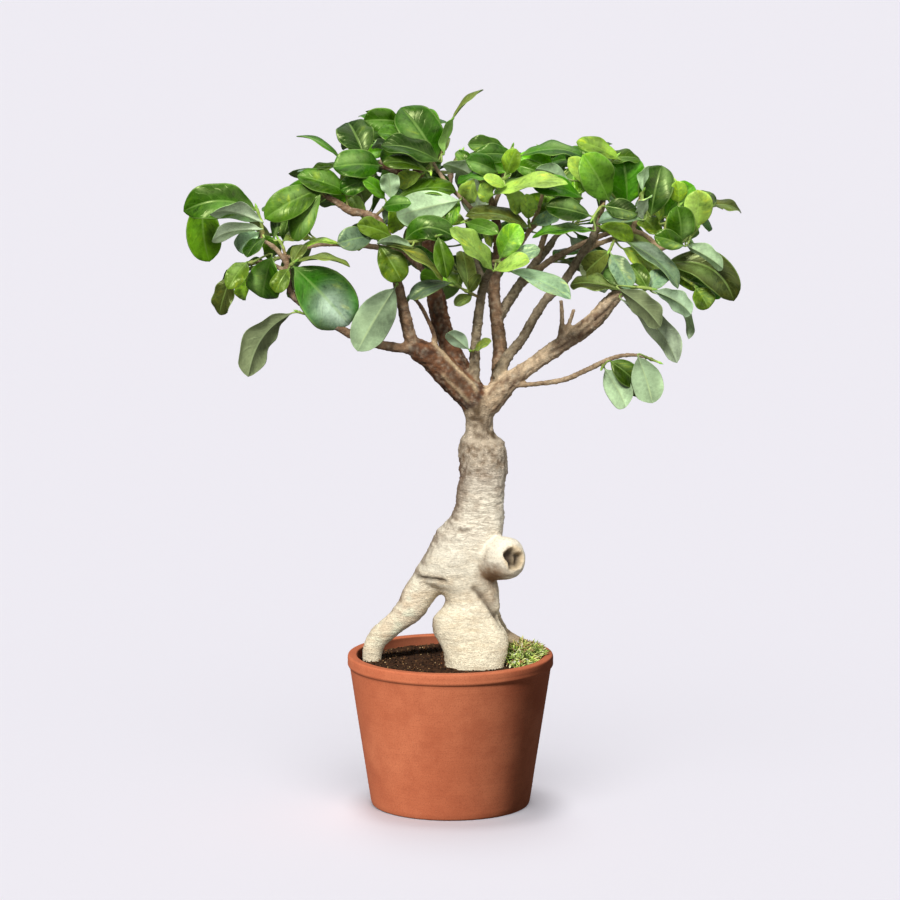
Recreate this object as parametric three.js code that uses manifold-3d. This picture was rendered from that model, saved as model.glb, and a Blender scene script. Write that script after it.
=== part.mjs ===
// Ficus bonsai in a terracotta pot. Millimetres, +Z up. Everything is laid out from the
// pot's axis (x = y = 0) and the plane it stands on (z = 0); the outer group then moves the
// whole plant so that its origin is under the middle of the crown's footprint.
import * as THREE from "three";
import { mergeVertices } from "three/addons/utils/BufferGeometryUtils.js";
import Module from "manifold-3d";

// ---- driving dimensions ----
const POT_HEIGHT = 111.4;
const RIM_RADIUS = 75; // outside of the collar
const RIM_INNER = 68.2;
const RIM_BAND = 8.6; // height of the collar
const BODY_TOP_RADIUS = 73.6; // under the collar
const BODY_FOOT_RADIUS = 57.9;
const WALL = 6;
const FLOOR = 6.5;
const DRAIN_RADIUS = 7;
const SOIL_EDGE_Z = 105; // where the soil meets the wall
const SOIL_RISE = 2; // the soil stands this much higher at the middle
const GAP = 0.35; // between neighbours that touch
const LEAF_HALF_THICKNESS = 0.6;
const PETIOLE_RADIUS = 0.8;
const STEM_SIDES = 4;
const CROWN_CENTRE = [11.5, 29.9]; // middle of the crown's footprint, from the pot's axis

const wasm = await Module();
wasm.setup();


// ---- trunk: rings from the buried end up to the fork: x, y, z, half width in x, half width in y ----
const TRUNK_RINGS = [
  [17.13,-19,80.67,14.48,14],
  [17.11,-19,101.44,19.55,18],
  [17.84,-17,113.6,21.72,19],
  [17.12,-14,123.35,24.62,20.5],
  [14.23,-11,132.36,25.7,21],
  [12.05,-8,141.38,22.44,21],
  [15.7,-4,151.7,19.19,21],
  [12.07,-1,160,22.44,22],
  [4.06,0,169.43,28.96,24],
  [5.15,0,180.53,26.06,24.5],
  [10.24,0,190.87,25.34,24],
  [14.59,0,201.94,23.53,22],
  [20.02,0,213,19.19,19.5],
  [22.19,0,225.51,17.38,17.5],
  [23.62,0,242.42,16.65,17],
  [23.81,0,257.1,17.16,17.2],
  [23.22,0,265.9,16.94,16.5],
  [21.92,0,269.93,14.48,14],
  [21.41,0,273.22,10.86,10.8],
  [21.04,0,279.08,9.41,9.6],
  [20.67,0,289.31,11.08,10.8],
  [20.3,0,296.62,14.48,11.5],
  [19.93,0,301,10.86,8],
];

// ---- roots, limbs and twigs: points of each centre line with its radius: x, y, z, r ----
const LIMBS = {
  root_left: { sides: 8, line: [[2.61,0,184.96,12], [-10.48,0,169.43,12.8], [-21.4,-1,157.78,12], [-27.97,-1,145.92,10.4], [-36.01,0,137.56,8.9], [-44.8,2,129.72,8.1], [-52.88,4,121.87,7.5], [-57.31,5,111.23,7.3], [-56.61,5,100.79,6.8], [-52.98,5,89.58,6], [-47.14,4,77.09,4]] },
  root_right: { sides: 8, line: [[21.56,2,153.49,9], [26.7,5,140.27,9], [31.87,9,129.05,8.4], [38.5,12,120.98,6.8], [47.35,15,116.25,5.4], [54.7,16,113.58,4.4], [59.87,17,109.85,3.7], [60.26,17,101.99,3.2], [57.71,16,87.96,2.6]] },
  knob: { sides: 8, line: [[24.4,-2,180.9,15], [33.71,-14,184.23,15.5], [41.52,-24,186.45,15.2], [45.05,-29,187.38,12.6]] },
  limb_left: { sides: 8, line: [[19.93,0,296.62,11.5], [11.98,-1,304.79,11.2], [-2.46,-5,319.2,10.3], [-13.97,-8,330.51,9.6], [-24.73,-11,336.72,8]] },
  limb_left_low: { sides: 6, line: [[-18.28,-9,333.55,6.5], [-29.02,-13,336.99,3.9], [-41.17,-17,338.97,3.6], [-58.27,-22,343.24,3.3], [-71.75,-26,349.53,3.1], [-85.88,-30,358.68,2.9], [-100,-33,367.67,2.7], [-107.05,-34,373.52,2.6], [-111.97,-35,377.94,2.5], [-114.77,-35,385.81,2.3], [-115.4,-35,397.97,2.1], [-117.48,-35,407.25,1.9]] },
  tw_a1: { sides: 4, line: [[-115.39,-35,399.4,1.9], [-123.75,-37,411.75,1.6], [-133.6,-38,418.27,1.4]] },
  tw_a2: { sides: 4, line: [[-114.71,-35,395.11,1.8], [-126.97,-30,399.55,1.6], [-138.44,-28,401.47,1.7]] },
  limb_left_up: { sides: 6, line: [[-23.3,-10,334.41,6.5], [-28.29,-13,343.5,5], [-31.82,-17,358.47,4.6], [-34.61,-21,371.94,4.2], [-37.4,-25,384.64,3.8], [-40.86,-30,401.69,3.4], [-43.64,-32,417.63,3.2], [-48.62,-30,427.41,3.1], [-54.36,-26,434.13,3.3]] },
  limb_left_top: { sides: 5, line: [[-54.36,-26,433.42,3.2], [-62.93,-24,436.07,3], [-71.51,-22,437.3,2.8], [-82.16,-22,444.44,2.4], [-89.26,-22,448.01,1.8]] },
  tw_thin: { sides: 4, line: [[-10.38,-6,333.87,2.2], [-11.8,-9,346.6,1.6], [-16.08,-13,357.97,1.4], [-21.78,-17,369.29,1.4], [-27.47,-20,376.14,1.2]] },
  limb_back: { sides: 8, line: [[15.61,3,303.49,9.5], [10.55,6,313.29,8.2], [1.15,12,331.46,7.4], [-6.82,18,352.59,7], [-10.45,22,369.61,6.6], [-14.08,25,391.15,6], [-15.51,24,408.01,5.4], [-16.93,21,425.03,4.8], [-19.78,17,439.2,4.2], [-22.61,12,452.68,3.6], [-24.72,8,465.29,3], [-28.27,5,477.05,2.3]] },
  br_d: { sides: 5, line: [[-21.91,14,448.89,2.8], [-31.91,8,459.54,2.5], [-44.74,2,465.83,2.3], [-58.96,-3,471.29,2.1], [-70.32,-6,475.13,1.7]] },
  limb_mid: { sides: 8, line: [[17.04,0,296.62,7.6], [17.03,-1,308.44,4.6], [17.71,-4,335.06,3.9], [19.81,-9,357.46,3.6], [22.59,-18,378.77,3.3], [24.62,-30,388.81,3], [28.04,-44,396.85,2.7], [30.74,-55,403.79,2.2]] },
  limb_mid2: { sides: 8, line: [[27.92,4,296.03,7.6], [33.02,9,307.02,5.7], [36,19,330.52,5.4], [33.88,28,351.32,5], [31.72,33,372.68,4.6], [33.11,30,390.58,4.1], [34.47,24,405.83,3.7], [33.57,12,423.79,3.2], [29.82,0,440.14,2.6], [26.88,-7,449.44,2]] },
  limb_right: { sides: 8, line: [[26.44,0,295.89,10.3], [34.36,-1,304.07,9], [45.85,-4,314.7,6.9], [60.89,-7,326.02,5.7], [75.17,-10,336.59,5.9], [90.12,-13,347.48,6.2], [103.59,-16,359.07,6.1], [113.48,-18,370.49,5.5], [119.08,-20,376.85,4.4], [123.35,-20,381.17,3.4]] },
  limb_right_up: { sides: 6, line: [[33.66,2,313.85,5.2], [40.91,6,328.62,4.2], [50.32,9,339.16,3.8], [57.58,12,351.16,3.6], [64.81,14,363.3,3.5], [71.32,15,371.92,3.4], [77.09,15,376.29,3.3], [83.56,15,384.29,3.2], [89.99,14,394.58,3.2], [95.69,13,404.12,3.1], [102.1,12,412.93,2.9], [105.57,10,424.72,2.6], [109.03,8,437.2,2.3], [110.29,5,448.3,1.9]] },
  tw_low_right: { sides: 5, line: [[35.78,-3,308,3], [44.39,-6,309.52,2], [57.3,-9,310.67,1.7], [73.01,-14,313.2,1.8], [84.41,-17,316.16,1.9], [92.94,-19,320.43,1.9], [102.17,-21,325.04,1.9], [110.67,-23,329.66,1.7], [121.26,-26,333.67,1.5], [131.85,-29,334.8,1.3], [141.05,-31,333.27,1.1]] },
  tw_dead1: { sides: 5, line: [[77.26,-12,339.75,3.2], [79.3,-15,348.1,2.2], [79.92,-17,358.47,1.7], [79.12,-18,373.01,1.3]] },
  tw_dead2: { sides: 4, line: [[78.69,-12,341.92,2.4], [82.22,-13,349.29,1.6], [85.77,-13,357.24,1.4], [88.6,-13,365.91,1.2]] },
  tw_f1: { sides: 4, line: [[93.57,14,401.11,2.6], [102.16,13,407.75,1.9], [112.16,11,412.31,1.8], [122.15,9,416.14,1.7], [131.42,8,423.48,1.6], [134.9,7,433.69,1.4], [136.22,6,443.88,1.2]] },
  tw_f2: { sides: 4, line: [[129.28,8,420.59,1.8], [138.66,8,417.69,1.7], [146.63,8,411.18,1.8], [151.01,8,404.67,2.2]] },
  tw_g1: { sides: 4, line: [[150.27,8,406.84,1.6], [158.73,5,409.34,1.5], [167.17,2,413.27,1.3]] },
  tw_f3: { sides: 4, line: [[106.95,9,429.15,1.7], [108.75,0,435.83,1.5], [109.93,-6,440.73,1.3]] },
  tw_i1: { sides: 4, line: [[35.29,30,389.12,2.4], [41.75,26,399.05,2], [50.33,20,408.44,1.8], [57.41,14,420.68,1.7], [62.33,10,432.66,1.5], [65.14,8,441.52,1.4], [66.53,7,449.55,1.2]] },
  tw_i2: { sides: 4, line: [[55.99,15,418.41,1.5], [66.65,9,428.43,1.3], [75.87,5,436.77,1.2]] },
  tw_e1: { sides: 4, line: [[33.6,14,419.96,2], [24.15,6,426.57,1.8], [14.02,-6,438.58,1.7], [6.84,-12,446.34,1.6], [-0.3,-10,453.31,1.5], [-7.45,-8,462.43,1.5], [-13.88,-6,472.27,1.3]] },
  tw_e2: { sides: 4, line: [[30.57,2,437.07,1.9], [35.62,6,449.64,1.6], [39.22,9,463.76,1.4], [42.8,10,475.19,1.2]] },
  tw_d3: { sides: 4, line: [[-23.31,10,457.91,1.9], [-16.08,4,465.65,1.5], [-8.88,-4,472.81,1.3]] },
  bk_left: { sides: 6, line: [[-12.63,24,382.51,4.4], [-23.64,44,393.39,3.8], [-38.49,66,401.26,3.2], [-53.54,88,407.78,2.6], [-61.23,104,412.05,1.9]] },
  bk_left2: { sides: 4, line: [[-33.27,58,398.45,2.6], [-54.65,66,401.99,2.2], [-77.31,62,404.27,1.8], [-101.31,56,403.81,1.5], [-118.78,52,395.43,1.3]] },
  bk_mid: { sides: 6, line: [[-14.77,22,417.67,3.8], [-9.77,44,428.52,3.3], [-3.23,66,439.55,2.8], [-0.3,90,450.57,2.3], [1.18,108,456.36,1.8]] },
  bk_mid2: { sides: 4, line: [[-6.88,56,433.18,2.4], [-23.78,70,445.05,2.1], [-40.03,80,455.91,1.7], [-51.88,86,464.23,1.4]] },
  bk_right: { sides: 6, line: [[34.62,29,354.12,4.4], [45.08,50,367.7,3.9], [58.66,74,384.1,3.3], [72.39,96,397.99,2.7], [78.7,112,405.24,1.9]] },
  bk_right2: { sides: 5, line: [[52.58,62,375.13,2.8], [71.76,68,390.7,2.5], [93.83,70,402.3,2.2], [114.29,68,411.37,1.9], [136.1,64,417.68,1.5]] },
  bk_right3: { sides: 4, line: [[63.23,82,389.12,2.4], [72.04,84,415.61,2.1], [80.81,84,437.82,1.7], [85.13,82,449.83,1.3]] },
  bk_low: { sides: 5, line: [[33.9,32,366.94,3.2], [26.09,56,375.83,2.7], [20.39,82,384.67,2.2], [17.55,104,391.14,1.6]] },
};

// ---- leafy shoots ----
// stem: x, y, z, r from the wood outward.
// leaves: foot on the stem, base of the blade, tip, direction its upper face looks,
// [full width, fold along the midrib in radians, kind], bow of the blade at mid length,
// number of cross sections that shape the blade.
// kinds: 0 dark, 1 mid green, 2 large glossy, 3 lime, 4 light green, 5 olive, 6 bluish, 7 pale, 8 pale green, 9 olive back
const SHOOTS = {
  spray_a1: {
    stem: [[-133.47,-38.5,420.75,1.25], [-133.79,-40.33,430.37,1.07], [-136.79,-42,440.72,0.9]],
    leaves: [
      [[-136.4,-41.78,439.37], [-136.82,-41.67,439.27], [-187.93,-49.67,441.48], [0.154,-0.842,0.517], [27.41, 0.218, 1], [1.03,-2.25,5.61], 3],
      [[-134.47,-40.71,432.7], [-133.08,-47.33,432.04], [-166.82,-73.33,443.13], [-0.277,0.658,0.7], [22.01, 0.167, 7], [-0.61,1.45,1.54], 3],
      [[-133.69,-39.77,427.42], [-133.28,-43.67,426.69], [-168.37,-61.67,422.21], [-0.41,0.637,0.653], [19.85, 0.238, 7], [-0.81,1.26,1.3], 2],
      [[-136.79,-42,440.72], [-175.98,-12,447.05], [-172.24,-10,399.45], [0.254,-0.967,-0.021], [25.35, 0.171, 0], [-2.93,-2.29,0.19], 3],
      [[-133.55,-38.96,423.16], [-132.01,-41.5,420.07], [-143.06,-63.5,409.69], [-0.069,-0.397,0.915], [13.36, 0.187, 0], [-0.09,-0.53,1.22], 2],
      [[-133.61,-39.31,424.99], [-135.4,-38.37,423.69], [-152.38,-32.33,410.53], [-0.423,-0.896,0.135], [14.91, 0.21, 0], [-0.47,-1,0.15], 2],
      [[-133.55,-38.96,423.16], [-134.16,-25,421.17], [-124.89,-11,403.16], [0.541,-0.776,-0.324], [14.17, 0.207, 0], [0.67,-0.96,-0.4], 2],
    ],
  },
  spray_a2: {
    stem: [[-140.82,-29.49,401.38,1.2], [-143.94,-31.39,400.86,1.07], [-146.75,-33,399.17,0.9]],
    leaves: [
      [[-145.1,-32.06,400.16], [-144.48,-35.39,402.3], [-157.27,-51.39,385.61], [0.072,-0.747,0.661], [14.91, 0.186, 3], [0.1,-0.99,0.87], 2],
      [[-146.75,-33,399.17], [-155.6,-28,392.87], [-165.28,-25,363.08], [-0.302,-0.953,0.002], [17.15, 0.319, 0], [-0.47,-1.5,0], 2],
      [[-141.6,-29.96,401.25], [-143.12,-21,390.63], [-151.01,-9,371.92], [-0.693,-0.703,-0.159], [11.79, 0.334, 0], [-0.82,-0.83,-0.19], 2],
      [[-141.6,-29.96,401.25], [-126.61,-37.49,406.81], [-134.38,-27.49,374.88], [-0.337,-0.919,-0.206], [26.85, 0.163, 1], [-0.58,-1.58,-0.35], 2],
    ],
  },
  spray_a3: {
    stem: [[-118.04,-35.54,410.1,1.1], [-119.2,-36.06,413.95,0.97], [-121.63,-36,418.06,0.8]],
    leaves: [
      [[-121.63,-36,418.06], [-125.17,-36,418.06], [-119.14,-24,437.5], [-0.697,-0.493,0.52], [11.82, 0.251, 0], [-0.82,-0.58,0.62], 2],
      [[-120.4,-36.03,415.98], [-119.03,-30.04,416.7], [-100.56,-8.04,419.38], [0.372,-0.413,0.831], [12.7, 0.161, 5], [0.54,-0.6,1.2], 2],
      [[-118.59,-35.79,411.94], [-119.76,-12.04,414.78], [-114.38,-0.04,433.67], [-0.137,-0.818,0.559], [12.68, 0.254, 0], [-0.16,-0.94,0.64], 2],
    ],
  },
  spray_a4: {
    stem: [[-113.89,-37.15,399.69,1], [-112.19,-38.68,401.23,0.9], [-110.5,-40.2,402.76,0.8]],
    leaves: [
      [[-112.49,-38.41,400.96], [-111.7,-38.68,399.81], [-71.66,-28.68,356.35], [0.36,-0.925,0.119], [41.01, 0.161, 2], [1.08,-2.77,0.36], 3],
      [[-110.5,-40.2,402.76], [-110.21,-40.2,402.84], [-70.97,-50.2,402.54], [-0.055,-0.246,0.968], [17.82, 0.304, 5], [-0.11,-0.5,1.96], 2],
      [[-113.47,-37.53,400.08], [-114.59,-38.28,398.09], [-124.36,-44.15,381.9], [-0.127,-0.905,0.405], [14.17, 0.34, 1], [-0.13,-0.9,0.4], 2],
      [[-112.02,-38.83,401.38], [-112.4,-38.68,401.95], [-104.16,-28.68,414.42], [0.012,-0.784,0.621], [11.19, 0.295, 1], [0.01,-0.7,0.56], 2],
    ],
  },
  spray_a5: {
    stem: [[-101.49,-35.07,365.51,1], [-104.28,-36.74,365.48,0.9], [-107.66,-38,366.85,0.8]],
    leaves: [
      [[-107.66,-38,366.85], [-112.64,-38,366.14], [-144.78,-42,321.48], [-0.636,0.661,0.398], [28.14, 0.276, 9], [-4.46,1.7,5.13], 3],
    ],
  },
  spray_b1: {
    stem: [[-90.89,-22.5,449.84,1.1], [-92.14,-23.17,452.29,0.97], [-91.3,-24,455.33,0.8]],
    leaves: [
      [[-91.77,-23.53,453.63], [-93.88,-24.25,452.72], [-131.3,-39.33,434.77], [0.121,-0.87,0.479], [23.12, 0.212, 1], [0.27,-1.92,1.06], 3],
      [[-91.2,-22.67,450.46], [-85.85,-16,454.58], [-118.94,-10,445.43], [-0.256,-0.909,0.33], [19.39, 0.169, 1], [-0.45,-1.58,0.58], 2],
      [[-91.82,-23,451.66], [-91.9,-28.67,450.08], [-112.68,-28.67,417.27], [-0.371,-0.898,0.235], [20.2, 0.176, 1], [-0.72,-1.74,0.46], 2],
    ],
  },
  spray_b2: {
    stem: [[-73.41,-18.75,440.2,1.03], [-73.82,-15.44,444.16,0.93], [-73.8,-14,449.39,0.8]],
    leaves: [
      [[-73.8,-14.18,448.74], [-71.56,-18,449.77], [-108.25,-26,463.35], [0.33,-0.862,0.385], [20.76, 0.281, 1], [0.66,-1.72,0.77], 2],
      [[-73.81,-14.57,447.33], [-70.23,-14.52,447.29], [-86.88,-6.52,444.37], [-0.455,-0.827,0.33], [12.68, 0.293, 0], [-0.43,-0.77,0.31], 2],
      [[-73.8,-14,449.39], [-73.78,-12,465.65], [-99.26,-18,466.9], [0.088,-0.171,0.981], [13.1, 0.251, 0], [0.12,-0.22,1.29], 2],
    ],
  },
  spray_c1: {
    stem: [[-46.38,-35.51,418.65,1.12], [-50,-41.01,418.74,0.97], [-54.05,-45,421.15,0.8]],
    leaves: [
      [[-54.05,-45,421.15], [-54.76,-45,421.86], [-79.15,-59,418.39], [0.39,-0.795,0.466], [17.9, 0.281, 6], [0.55,-1.13,0.66], 2],
      [[-47.29,-36.89,418.67], [-41.43,-37.51,420.35], [-65.14,-53.51,431.25], [0.632,-0.651,0.42], [15.92, 0.182, 1], [0.97,-1,0.64], 2],
      [[-51.63,-42.61,419.71], [-50.52,-45.01,417.6], [-4.54,-55.01,392.43], [0.427,-0.234,0.873], [23.48, 0.311, 5], [1.14,-0.62,2.33], 3],
      [[-49.24,-39.86,418.72], [-50.63,-39.01,414.82], [-34.3,-45.01,389.84], [0.167,-0.928,0.332], [20.88, 0.213, 0], [0.25,-1.41,0.51], 2],
      [[-53.54,-44.49,420.84], [-77.23,-25,413.3], [-107.3,-21,412.15], [-0.054,-0.119,0.991], [15.78, 0.251, 1], [-0.08,-0.18,1.5], 2],
    ],
  },
  spray_c2: {
    stem: [[-37.86,-29.74,385.14,1.1], [-38.05,-34.07,385.89,1], [-37.94,-38,386.88,0.9]],
    leaves: [
      [[-37.94,-38,386.88], [-39.17,-38.35,384.85], [-66.34,-46,339.96], [-0.211,0.977,-0.039], [27.59, 0.229, 7], [-0.56,2.59,-0.1], 3],
    ],
  },
  spray_c3: {
    stem: [[-40.42,-35.17,416.7,1.25], [-24.28,-44.19,418.04,1.02], [-9.48,-50,422.39,0.8]],
    leaves: [
      [[-34.86,-38.27,417.16], [-32.51,-38.64,417.42], [2.53,-45.74,421.94], [-0.23,-0.902,0.364], [20.13, 0.182, 0], [-2.1,-2.3,7.65], 3],
      [[-9.48,-50,422.39], [-8.77,-50,421.68], [-2.42,-56,393.26], [0.224,-0.942,0.249], [14.91, 0.204, 4], [0.33,-1.4,0.37], 2],
      [[-36.24,-37.51,417.05], [-34.38,-34.89,412.23], [-9.56,-26.89,397.76], [0.527,-0.653,0.543], [14.91, 0.29, 0], [0.79,-0.97,0.81], 2],
      [[-25.5,-43.5,417.93], [-27.86,-48.15,415.09], [-51.67,-60.15,419.22], [-0.142,0.562,0.815], [13.49, 0.296, 7], [-0.19,0.76,1.1], 2],
    ],
  },
  spray_c4: {
    stem: [[18.23,-18.34,376.14,1.04], [11.08,-23,380.17,0.93], [3.98,-28,384.99,0.8]],
    leaves: [
      [[3.98,-28,384.99], [1.13,-28,386.42], [-29.47,-34,377.11], [-0.165,-0.489,0.857], [16.27, 0.167, 6], [-0.27,-0.8,1.39], 2],
      [[5.8,-26.72,383.76], [-0.3,-18,383.81], [-21.82,-8,390.57], [-0.238,-0.841,0.485], [13.42, 0.311, 0], [-0.29,-1.04,0.6], 2],
      [[10.78,-23.21,380.37], [8.28,-19,381.05], [-3.17,-7,391.18], [-0.184,-0.73,0.658], [10.44, 0.215, 0], [-0.18,-0.71,0.64], 2],
      [[11.35,-22.83,380.02], [13.25,-26,379.73], [21.01,-36,393.08], [-0.676,-0.722,-0.148], [9.57, 0.236, 1], [-0.62,-0.66,-0.14], 2],
      [[15.77,-19.94,377.53], [15.43,-20,376.85], [3.26,-32,371.13], [0.376,-0.681,0.629], [9.69, 0.265, 5], [0.34,-0.61,0.57], 2],
      [[13.8,-21.23,378.64], [12.57,-18,380.21], [8.32,-2,407.21], [0.352,-0.78,0.518], [15.84, 0.17, 0], [0.56,-1.23,0.82], 2],
    ],
  },
  spray_c5: {
    stem: [[16.35,-8.65,334.96,0.86], [15.5,-11.25,335.3,0.78], [14.66,-13.84,335.65,0.7]],
    leaves: [
      [[14.66,-13.84,335.65], [13.13,-14.95,337.13], [-2.44,-25.84,350.95], [-0.278,0.882,0.382], [12.68, 0.251, 7], [-0.33,1.04,0.45], 2],
      [[16.14,-9.3,335.04], [17.56,-10.96,336.03], [29.03,-22.65,344.05], [-0.775,-0.559,0.294], [9.48, 0.331, 1], [-0.71,-0.51,0.27], 2],
    ],
  },
  spray_d1: {
    stem: [[-72.1,-8,475.04,1.1], [-74.3,-10.67,474.55,0.97], [-76.56,-14,472.97,0.8]],
    leaves: [
      [[-76.56,-14,472.97], [-78.58,-13.74,474.24], [-108.66,-10,491.9], [0.459,-0.284,0.842], [17.54, 0.185, 0], [0.48,-0.3,0.89], 2],
      [[-72.65,-8.67,474.92], [-49.45,-16,468.87], [-81.67,-36,470.64], [0.502,-0.774,0.387], [23.86, 0.314, 1], [0.95,-1.47,0.73], 2],
      [[-74.97,-11.66,474.08], [-61.41,-22,476.52], [-73.08,-6,500.14], [0.061,-0.812,0.58], [27.59, 0.278, 0], [0.09,-1.25,0.89], 2],
      [[-76.56,-14,472.97], [-55.76,-23,460.94], [-78.44,-27,452.77], [0.013,-0.912,0.409], [16.41, 0.169, 1], [0.02,-1.11,0.5], 2],
      [[-72.65,-8.67,474.92], [-72,0,446.62], [-62.48,-12,432.72], [-0.032,-0.767,0.64], [10.44, 0.226, 6], [-0.03,-0.79,0.66], 2],
      [[-72.65,-8.67,474.92], [-68.24,28,470.75], [-48.18,40,475.51], [0.355,-0.791,0.499], [11.93, 0.329, 0], [0.42,-0.94,0.59], 2],
    ],
  },
  spray_d2: {
    stem: [[-29.43,4.7,479.9,1.22], [-32.49,3.72,487.36,1.01], [-36.08,2,495.94,0.8]],
    leaves: [
      [[-36.08,2,495.94], [-33.21,2,498.8], [-61.62,-8,501.01], [0.334,-0.866,0.372], [17.9, 0.214, 1], [0.5,-1.31,0.56], 2],
      [[-30.19,4.46,481.76], [-20.32,-3.3,482.06], [-51.5,-17.3,493.2], [0.493,-0.588,0.642], [17.26, 0.246, 4], [0.89,-1.06,1.15], 2],
      [[-31.52,4.04,484.98], [-41.09,-0.78,480.41], [-55.84,-14.78,484.45], [-0.397,0.615,0.682], [10.37, 0.237, 7], [-0.41,0.64,0.71], 2],
      [[-33.15,3.41,488.93], [-37.62,9.06,488.2], [-58,25.06,492.67], [-0.451,-0.721,0.525], [17.9, 0.275, 0], [-0.59,-0.95,0.69], 2],
      [[-30.19,4.46,481.76], [-30.47,10.7,478], [-50.74,18.7,470.11], [-0.438,-0.864,0.249], [14.91, 0.279, 1], [-0.51,-1,0.29], 2],
    ],
  },
  spray_d3: {
    stem: [[-7.49,-4.69,474.17,1.22], [-3.01,-3.54,485.88,0.99], [0.42,2,497.37,0.8]],
    leaves: [
      [[-6.37,-4.4,477.1], [-8.87,-6.69,472.33], [-34.52,-6.69,510.17], [0.269,-0.946,0.182], [32.81, 0.278, 0], [0.61,-2.16,0.42], 3],
      [[-6.09,-4.33,477.82], [-10.35,9.12,478.14], [-21.95,29.12,506.78], [0.085,-0.8,0.593], [19.39, 0.226, 1], [0.16,-1.47,1.09], 2],
      [[-6.37,-4.4,477.1], [-4.58,-9,476.82], [1.83,-17,503.84], [-0.752,0.561,0.345], [14.45, 0.308, 7], [-1.09,0.81,0.5], 2],
      [[0.42,2,497.37], [1.13,2,500.94], [23.33,8,521.96], [-0.586,-0.365,0.723], [13.71, 0.295, 5], [-0.91,-0.57,1.13], 2],
      [[-6.37,-4.4,477.1], [-7.43,-12.69,471.43], [-47.81,-26.69,486.15], [0.449,-0.626,0.637], [22.6, 0.328, 0], [1.02,-1.42,1.44], 3],
    ],
  },
  spray_d4: {
    stem: [[-51.08,-28.12,436.43,1.1], [-46.88,-30.45,440.6,0.97], [-42.15,-32,446.13,0.8]],
    leaves: [
      [[-42.15,-32,446.13], [-42.15,-32,446.84], [-44.09,-42,466.22], [0.176,0.868,0.465], [14.91, 0.273, 7], [0.19,0.95,0.51], 2],
      [[-43.46,-31.57,444.61], [-38.18,-10,446.14], [3.26,-18,453.34], [-0.238,-0.468,0.851], [21.41, 0.31, 0], [-0.51,-1,1.82], 3],
      [[-45.12,-31.03,442.66], [-46.54,-23.41,446.01], [-61.23,-33.41,461.19], [0.695,-0.684,0.222], [12.15, 0.218, 1], [0.81,-0.8,0.26], 2],
      [[-46.35,-30.62,441.22], [-47.8,-34.45,441.39], [-28.52,-48.45,445.6], [-0.603,-0.74,0.299], [12.68, 0.288, 1], [-0.73,-0.9,0.36], 2],
      [[-47.72,-29.99,439.77], [-42.39,-15.69,442.4], [-36.9,-1.69,420.16], [0.398,-0.817,-0.416], [16.41, 0.332, 0], [0.53,-1.1,-0.56], 2],
    ],
  },
  spray_d5: {
    stem: [[-13.87,-8,471.02,1.05], [-13.85,-13,467.88,0.93], [-13.83,-18,464.76,0.8]],
    leaves: [
      [[-13.83,-18,464.76], [-16.02,-18.79,465.35], [-47.08,-30,473.66], [0.382,-0.466,0.798], [14.98, 0.249, 5], [0.65,-0.79,1.36], 2],
      [[-13.86,-9.85,469.86], [-18.89,-6,463.68], [-1.73,-2,451.84], [0.353,-0.913,0.203], [14.91, 0.334, 0], [0.37,-0.97,0.22], 2],
      [[-13.85,-13.19,467.77], [-20.29,-10,462.61], [-38.95,-4,454.9], [-0.39,-0.884,0.256], [13.42, 0.2, 0], [-0.41,-0.93,0.27], 2],
    ],
  },
  spray_e1: {
    stem: [[27.7,-9.44,450.84,1.24], [33.43,-16.93,456.89,1.02], [39.55,-20,461.38,0.8]],
    leaves: [
      [[30.42,-13,453.72], [30.35,-17.44,448.29], [82.66,-31.44,459.59], [-0.297,-0.417,0.859], [25.44, 0.193, 3], [-0.82,-1.15,2.38], 3],
      [[33.15,-16.56,456.6], [33.17,-19.63,452.78], [5.38,-29.63,458], [0.261,-0.236,0.936], [16.03, 0.178, 0], [0.57,-0.15,6.29], 3],
      [[37.3,-18.87,459.73], [38.82,-22.45,455.19], [23.78,-34.45,462.7], [0.657,-0.742,0.131], [9.69, 0.205, 3], [0.68,-0.77,0.14], 2],
      [[29.13,-11.31,452.35], [26.06,-19.44,443.48], [21.7,-29.44,457.98], [0.437,-0.796,-0.418], [12.68, 0.307, 1], [0.4,-0.72,-0.38], 2],
      [[39.37,-19.91,461.24], [39.99,-20.7,463.43], [46.49,-28,482], [-0.39,-0.895,-0.215], [14.17, 0.165, 3], [-0.41,-0.94,-0.23], 2],
      [[38.21,-19.33,460.4], [45.63,6,467.63], [67.81,2,461.52], [-0.05,-0.909,0.413], [13.42, 0.205, 1], [-0.06,-1.06,0.48], 2],
      [[31.61,-14.55,454.97], [41.97,0,463.14], [24.1,6,471.22], [-0.09,-0.885,0.457], [14.91, 0.23, 1], [-0.09,-0.91,0.47], 2],
      [[34.8,-17.62,457.9], [38.93,-14.45,454.44], [52,-4.45,434.83], [0.484,-0.867,-0.12], [14.91, 0.313, 0], [0.62,-1.11,-0.15], 2],
    ],
  },
  spray_e2: {
    stem: [[25.97,-3.53,449.58,1.14], [19.74,-2.11,459.39,0.96], [14.73,-2,465.47,0.8]],
    leaves: [
      [[21.93,-2.61,455.94], [33.3,-6.44,463.72], [12.49,-22.44,473.71], [0.646,-0.75,0.145], [17.9, 0.208, 1], [0.91,-1.05,0.2], 2],
      [[14.73,-2,465.47], [14.02,-2,465.47], [5.43,2,478.74], [0.144,-0.918,0.37], [11.19, 0.276, 1], [0.12,-0.75,0.3], 2],
      [[20.76,-2.34,457.78], [21.14,-8.26,458.87], [-4.56,-22.26,471.56], [-0.118,0.777,0.619], [15.95, 0.256, 7], [-0.19,1.24,0.99], 2],
      [[19.51,-2.1,459.67], [16.94,8,457.38], [10.53,20,438.91], [-0.451,-0.812,-0.371], [15.66, 0.339, 0], [-0.52,-0.93,-0.43], 2],
    ],
  },
  spray_e3: {
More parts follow.
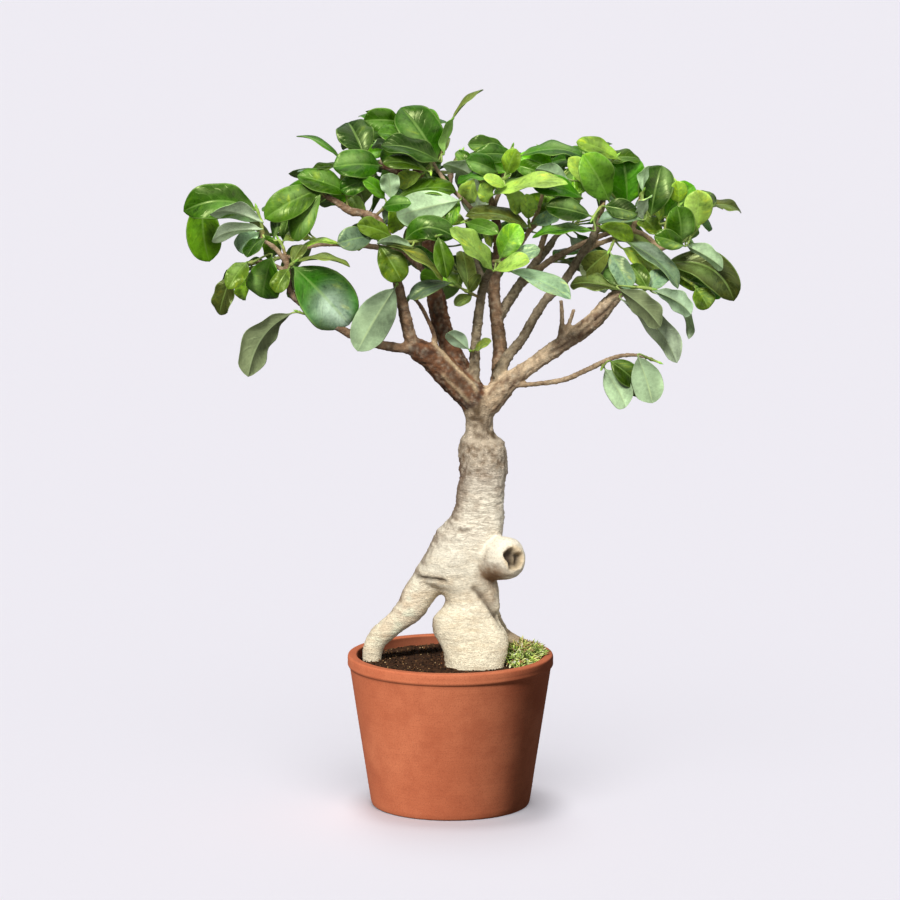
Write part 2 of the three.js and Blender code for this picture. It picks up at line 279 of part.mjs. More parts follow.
    stem: [[43.25,8.67,476.74,0.9], [43.85,6.92,478.78,0.85], [44.45,5.17,480.81,0.8]],
    leaves: [
      [[43.4,8.23,477.25], [41.18,7.53,477.81], [12.58,-1.33,483.32], [0.343,-0.787,0.514], [15.22, 0.263, 0], [0.52,-1.2,0.78], 2],
      [[43.78,7.13,478.53], [44.85,2.67,474.38], [18.25,-9.33,476.85], [0.404,-0.806,0.432], [15.22, 0.287, 1], [0.59,-1.18,0.63], 2],
      [[43.4,8.23,477.25], [47.12,10.67,473.69], [73.89,16.67,465.96], [0.294,-0.901,0.318], [16.41, 0.261, 0], [0.42,-1.28,0.45], 2],
      [[44.32,5.55,480.37], [49.83,0.67,474.56], [95.13,6.67,476.19], [0.014,-0.361,0.932], [22.87, 0.215, 0], [-0.53,-0.75,2.51], 3],
    ],
  },
  spray_e4: {
    stem: [[7.58,-14.07,445.58,1.05], [7.46,-18.78,445.44,0.93], [6.82,-22,445.16,0.8]],
    leaves: [
      [[6.82,-22,445.16], [6.81,-26,445.55], [-38.55,-38,435.35], [-0.262,0.965,0.028], [25.35, 0.275, 7], [-0.63,2.32,0.07], 3],
      [[7.55,-15.25,445.55], [6.5,-16.72,443.97], [-1.01,-27.78,428.61], [-0.268,-0.715,0.646], [10.59, 0.168, 1], [-0.27,-0.73,0.66], 2],
    ],
  },
  spray_f1: {
    stem: [[109.62,4.3,451.17,1.24], [110.1,2.3,464.1,1.02], [118.59,1,473.81,0.8]],
    leaves: [
      [[118.59,1,473.81], [121.47,1,471.66], [90.42,-5,485.77], [0.413,-0.661,0.627], [15.93, 0.314, 3], [0.71,-1.14,1.09], 2],
      [[109.74,3.8,454.4], [103.57,-2.06,451.84], [84.5,-14.06,474.4], [0.495,-0.868,-0.043], [14.91, 0.269, 3], [0.79,-1.38,-0.07], 2],
      [[109.74,3.8,454.4], [113.67,-1.7,442.47], [94.93,-21.7,477.2], [0.49,-0.843,-0.221], [28.34, 0.211, 3], [1.08,-1.87,-0.49], 3],
      [[109.74,3.8,454.4], [127.62,22.3,436.51], [123.67,20.3,475.02], [0.259,-0.966,-0.024], [29.83, 0.265, 0], [0.5,-1.87,-0.05], 2],
      [[109.85,3.33,457.42], [84.28,1,458.02], [61.03,-13,467.17], [-0.247,0.783,0.57], [14.32, 0.287, 7], [-0.35,1.12,0.82], 2],
      [[110.05,2.49,462.83], [107.45,8.3,463.83], [83.24,18.3,477.36], [-0.092,-0.872,0.48], [16.41, 0.237, 1], [-0.14,-1.29,0.71], 2],
      [[111.81,2.04,466.05], [107.47,9.83,470.89], [136.74,21.83,471.28], [0.262,-0.663,0.701], [15.82, 0.32, 0], [0.41,-1.05,1.11], 2],
      [[109.99,2.78,461], [109.39,22.16,464.03], [73,40.16,468.24], [-0.098,-0.411,0.906], [20.41, 0.317, 0], [-0.2,-0.84,1.85], 2],
    ],
  },
  spray_f2: {
    stem: [[136.85,4.53,445.43,1.05], [137.62,2.71,447.35,0.98], [138.39,0.9,449.27,0.9]],
    leaves: [
      [[137.44,3.13,446.91], [137.9,2.31,449.12], [140.54,-5.29,468.63], [-0.595,0.719,0.36], [10.55, 0.19, 7], [-0.63,0.76,0.38], 2],
      [[137.04,4.08,445.91], [137.77,-9.47,429.59], [141.06,-27.47,449.25], [-0.65,0.503,0.569], [13.43, 0.294, 7], [-0.87,0.68,0.76], 2],
      [[137.04,4.08,445.91], [144.35,8.53,430.65], [151.56,14.53,466.87], [-0.234,-0.951,0.204], [26.85, 0.221, 0], [-0.44,-1.78,0.38], 2],
      [[137.57,2.84,447.22], [136.78,-15.47,430.2], [105.44,-13.47,430], [-0.039,-0.517,0.855], [15.7, 0.266, 6], [-0.06,-0.81,1.34], 2],
    ],
  },
  spray_f3: {
    stem: [[76.62,3.21,437.87,1.06], [80.29,-3.06,441.68,0.93], [86.95,-8,444.52,0.8]],
    leaves: [
      [[86.95,-8,444.52], [94.04,-10,445.43], [60.17,-22,456.57], [0.433,-0.591,0.68], [19.56, 0.275, 1], [0.82,-1.11,1.28], 2],
      [[77.54,1.64,438.83], [80.38,12.94,439.6], [51.74,22.94,437.17], [-0.33,-0.838,0.434], [15.21, 0.323, 0], [-0.5,-1.28,0.66], 2],
      [[85.69,-7.06,443.98], [88.55,-2,446.09], [100.33,10,462.23], [0.014,-0.807,0.59], [16.41, 0.172, 1], [0.02,-0.94,0.69], 2],
    ],
  },
  spray_f3b: {
    stem: [[108.68,-7.71,439.76,1.06], [104.79,-12.78,436.23,0.93], [101.77,-16,431.69,0.8]],
    leaves: [
      [[102.31,-15.42,432.51], [100.08,-16.08,433.1], [68.68,-25.36,441.2], [0.343,-0.885,0.315], [18.64, 0.276, 0], [0.58,-1.49,0.53], 2],
      [[101.77,-16,431.69], [102.53,-16,422.37], [58.15,-22,419.42], [-0.01,-0.384,0.923], [23.34, 0.232, 1], [-0.02,-0.86,2.07], 3],
      [[107.52,-9.21,438.71], [109.73,-11.71,439.86], [133.88,-15.71,434.53], [-0.061,-0.911,0.409], [16.41, 0.188, 0], [-0.08,-1.14,0.51], 2],
      [[106.07,-11.11,437.39], [105.87,-2,424.51], [132.11,6,415.01], [0.408,-0.787,0.464], [14.52, 0.315, 0], [0.59,-1.14,0.67], 2],
    ],
  },
  spray_f4: {
    stem: [[151.89,9.36,409.21,1.25], [157.21,13.56,428.96,1.02], [164.74,14,437.33,0.8]],
    leaves: [
      [[164.74,14,437.33], [164.42,13.27,439.59], [162.81,8,455.94], [0.284,-0.92,-0.269], [14.17, 0.316, 3], [0.24,-0.79,-0.23], 2],
      [[157.21,13.56,428.96], [154.17,17.56,429.73], [176.21,27.56,451.23], [-0.036,-0.891,0.452], [19.39, 0.208, 0], [-0.06,-1.44,0.73], 2],
      [[156.22,12.78,425.3], [150.77,20.89,425.05], [160.63,34.89,457.08], [-0.164,-0.884,0.437], [19.39, 0.211, 0], [-0.3,-1.61,0.79], 2],
      [[153.99,11.02,417.02], [153.15,23.45,414.61], [137.03,37.45,428.45], [-0.149,-0.777,0.612], [15.66, 0.22, 0], [-0.19,-0.99,0.78], 2],
    ],
  },
  spray_g1: {
    stem: [[168.64,0.41,414.25,1.14], [172.67,-3.72,417.56,0.97], [176.61,-7,422.87,0.8]],
    leaves: [
      [[176.61,-7,422.87], [176.6,-7,423.59], [176.59,-15,451.63], [0.24,-0.934,-0.266], [21.63, 0.247, 3], [0.35,-1.36,-0.39], 2],
      [[174.91,-5.59,420.58], [173.57,3,426.88], [188.49,15,447.35], [-0.031,-0.852,0.522], [16.41, 0.32, 1], [-0.04,-1.19,0.73], 2],
      [[170.96,-1.97,416.15], [165.09,-9.59,413.8], [162.06,-21.59,440.12], [0.304,-0.88,-0.366], [22.37, 0.189, 1], [0.44,-1.28,-0.53], 2],
      [[169.65,-0.63,415.08], [169.14,-1.59,410.77], [195.54,-17.59,395.99], [0.57,0.81,0.141], [17.11, 0.319, 7], [0.97,1.39,0.24], 2],
      [[172.67,-3.72,417.56], [166.92,-15.59,411.57], [145.74,-23.59,419.59], [0.425,-0.868,0.256], [14.91, 0.252, 0], [0.51,-1.04,0.31], 2],
      [[176.43,-6.85,422.63], [181.7,20,435.28], [211.59,34,432.44], [0.252,-0.356,0.9], [14.6, 0.231, 5], [0.42,-0.57,2.21], 2],
    ],
  },
  spray_g2: {
    stem: [[151.03,8,401.77,1.3], [158.25,3.44,392.6,1.05], [175.25,0,381.69,0.8]],
    leaves: [
      [[155.53,5.15,396.05], [153.57,0.49,396.83], [204.47,-5.51,372.22], [0.196,-0.779,0.596], [26.84, 0.167, 5], [5.65,-2.1,9.74], 3],
      [[175.25,0,381.69], [176.31,-0.5,379.6], [185.95,-4,365.52], [0.16,-0.926,0.34], [17.9, 0.282, 3], [0.14,-0.81,0.3], 2],
      [[170.32,1,384.85], [171.3,6.94,384.5], [198.03,16.94,373.14], [0.45,-0.832,0.326], [15.36, 0.26, 0], [0.69,-1.28,0.5], 2],
      [[155.12,5.42,396.58], [156.94,9.96,395.76], [180.56,15.96,377.63], [0.367,-0.913,0.176], [16.41, 0.298, 0], [0.56,-1.39,0.27], 2],
    ],
  },
  spray_h1: {
    stem: [[118.31,6.83,414.49,1.17], [116.47,-8,412.91,1], [113.18,-20,408.46,0.8]],
    leaves: [
      [[113.18,-20,408.46], [114.35,-20.88,406.56], [127.82,-32,382.6], [0.101,-0.88,0.465], [17.15, 0.299, 6], [0.15,-1.3,0.69], 2],
      [[117.45,-0.1,413.75], [126.79,-1.17,412.89], [164.34,-15.17,382.76], [0.393,-0.544,0.742], [25.07, 0.307, 6], [0.98,-1.36,1.86], 3],
      [[117.85,3.12,414.1], [123.43,3.71,408.03], [147.88,15.71,392.2], [0.502,-0.855,0.128], [16.41, 0.178, 0], [0.79,-1.35,0.2], 2],
      [[115.86,-10.24,412.08], [114.36,-8,407.15], [95.55,6,388.23], [-0.565,-0.824,-0.048], [17.9, 0.176, 5], [-0.85,-1.24,-0.07], 2],
    ],
  },
  spray_h2: {
    stem: [[126.51,-23,382.42,1.27], [132.78,-27,383.36,1.11], [143.48,-32,382.6,0.9]],
    leaves: [
      [[128.08,-24,382.66], [120.92,-27,381.29], [85.59,-15,384.9], [-0.097,-0.539,0.837], [18.74, 0.307, 0], [-0.18,-1.01,1.57], 2],
      [[130.39,-25.48,383.01], [128.67,-24.34,384.24], [111.3,-15,395.69], [-0.113,-0.847,0.519], [17.9, 0.234, 0], [-0.13,-0.97,0.59], 2],
      [[136.68,-28.82,383.08], [139.69,-22,380.69], [156.14,-6,393.23], [0.22,-0.732,0.645], [14.91, 0.209, 0], [0.29,-0.96,0.84], 2],
      [[132.78,-27,383.36], [119.21,-51,384.85], [149.22,-63,360.02], [0.501,0.843,0.198], [20.38, 0.329, 9], [1.02,1.72,0.4], 2],
      [[130.57,-25.59,383.03], [121.05,-42,376.64], [163.07,-46,333.51], [0.65,0.481,0.588], [30.18, 0.191, 9], [1.96,1.45,1.78], 3],
      [[142.9,-31.73,382.64], [144.81,-32.78,381.64], [171.88,-48,367.39], [0.58,0.762,0.288], [17.08, 0.22, 7], [0.99,1.3,0.49], 2],
      [[141.41,-31.03,382.75], [146.24,-20,378.29], [171.79,-16,345.34], [0.661,0.485,0.572], [21.74, 0.302, 9], [5.34,1.03,4.39], 3],
      [[128.08,-24,382.66], [125.95,-9,381.31], [93.32,5,395.59], [0.37,0.927,-0.063], [19.39, 0.334, 9], [0.71,1.77,-0.12], 2],
      [[139.48,-30.13,382.88], [140.88,-27,382], [128.36,-17,398.8], [0.025,-0.851,0.525], [14.91, 0.275, 0], [0.03,-0.99,0.61], 2],
    ],
  },
  spray_i1: {
    stem: [[31.99,-57.69,405.2,1.18], [34.2,-60.51,405.37,1.01], [38.42,-62,401.04,0.8]],
    leaves: [
      [[32.54,-58.39,405.24], [30,-59.69,398.65], [0.4,-69.69,430.1], [0.663,-0.614,0.428], [21.28, 0.258, 4], [1.47,-1.36,0.95], 3],
      [[33.68,-59.85,405.33], [34.81,-60.31,407.39], [48.13,-66,431.84], [-0.368,-0.93,-0.016], [18.64, 0.236, 4], [-0.52,-1.32,-0.02], 2],
      [[35.13,-60.84,404.41], [37.28,-61.47,405.26], [62.9,-66.89,415.01], [-0.316,-0.886,0.339], [12.85, 0.288, 3], [-0.44,-1.24,0.47], 2],
      [[36.25,-61.23,403.26], [30.64,-65.69,399.33], [54.81,-87.69,408.87], [-0.632,-0.409,0.658], [15.66, 0.284, 3], [-1.08,-0.7,1.12], 2],
      [[38.42,-62,401.04], [41.21,-64,399.14], [84.56,-76,381.47], [0.211,-0.486,0.848], [23.2, 0.309, 4], [0.51,-1.18,2.05], 3],
    ],
  },
  spray_i2: {
    stem: [[57.08,10.93,422.72,1.05], [56.43,3.72,425.76,0.93], [56.36,-2,428.11,0.8]],
    leaves: [
      [[56.41,1.5,426.68], [57.13,-0.07,422.87], [12.53,-20.07,436.4], [0.443,-0.472,0.762], [22.32, 0.229, 5], [1.12,-1.2,1.93], 3],
      [[56.39,0.28,427.17], [56.06,-0.76,429.31], [54.73,-9.74,447.55], [0.284,-0.868,-0.407], [12.68, 0.333, 0], [0.29,-0.88,-0.41], 2],
      [[56.67,6.37,424.64], [58.69,6.38,425.09], [78.69,2.38,431.99], [-0.287,-0.907,0.308], [11.93, 0.207, 1], [-0.31,-0.98,0.33], 2],
    ],
  },
  spray_i3: {
    stem: [[18.16,-2.7,431.18,1.06], [13.11,-13.84,430.4,0.93], [8.96,-22,429.44,0.8]],
    leaves: [
      [[8.96,-22,429.44], [10.97,-23.23,428.97], [33.7,-40,423.46], [-0.374,-0.705,0.602], [13.81, 0.299, 4], [-0.54,-1.01,0.87], 2],
      [[14.61,-10.53,430.63], [11.15,-8.78,428.09], [-7.47,-2.78,431.79], [-0.196,-0.878,0.438], [11.93, 0.167, 1], [-0.19,-0.87,0.44], 2],
      [[16.07,-7.33,430.86], [11.17,-4.78,426.24], [18.43,7.22,400.41], [0.583,-0.787,-0.202], [14.69, 0.309, 0], [0.86,-1.16,-0.3], 2],
      [[16.9,-5.48,430.99], [16.97,8.11,427.8], [31.61,28.11,408.29], [0.836,-0.545,0.068], [16.4, 0.329, 1], [1.32,-0.86,0.11], 2],
    ],
  },
  spray_j1: {
    stem: [[142.77,-31.49,332.27,0.9], [145.27,-32.19,331.35,0.85], [147.76,-32.9,330.43,0.8]],
    leaves: [
      [[143.4,-31.66,332.04], [133.38,-42.49,335.9], [144.01,-48.49,303.01], [0.235,0.967,-0.1], [23.12, 0.334, 8], [0.41,1.7,-0.18], 2],
      [[143.4,-31.66,332.04], [139.47,-19.49,329.9], [132.13,-11.49,301.94], [-0.337,-0.925,-0.176], [16.41, 0.329, 5], [-0.51,-1.39,-0.26], 2],
    ],
  },
  spray_j2: {
    stem: [[109.69,-24,327.14,0.93], [109.01,-26.52,326.28,0.87], [108.32,-29.04,325.41,0.8]],
    leaves: [
      [[109.35,-25.26,326.71], [110.43,-25.81,324.64], [126.17,-34,297.99], [0.267,0.954,-0.135], [21.63, 0.286, 8], [0.43,1.53,-0.22], 2],
      [[108.86,-27.05,326.1], [113.98,-30,330.61], [134.37,-24,313.17], [0.388,-0.911,0.141], [17.9, 0.179, 0], [0.53,-1.25,0.19], 2],
    ],
  },
  spray_back_01: {
    stem: [[-62.12,104.39,414.95,1.28], [-65.93,109.85,421.36,1.05], [-70.13,115.89,428.05,0.8]],
    leaves: [
      [[-70.13,115.89,428.05], [-74.1,118.83,430.19], [-109.32,144.91,433.42], [0.421,0.473,0.774], [21.5, 0.353, 5], [1.3,1.46,2.38], 2],
      [[-68.45,113.48,425.38], [-73.4,113.67,429.43], [-119.91,115.45,452.9], [0.411,0.476,0.778], [25.04, 0.235, 1], [1.5,1.74,2.84], 2],
      [[-67.61,112.27,424.04], [-66.14,113.93,430.93], [-51.78,130.13,478.44], [-0.924,-0.176,0.339], [26.72, 0.353, 5], [-3.38,-0.64,1.24], 2],
      [[-66.77,111.07,422.7], [-72.07,108.64,425.7], [-120.63,86.45,439.83], [-0.013,0.558,0.83], [27.34, 0.204, 5], [-0.05,2.16,3.21], 2],
      [[-65.1,108.66,419.96], [-65.07,107.95,426.9], [-64.84,102.26,470.75], [-1,-0.027,0.002], [24.12, 0.277, 6], [-3.09,-0.08,0.01], 2],
      [[-64.26,107.46,418.55], [-65.37,115.29,415.51], [-69.8,146.57,392.5], [-0.363,0.518,0.774], [18.61, 0.23, 0], [-0.99,1.42,2.12], 2],
    ],
  },
  spray_back_02: {
    stem: [[-48.96,77.75,408.76,1.22], [-53.64,81.53,413.25,1.05], [-60.7,87.23,419.64,0.8]],
    leaves: [
      [[-60.7,87.23,419.64], [-65.05,87.22,423.84], [-93.66,87.11,439.97], [0.489,0.089,0.868], [16.85, 0.289, 0], [1.12,0.2,1.99], 2],
      [[-57.88,84.96,417.09], [-63.06,81.66,423.7], [-92.01,63.27,449.25], [0.275,0.605,0.747], [21.87, 0.165, 5], [0.82,1.81,2.24], 2],
      [[-56.47,83.82,415.82], [-60.3,80.95,419.37], [-94.32,55.42,438.84], [0.186,0.427,0.885], [23.73, 0.165, 0], [0.61,1.4,2.9], 2],
      [[-53.64,81.53,413.25], [-48.98,87.5,418.38], [-25.89,117.02,433.36], [-0.463,-0.085,0.882], [20.5, 0.247, 6], [-1.31,-0.24,2.49], 2],
      [[-52.25,80.4,411.91], [-49.73,87.87,414], [-31.94,140.62,416.28], [-0.274,0.051,0.96], [27.38, 0.188, 1], [-1.07,0.2,3.75], 2],
    ],
  },
  spray_back_03: {
    stem: [[-57.32,91.57,412.26,1.3], [-62.54,92.97,421.3,1.05], [-67.75,94.38,429.91,0.8]],
    leaves: [
      [[-67.75,94.38,429.91], [-73.4,93.32,435.42], [-111.33,86.22,458.43], [0.422,0.394,0.817], [23.99, 0.179, 6], [1.33,1.24,2.57], 2],
      [[-65.67,93.82,426.47], [-65.96,90.55,432.05], [-68.9,57.52,470.79], [-0.178,0.756,0.631], [27.8, 0.333, 6], [-0.63,2.7,2.25], 2],
      [[-63.59,93.26,423.03], [-64.25,87.68,430.11], [-68.86,48.52,461.36], [0.008,0.623,0.782], [28.05, 0.193, 1], [0.03,2.19,2.75], 2],
      [[-62.54,92.97,421.3], [-58.34,95.72,428.12], [-30.2,114.09,461.13], [-0.802,0.3,0.517], [23.77, 0.168, 1], [-2.64,0.99,1.7], 2],
      [[-61.52,92.7,419.53], [-58.56,92.59,424.43], [-29.76,91.48,455.45], [-0.708,0.237,0.665], [22.14, 0.266, 1], [-2.1,0.7,1.97], 2],
    ],
  },
  spray_back_04: {
    stem: [[-120.95,52.08,396.17,1.25], [-127.63,51.34,395.05,1.05], [-135.99,50.41,393.31,0.8]],
    leaves: [
      [[-135.99,50.41,393.31], [-141.74,54.09,391.12], [-168.41,71.18,372.26], [-0.54,0.082,0.838], [20.52, 0.316, 0], [-1.39,0.21,2.16], 2],
      [[-132.64,50.78,394], [-137.71,53.82,390.82], [-170.04,73.22,359.77], [-0.582,0.261,0.77], [24.36, 0.161, 1], [-1.99,0.89,2.63], 2],
      [[-130.97,50.97,394.35], [-135.64,45.78,394.18], [-160.24,18.49,383.24], [-0.525,0.136,0.84], [18.51, 0.29, 0], [-1.41,0.36,2.26], 2],
      [[-127.63,51.34,395.05], [-132.31,48.97,402.34], [-161.92,33.98,434.72], [0.62,0.321,0.716], [23.45, 0.303, 5], [2.01,1.04,2.32], 2],
      [[-125.96,51.53,395.33], [-128.84,44.85,393.94], [-143.35,11.31,377.6], [-0.444,-0.23,0.866], [19.55, 0.212, 4], [-1.25,-0.64,2.43], 2],
    ],
  },
  spray_back_05: {
    stem: [[-90.54,61.29,405.82,1.25], [-97.33,62.92,407.29,1.05], [-105.81,64.95,408.79,0.8]],
    leaves: [
      [[-105.81,64.95,408.79], [-114.41,66.59,409.1], [-157.95,74.86,402.1], [-0.136,0.114,0.984], [20.82, 0.209, 1], [-0.43,0.36,3.09], 2],
      [[-102.42,64.14,408.19], [-106.96,67.55,412.76], [-137.92,90.78,431.58], [0.123,-0.521,0.845], [20.71, 0.286, 1], [0.37,-1.57,2.55], 2],
      [[-100.72,63.73,407.89], [-104.07,65.8,400.93], [-117.36,73.97,362.87], [-0.934,0.093,0.346], [22.68, 0.275, 0], [-2.69,0.27,1], 2],
      [[-97.33,62.92,407.29], [-101.67,58.99,411.13], [-133.6,30.06,427.24], [0.04,0.452,0.891], [21.49, 0.224, 0], [0.13,1.46,2.87], 2],
      [[-95.64,62.52,406.92], [-99.48,66.79,404.5], [-121.38,91.16,379.31], [-0.408,0.453,0.793], [21.02, 0.226, 1], [-1.18,1.31,2.29], 2],
    ],
  },
  spray_back_06: {
    stem: [[2.1,110.37,457.87,1.28], [4.26,120.41,462.28,1.05], [6.62,131.36,466.6,0.8]],
    leaves: [
      [[5.68,126.98,464.87], [11.47,127.83,464.04], [47.06,133.06,447.21], [0.415,0.089,0.905], [21.43, 0.31, 1], [1.15,0.25,2.52], 2],
      [[5.2,124.79,464.01], [10.38,126.48,461.14], [43.34,137.22,432.91], [0.435,0.546,0.716], [23.69, 0.301, 1], [1.36,1.71,2.24], 2],
      [[4.73,122.6,463.14], [7.11,124.99,458.39], [23.17,141.18,413.36], [0.225,0.888,0.4], [26.9, 0.215, 5], [0.8,3.14,1.41], 2],
      [[3.79,118.23,461.32], [10.07,120.17,463], [47.16,131.6,461.77], [-0.042,0.24,0.97], [20.05, 0.349, 1], [-0.11,0.65,2.64], 2],
      [[3.32,116.05,460.36], [-0.79,120.32,457.92], [-23.27,143.7,433.09], [-0.502,0.355,0.789], [18.99, 0.195, 1], [-1.43,1.02,2.26], 2],
    ],
  },
  spray_back_07: {
    stem: [[-3.96,75.06,447.21,1.32], [-10.36,78.16,459.06,1.05], [-16.37,81.08,469.68,0.8]],
    leaves: [
      [[-16.37,81.08,469.68], [-21.41,83.32,474.54], [-54.63,98.11,495.21], [0.435,-0.237,0.869], [20.33, 0.183, 0], [1.27,-0.69,2.54], 2],
      [[-13.97,79.92,465.44], [-16.73,74.73,470.21], [-39.31,32.19,491.65], [0.114,0.398,0.91], [28.45, 0.258, 0], [0.42,1.47,3.36], 2],
      [[-11.57,78.75,461.19], [-11.63,85.23,465.02], [-12.05,129.59,480.82], [0.223,-0.325,0.919], [21.82, 0.184, 5], [0.74,-1.07,3.03], 2],
      [[-9.18,77.59,456.87], [-13.67,74.54,460.14], [-54.11,47.04,475.02], [0.332,0.021,0.943], [27.46, 0.268, 1], [1.19,0.08,3.37], 2],
      [[-7.98,77.01,454.66], [-10.6,85.59,455.56], [-23.34,127.24,449.97], [-0.054,0.116,0.992], [20.26, 0.19, 0], [-0.17,0.36,3.05], 2],
    ],
  },
  spray_back_08: {
    stem: [[1.93,96.14,455.76,1.27], [4.97,100.62,461.92,1.05], [8.5,105.82,468.71,0.8]],
    leaves: [
      [[7.09,103.74,466], [12.45,104.74,466.19], [52.83,112.27,455.76], [0.231,0.102,0.968], [23.49, 0.28, 0], [0.68,0.3,2.87], 2],
      [[6.39,102.7,464.64], [10.02,106.3,462.83], [32.98,129,439.15], [0.296,0.529,0.795], [18.49, 0.178, 4], [0.83,1.48,2.23], 2],
      [[4.97,100.62,461.92], [11.46,96.96,463.8], [59.48,69.92,464.91], [0.124,0.259,0.958], [29.14, 0.219, 1], [0.48,1,3.7], 2],
      [[4.28,99.6,460.51], [11.7,102.49,460.71], [47.91,116.58,453.5], [0.157,0.099,0.983], [21.89, 0.352, 1], [0.44,0.27,2.72], 2],
    ],
  },
  spray_back_09: {
    stem: [[-50.45,86.56,466.29,1.31], [-51.82,90.75,475.58,1.05], [-53.14,94.82,484.24,0.8]],
    leaves: [
      [[-53.14,94.82,484.24], [-54.46,101.38,487.79], [-61.9,138.53,494.68], [-0.138,-0.207,0.968], [19.46, 0.267, 1], [-0.37,-0.56,2.61], 2],
      [[-52.61,93.19,480.78], [-49.29,99.55,479.71], [-33.29,130.09,463.61], [0.046,0.447,0.894], [17.78, 0.32, 5], [0.12,1.19,2.38], 2],
      [[-52.08,91.57,477.32], [-48.34,96.51,480.85], [-24.82,127.57,489.98], [-0.259,-0.087,0.962], [20.16, 0.327, 4], [-0.72,-0.24,2.69], 2],
      [[-51.82,90.75,475.58], [-54.82,95.95,477.42], [-76.4,133.3,477.32], [-0.136,-0.076,0.988], [20.95, 0.305, 1], [-0.41,-0.23,2.98], 2],
      [[-51.55,89.95,473.8], [-53.57,94.61,474.9], [-75.25,144.72,470.09], [-0.208,0.004,0.978], [27.62, 0.324, 1], [-0.8,0.02,3.75], 2],
    ],
  },
  spray_back_10: {
    stem: [[-31.76,77.17,453.89,1.33], [-30.04,83.46,465.7,1.05], [-28.49,89.14,475.91,0.8]],
    leaves: [
      [[-28.49,89.14,475.91], [-25.68,95.21,480.1], [-8.17,133.01,493.09], [0.113,-0.369,0.922], [23.52, 0.176, 1], [0.35,-1.13,2.82], 2],
      [[-29.11,86.87,471.83], [-27.36,92.85,470.72], [-13.61,139.97,450.48], [-0.128,0.423,0.897], [27.72, 0.292, 0], [-0.48,1.57,3.33], 2],
      [[-29.73,84.6,467.76], [-32.75,83.08,472.84], [-60.27,69.19,503.66], [0.498,0.532,0.685], [24.39, 0.309, 1], [1.52,1.62,2.09], 2],
      [[-30.35,82.34,463.61], [-34.23,90.22,463.76], [-52.7,127.74,453], [-0.319,0.113,0.941], [22.49, 0.206, 1], [-0.97,0.34,2.84], 2],
      [[-30.66,81.21,461.49], [-34.19,82.34,467.23], [-59.43,90.39,496.13], [0.761,0.065,0.646], [20.3, 0.18, 5], [2.09,0.18,1.77], 2],
    ],
  },
  spray_back_11: {
    stem: [[81.03,113.79,406.07,1.28], [87.67,122.62,409.85,1.05], [94.76,132.07,413.38,0.8]],
    leaves: [
      [[94.76,132.07,413.38], [102.1,133.19,414.59], [141.76,139.23,408.62], [0.147,0.012,0.989], [22.64, 0.256, 1], [0.42,0.03,2.81], 2],
      [[91.93,128.29,411.97], [99.19,127.81,412.74], [148.24,124.52,402.31], [0.217,0.27,0.938], [23.18, 0.257, 1], [0.76,0.95,3.3], 2],
      [[90.51,126.41,411.26], [93.74,127.48,419.33], [116.53,135.01,461.24], [-0.814,0.455,0.361], [22.61, 0.313, 4], [-2.75,1.54,1.22], 2],
      [[89.09,124.52,410.56], [93.61,126.39,406.2], [123.7,138.86,362.45], [0.559,0.612,0.559], [25.92, 0.211, 0], [2.14,2.34,2.13], 2],
      [[86.26,120.75,409.05], [95.07,119.52,408.57], [140.07,113.27,396.23], [0.282,0.165,0.945], [22.59, 0.355, 4], [0.93,0.54,3.11], 2],
      [[84.84,118.86,408.24], [88.34,119.81,404.63], [117.13,127.57,361.87], [0.545,0.68,0.491], [28.74, 0.206, 1], [1.99,2.48,1.79], 2],
    ],
  },
  spray_back_12: {
    stem: [[68.49,89.7,398.74,1.31], [68.84,91.07,411.48,1.05], [69.19,92.42,423.49,0.8]],
    leaves: [
      [[69.19,92.42,423.49], [72.53,97.29,429.82], [92.77,126.8,455.33], [-0.13,-0.596,0.792], [24.49, 0.289, 1], [-0.4,-1.83,2.44], 2],
      [[69.05,91.88,418.7], [66.44,99.29,422.85], [52.57,138.61,430.92], [0.572,0.034,0.82], [19.8, 0.227, 1], [1.7,0.1,2.44], 2],
      [[68.91,91.34,413.9], [69.8,83.97,419.32], [75.86,33.27,438.99], [-0.109,0.348,0.931], [26.59, 0.296, 1], [-0.42,1.33,3.57], 2],
      [[68.84,91.07,411.48], [74.52,94.16,418.18], [111.02,114,445.18], [-0.651,0.205,0.731], [25.15, 0.172, 1], [-2.26,0.71,2.53], 2],
      [[68.78,90.81,409.04], [63.6,92.91,409.63], [18.07,111.43,402.83], [-0.104,0.108,0.989], [27.23, 0.331, 0], [-0.36,0.37,3.43], 2],
    ],
  },
  spray_back_13: {
    stem: [[63.56,73.65,386.16,1.27], [71.88,73.06,389.52,1.05], [81.32,72.4,392.94,0.8]],
    leaves: [
      [[81.32,72.4,392.94], [85.94,72.57,391.68], [122.28,73.94,369.32], [0.455,0.453,0.767], [23.04, 0.18, 6], [1.36,1.35,2.29], 2],
      [[77.54,72.66,391.57], [82.26,76.77,391.3], [116.93,106.94,374.13], [0.042,0.458,0.888], [27.45, 0.36, 0], [0.14,1.57,3.05], 2],
      [[73.77,72.93,390.2], [78.74,77.41,389.6], [109.2,104.87,373.03], [0.224,0.31,0.924], [23.95, 0.233, 5], [0.69,0.96,2.86], 2],
      [[70,73.2,388.76], [75.37,80.06,390.57], [100.98,112.79,390.55], [0.026,-0.02,0.999], [22.47, 0.343, 1], [0.08,-0.06,2.91], 2],
    ],
  },
  spray_back_14: {
    stem: [[136.65,66.19,418.86,1.3], [147.14,69.96,424.18,1.05], [157.62,73.72,429,0.8]],
    leaves: [
      [[157.62,73.72,429], [162.7,76.69,432.02], [190.04,92.72,438.95], [-0.007,-0.387,0.922], [17.75, 0.302, 5], [-0.02,-0.88,2.09], 2],
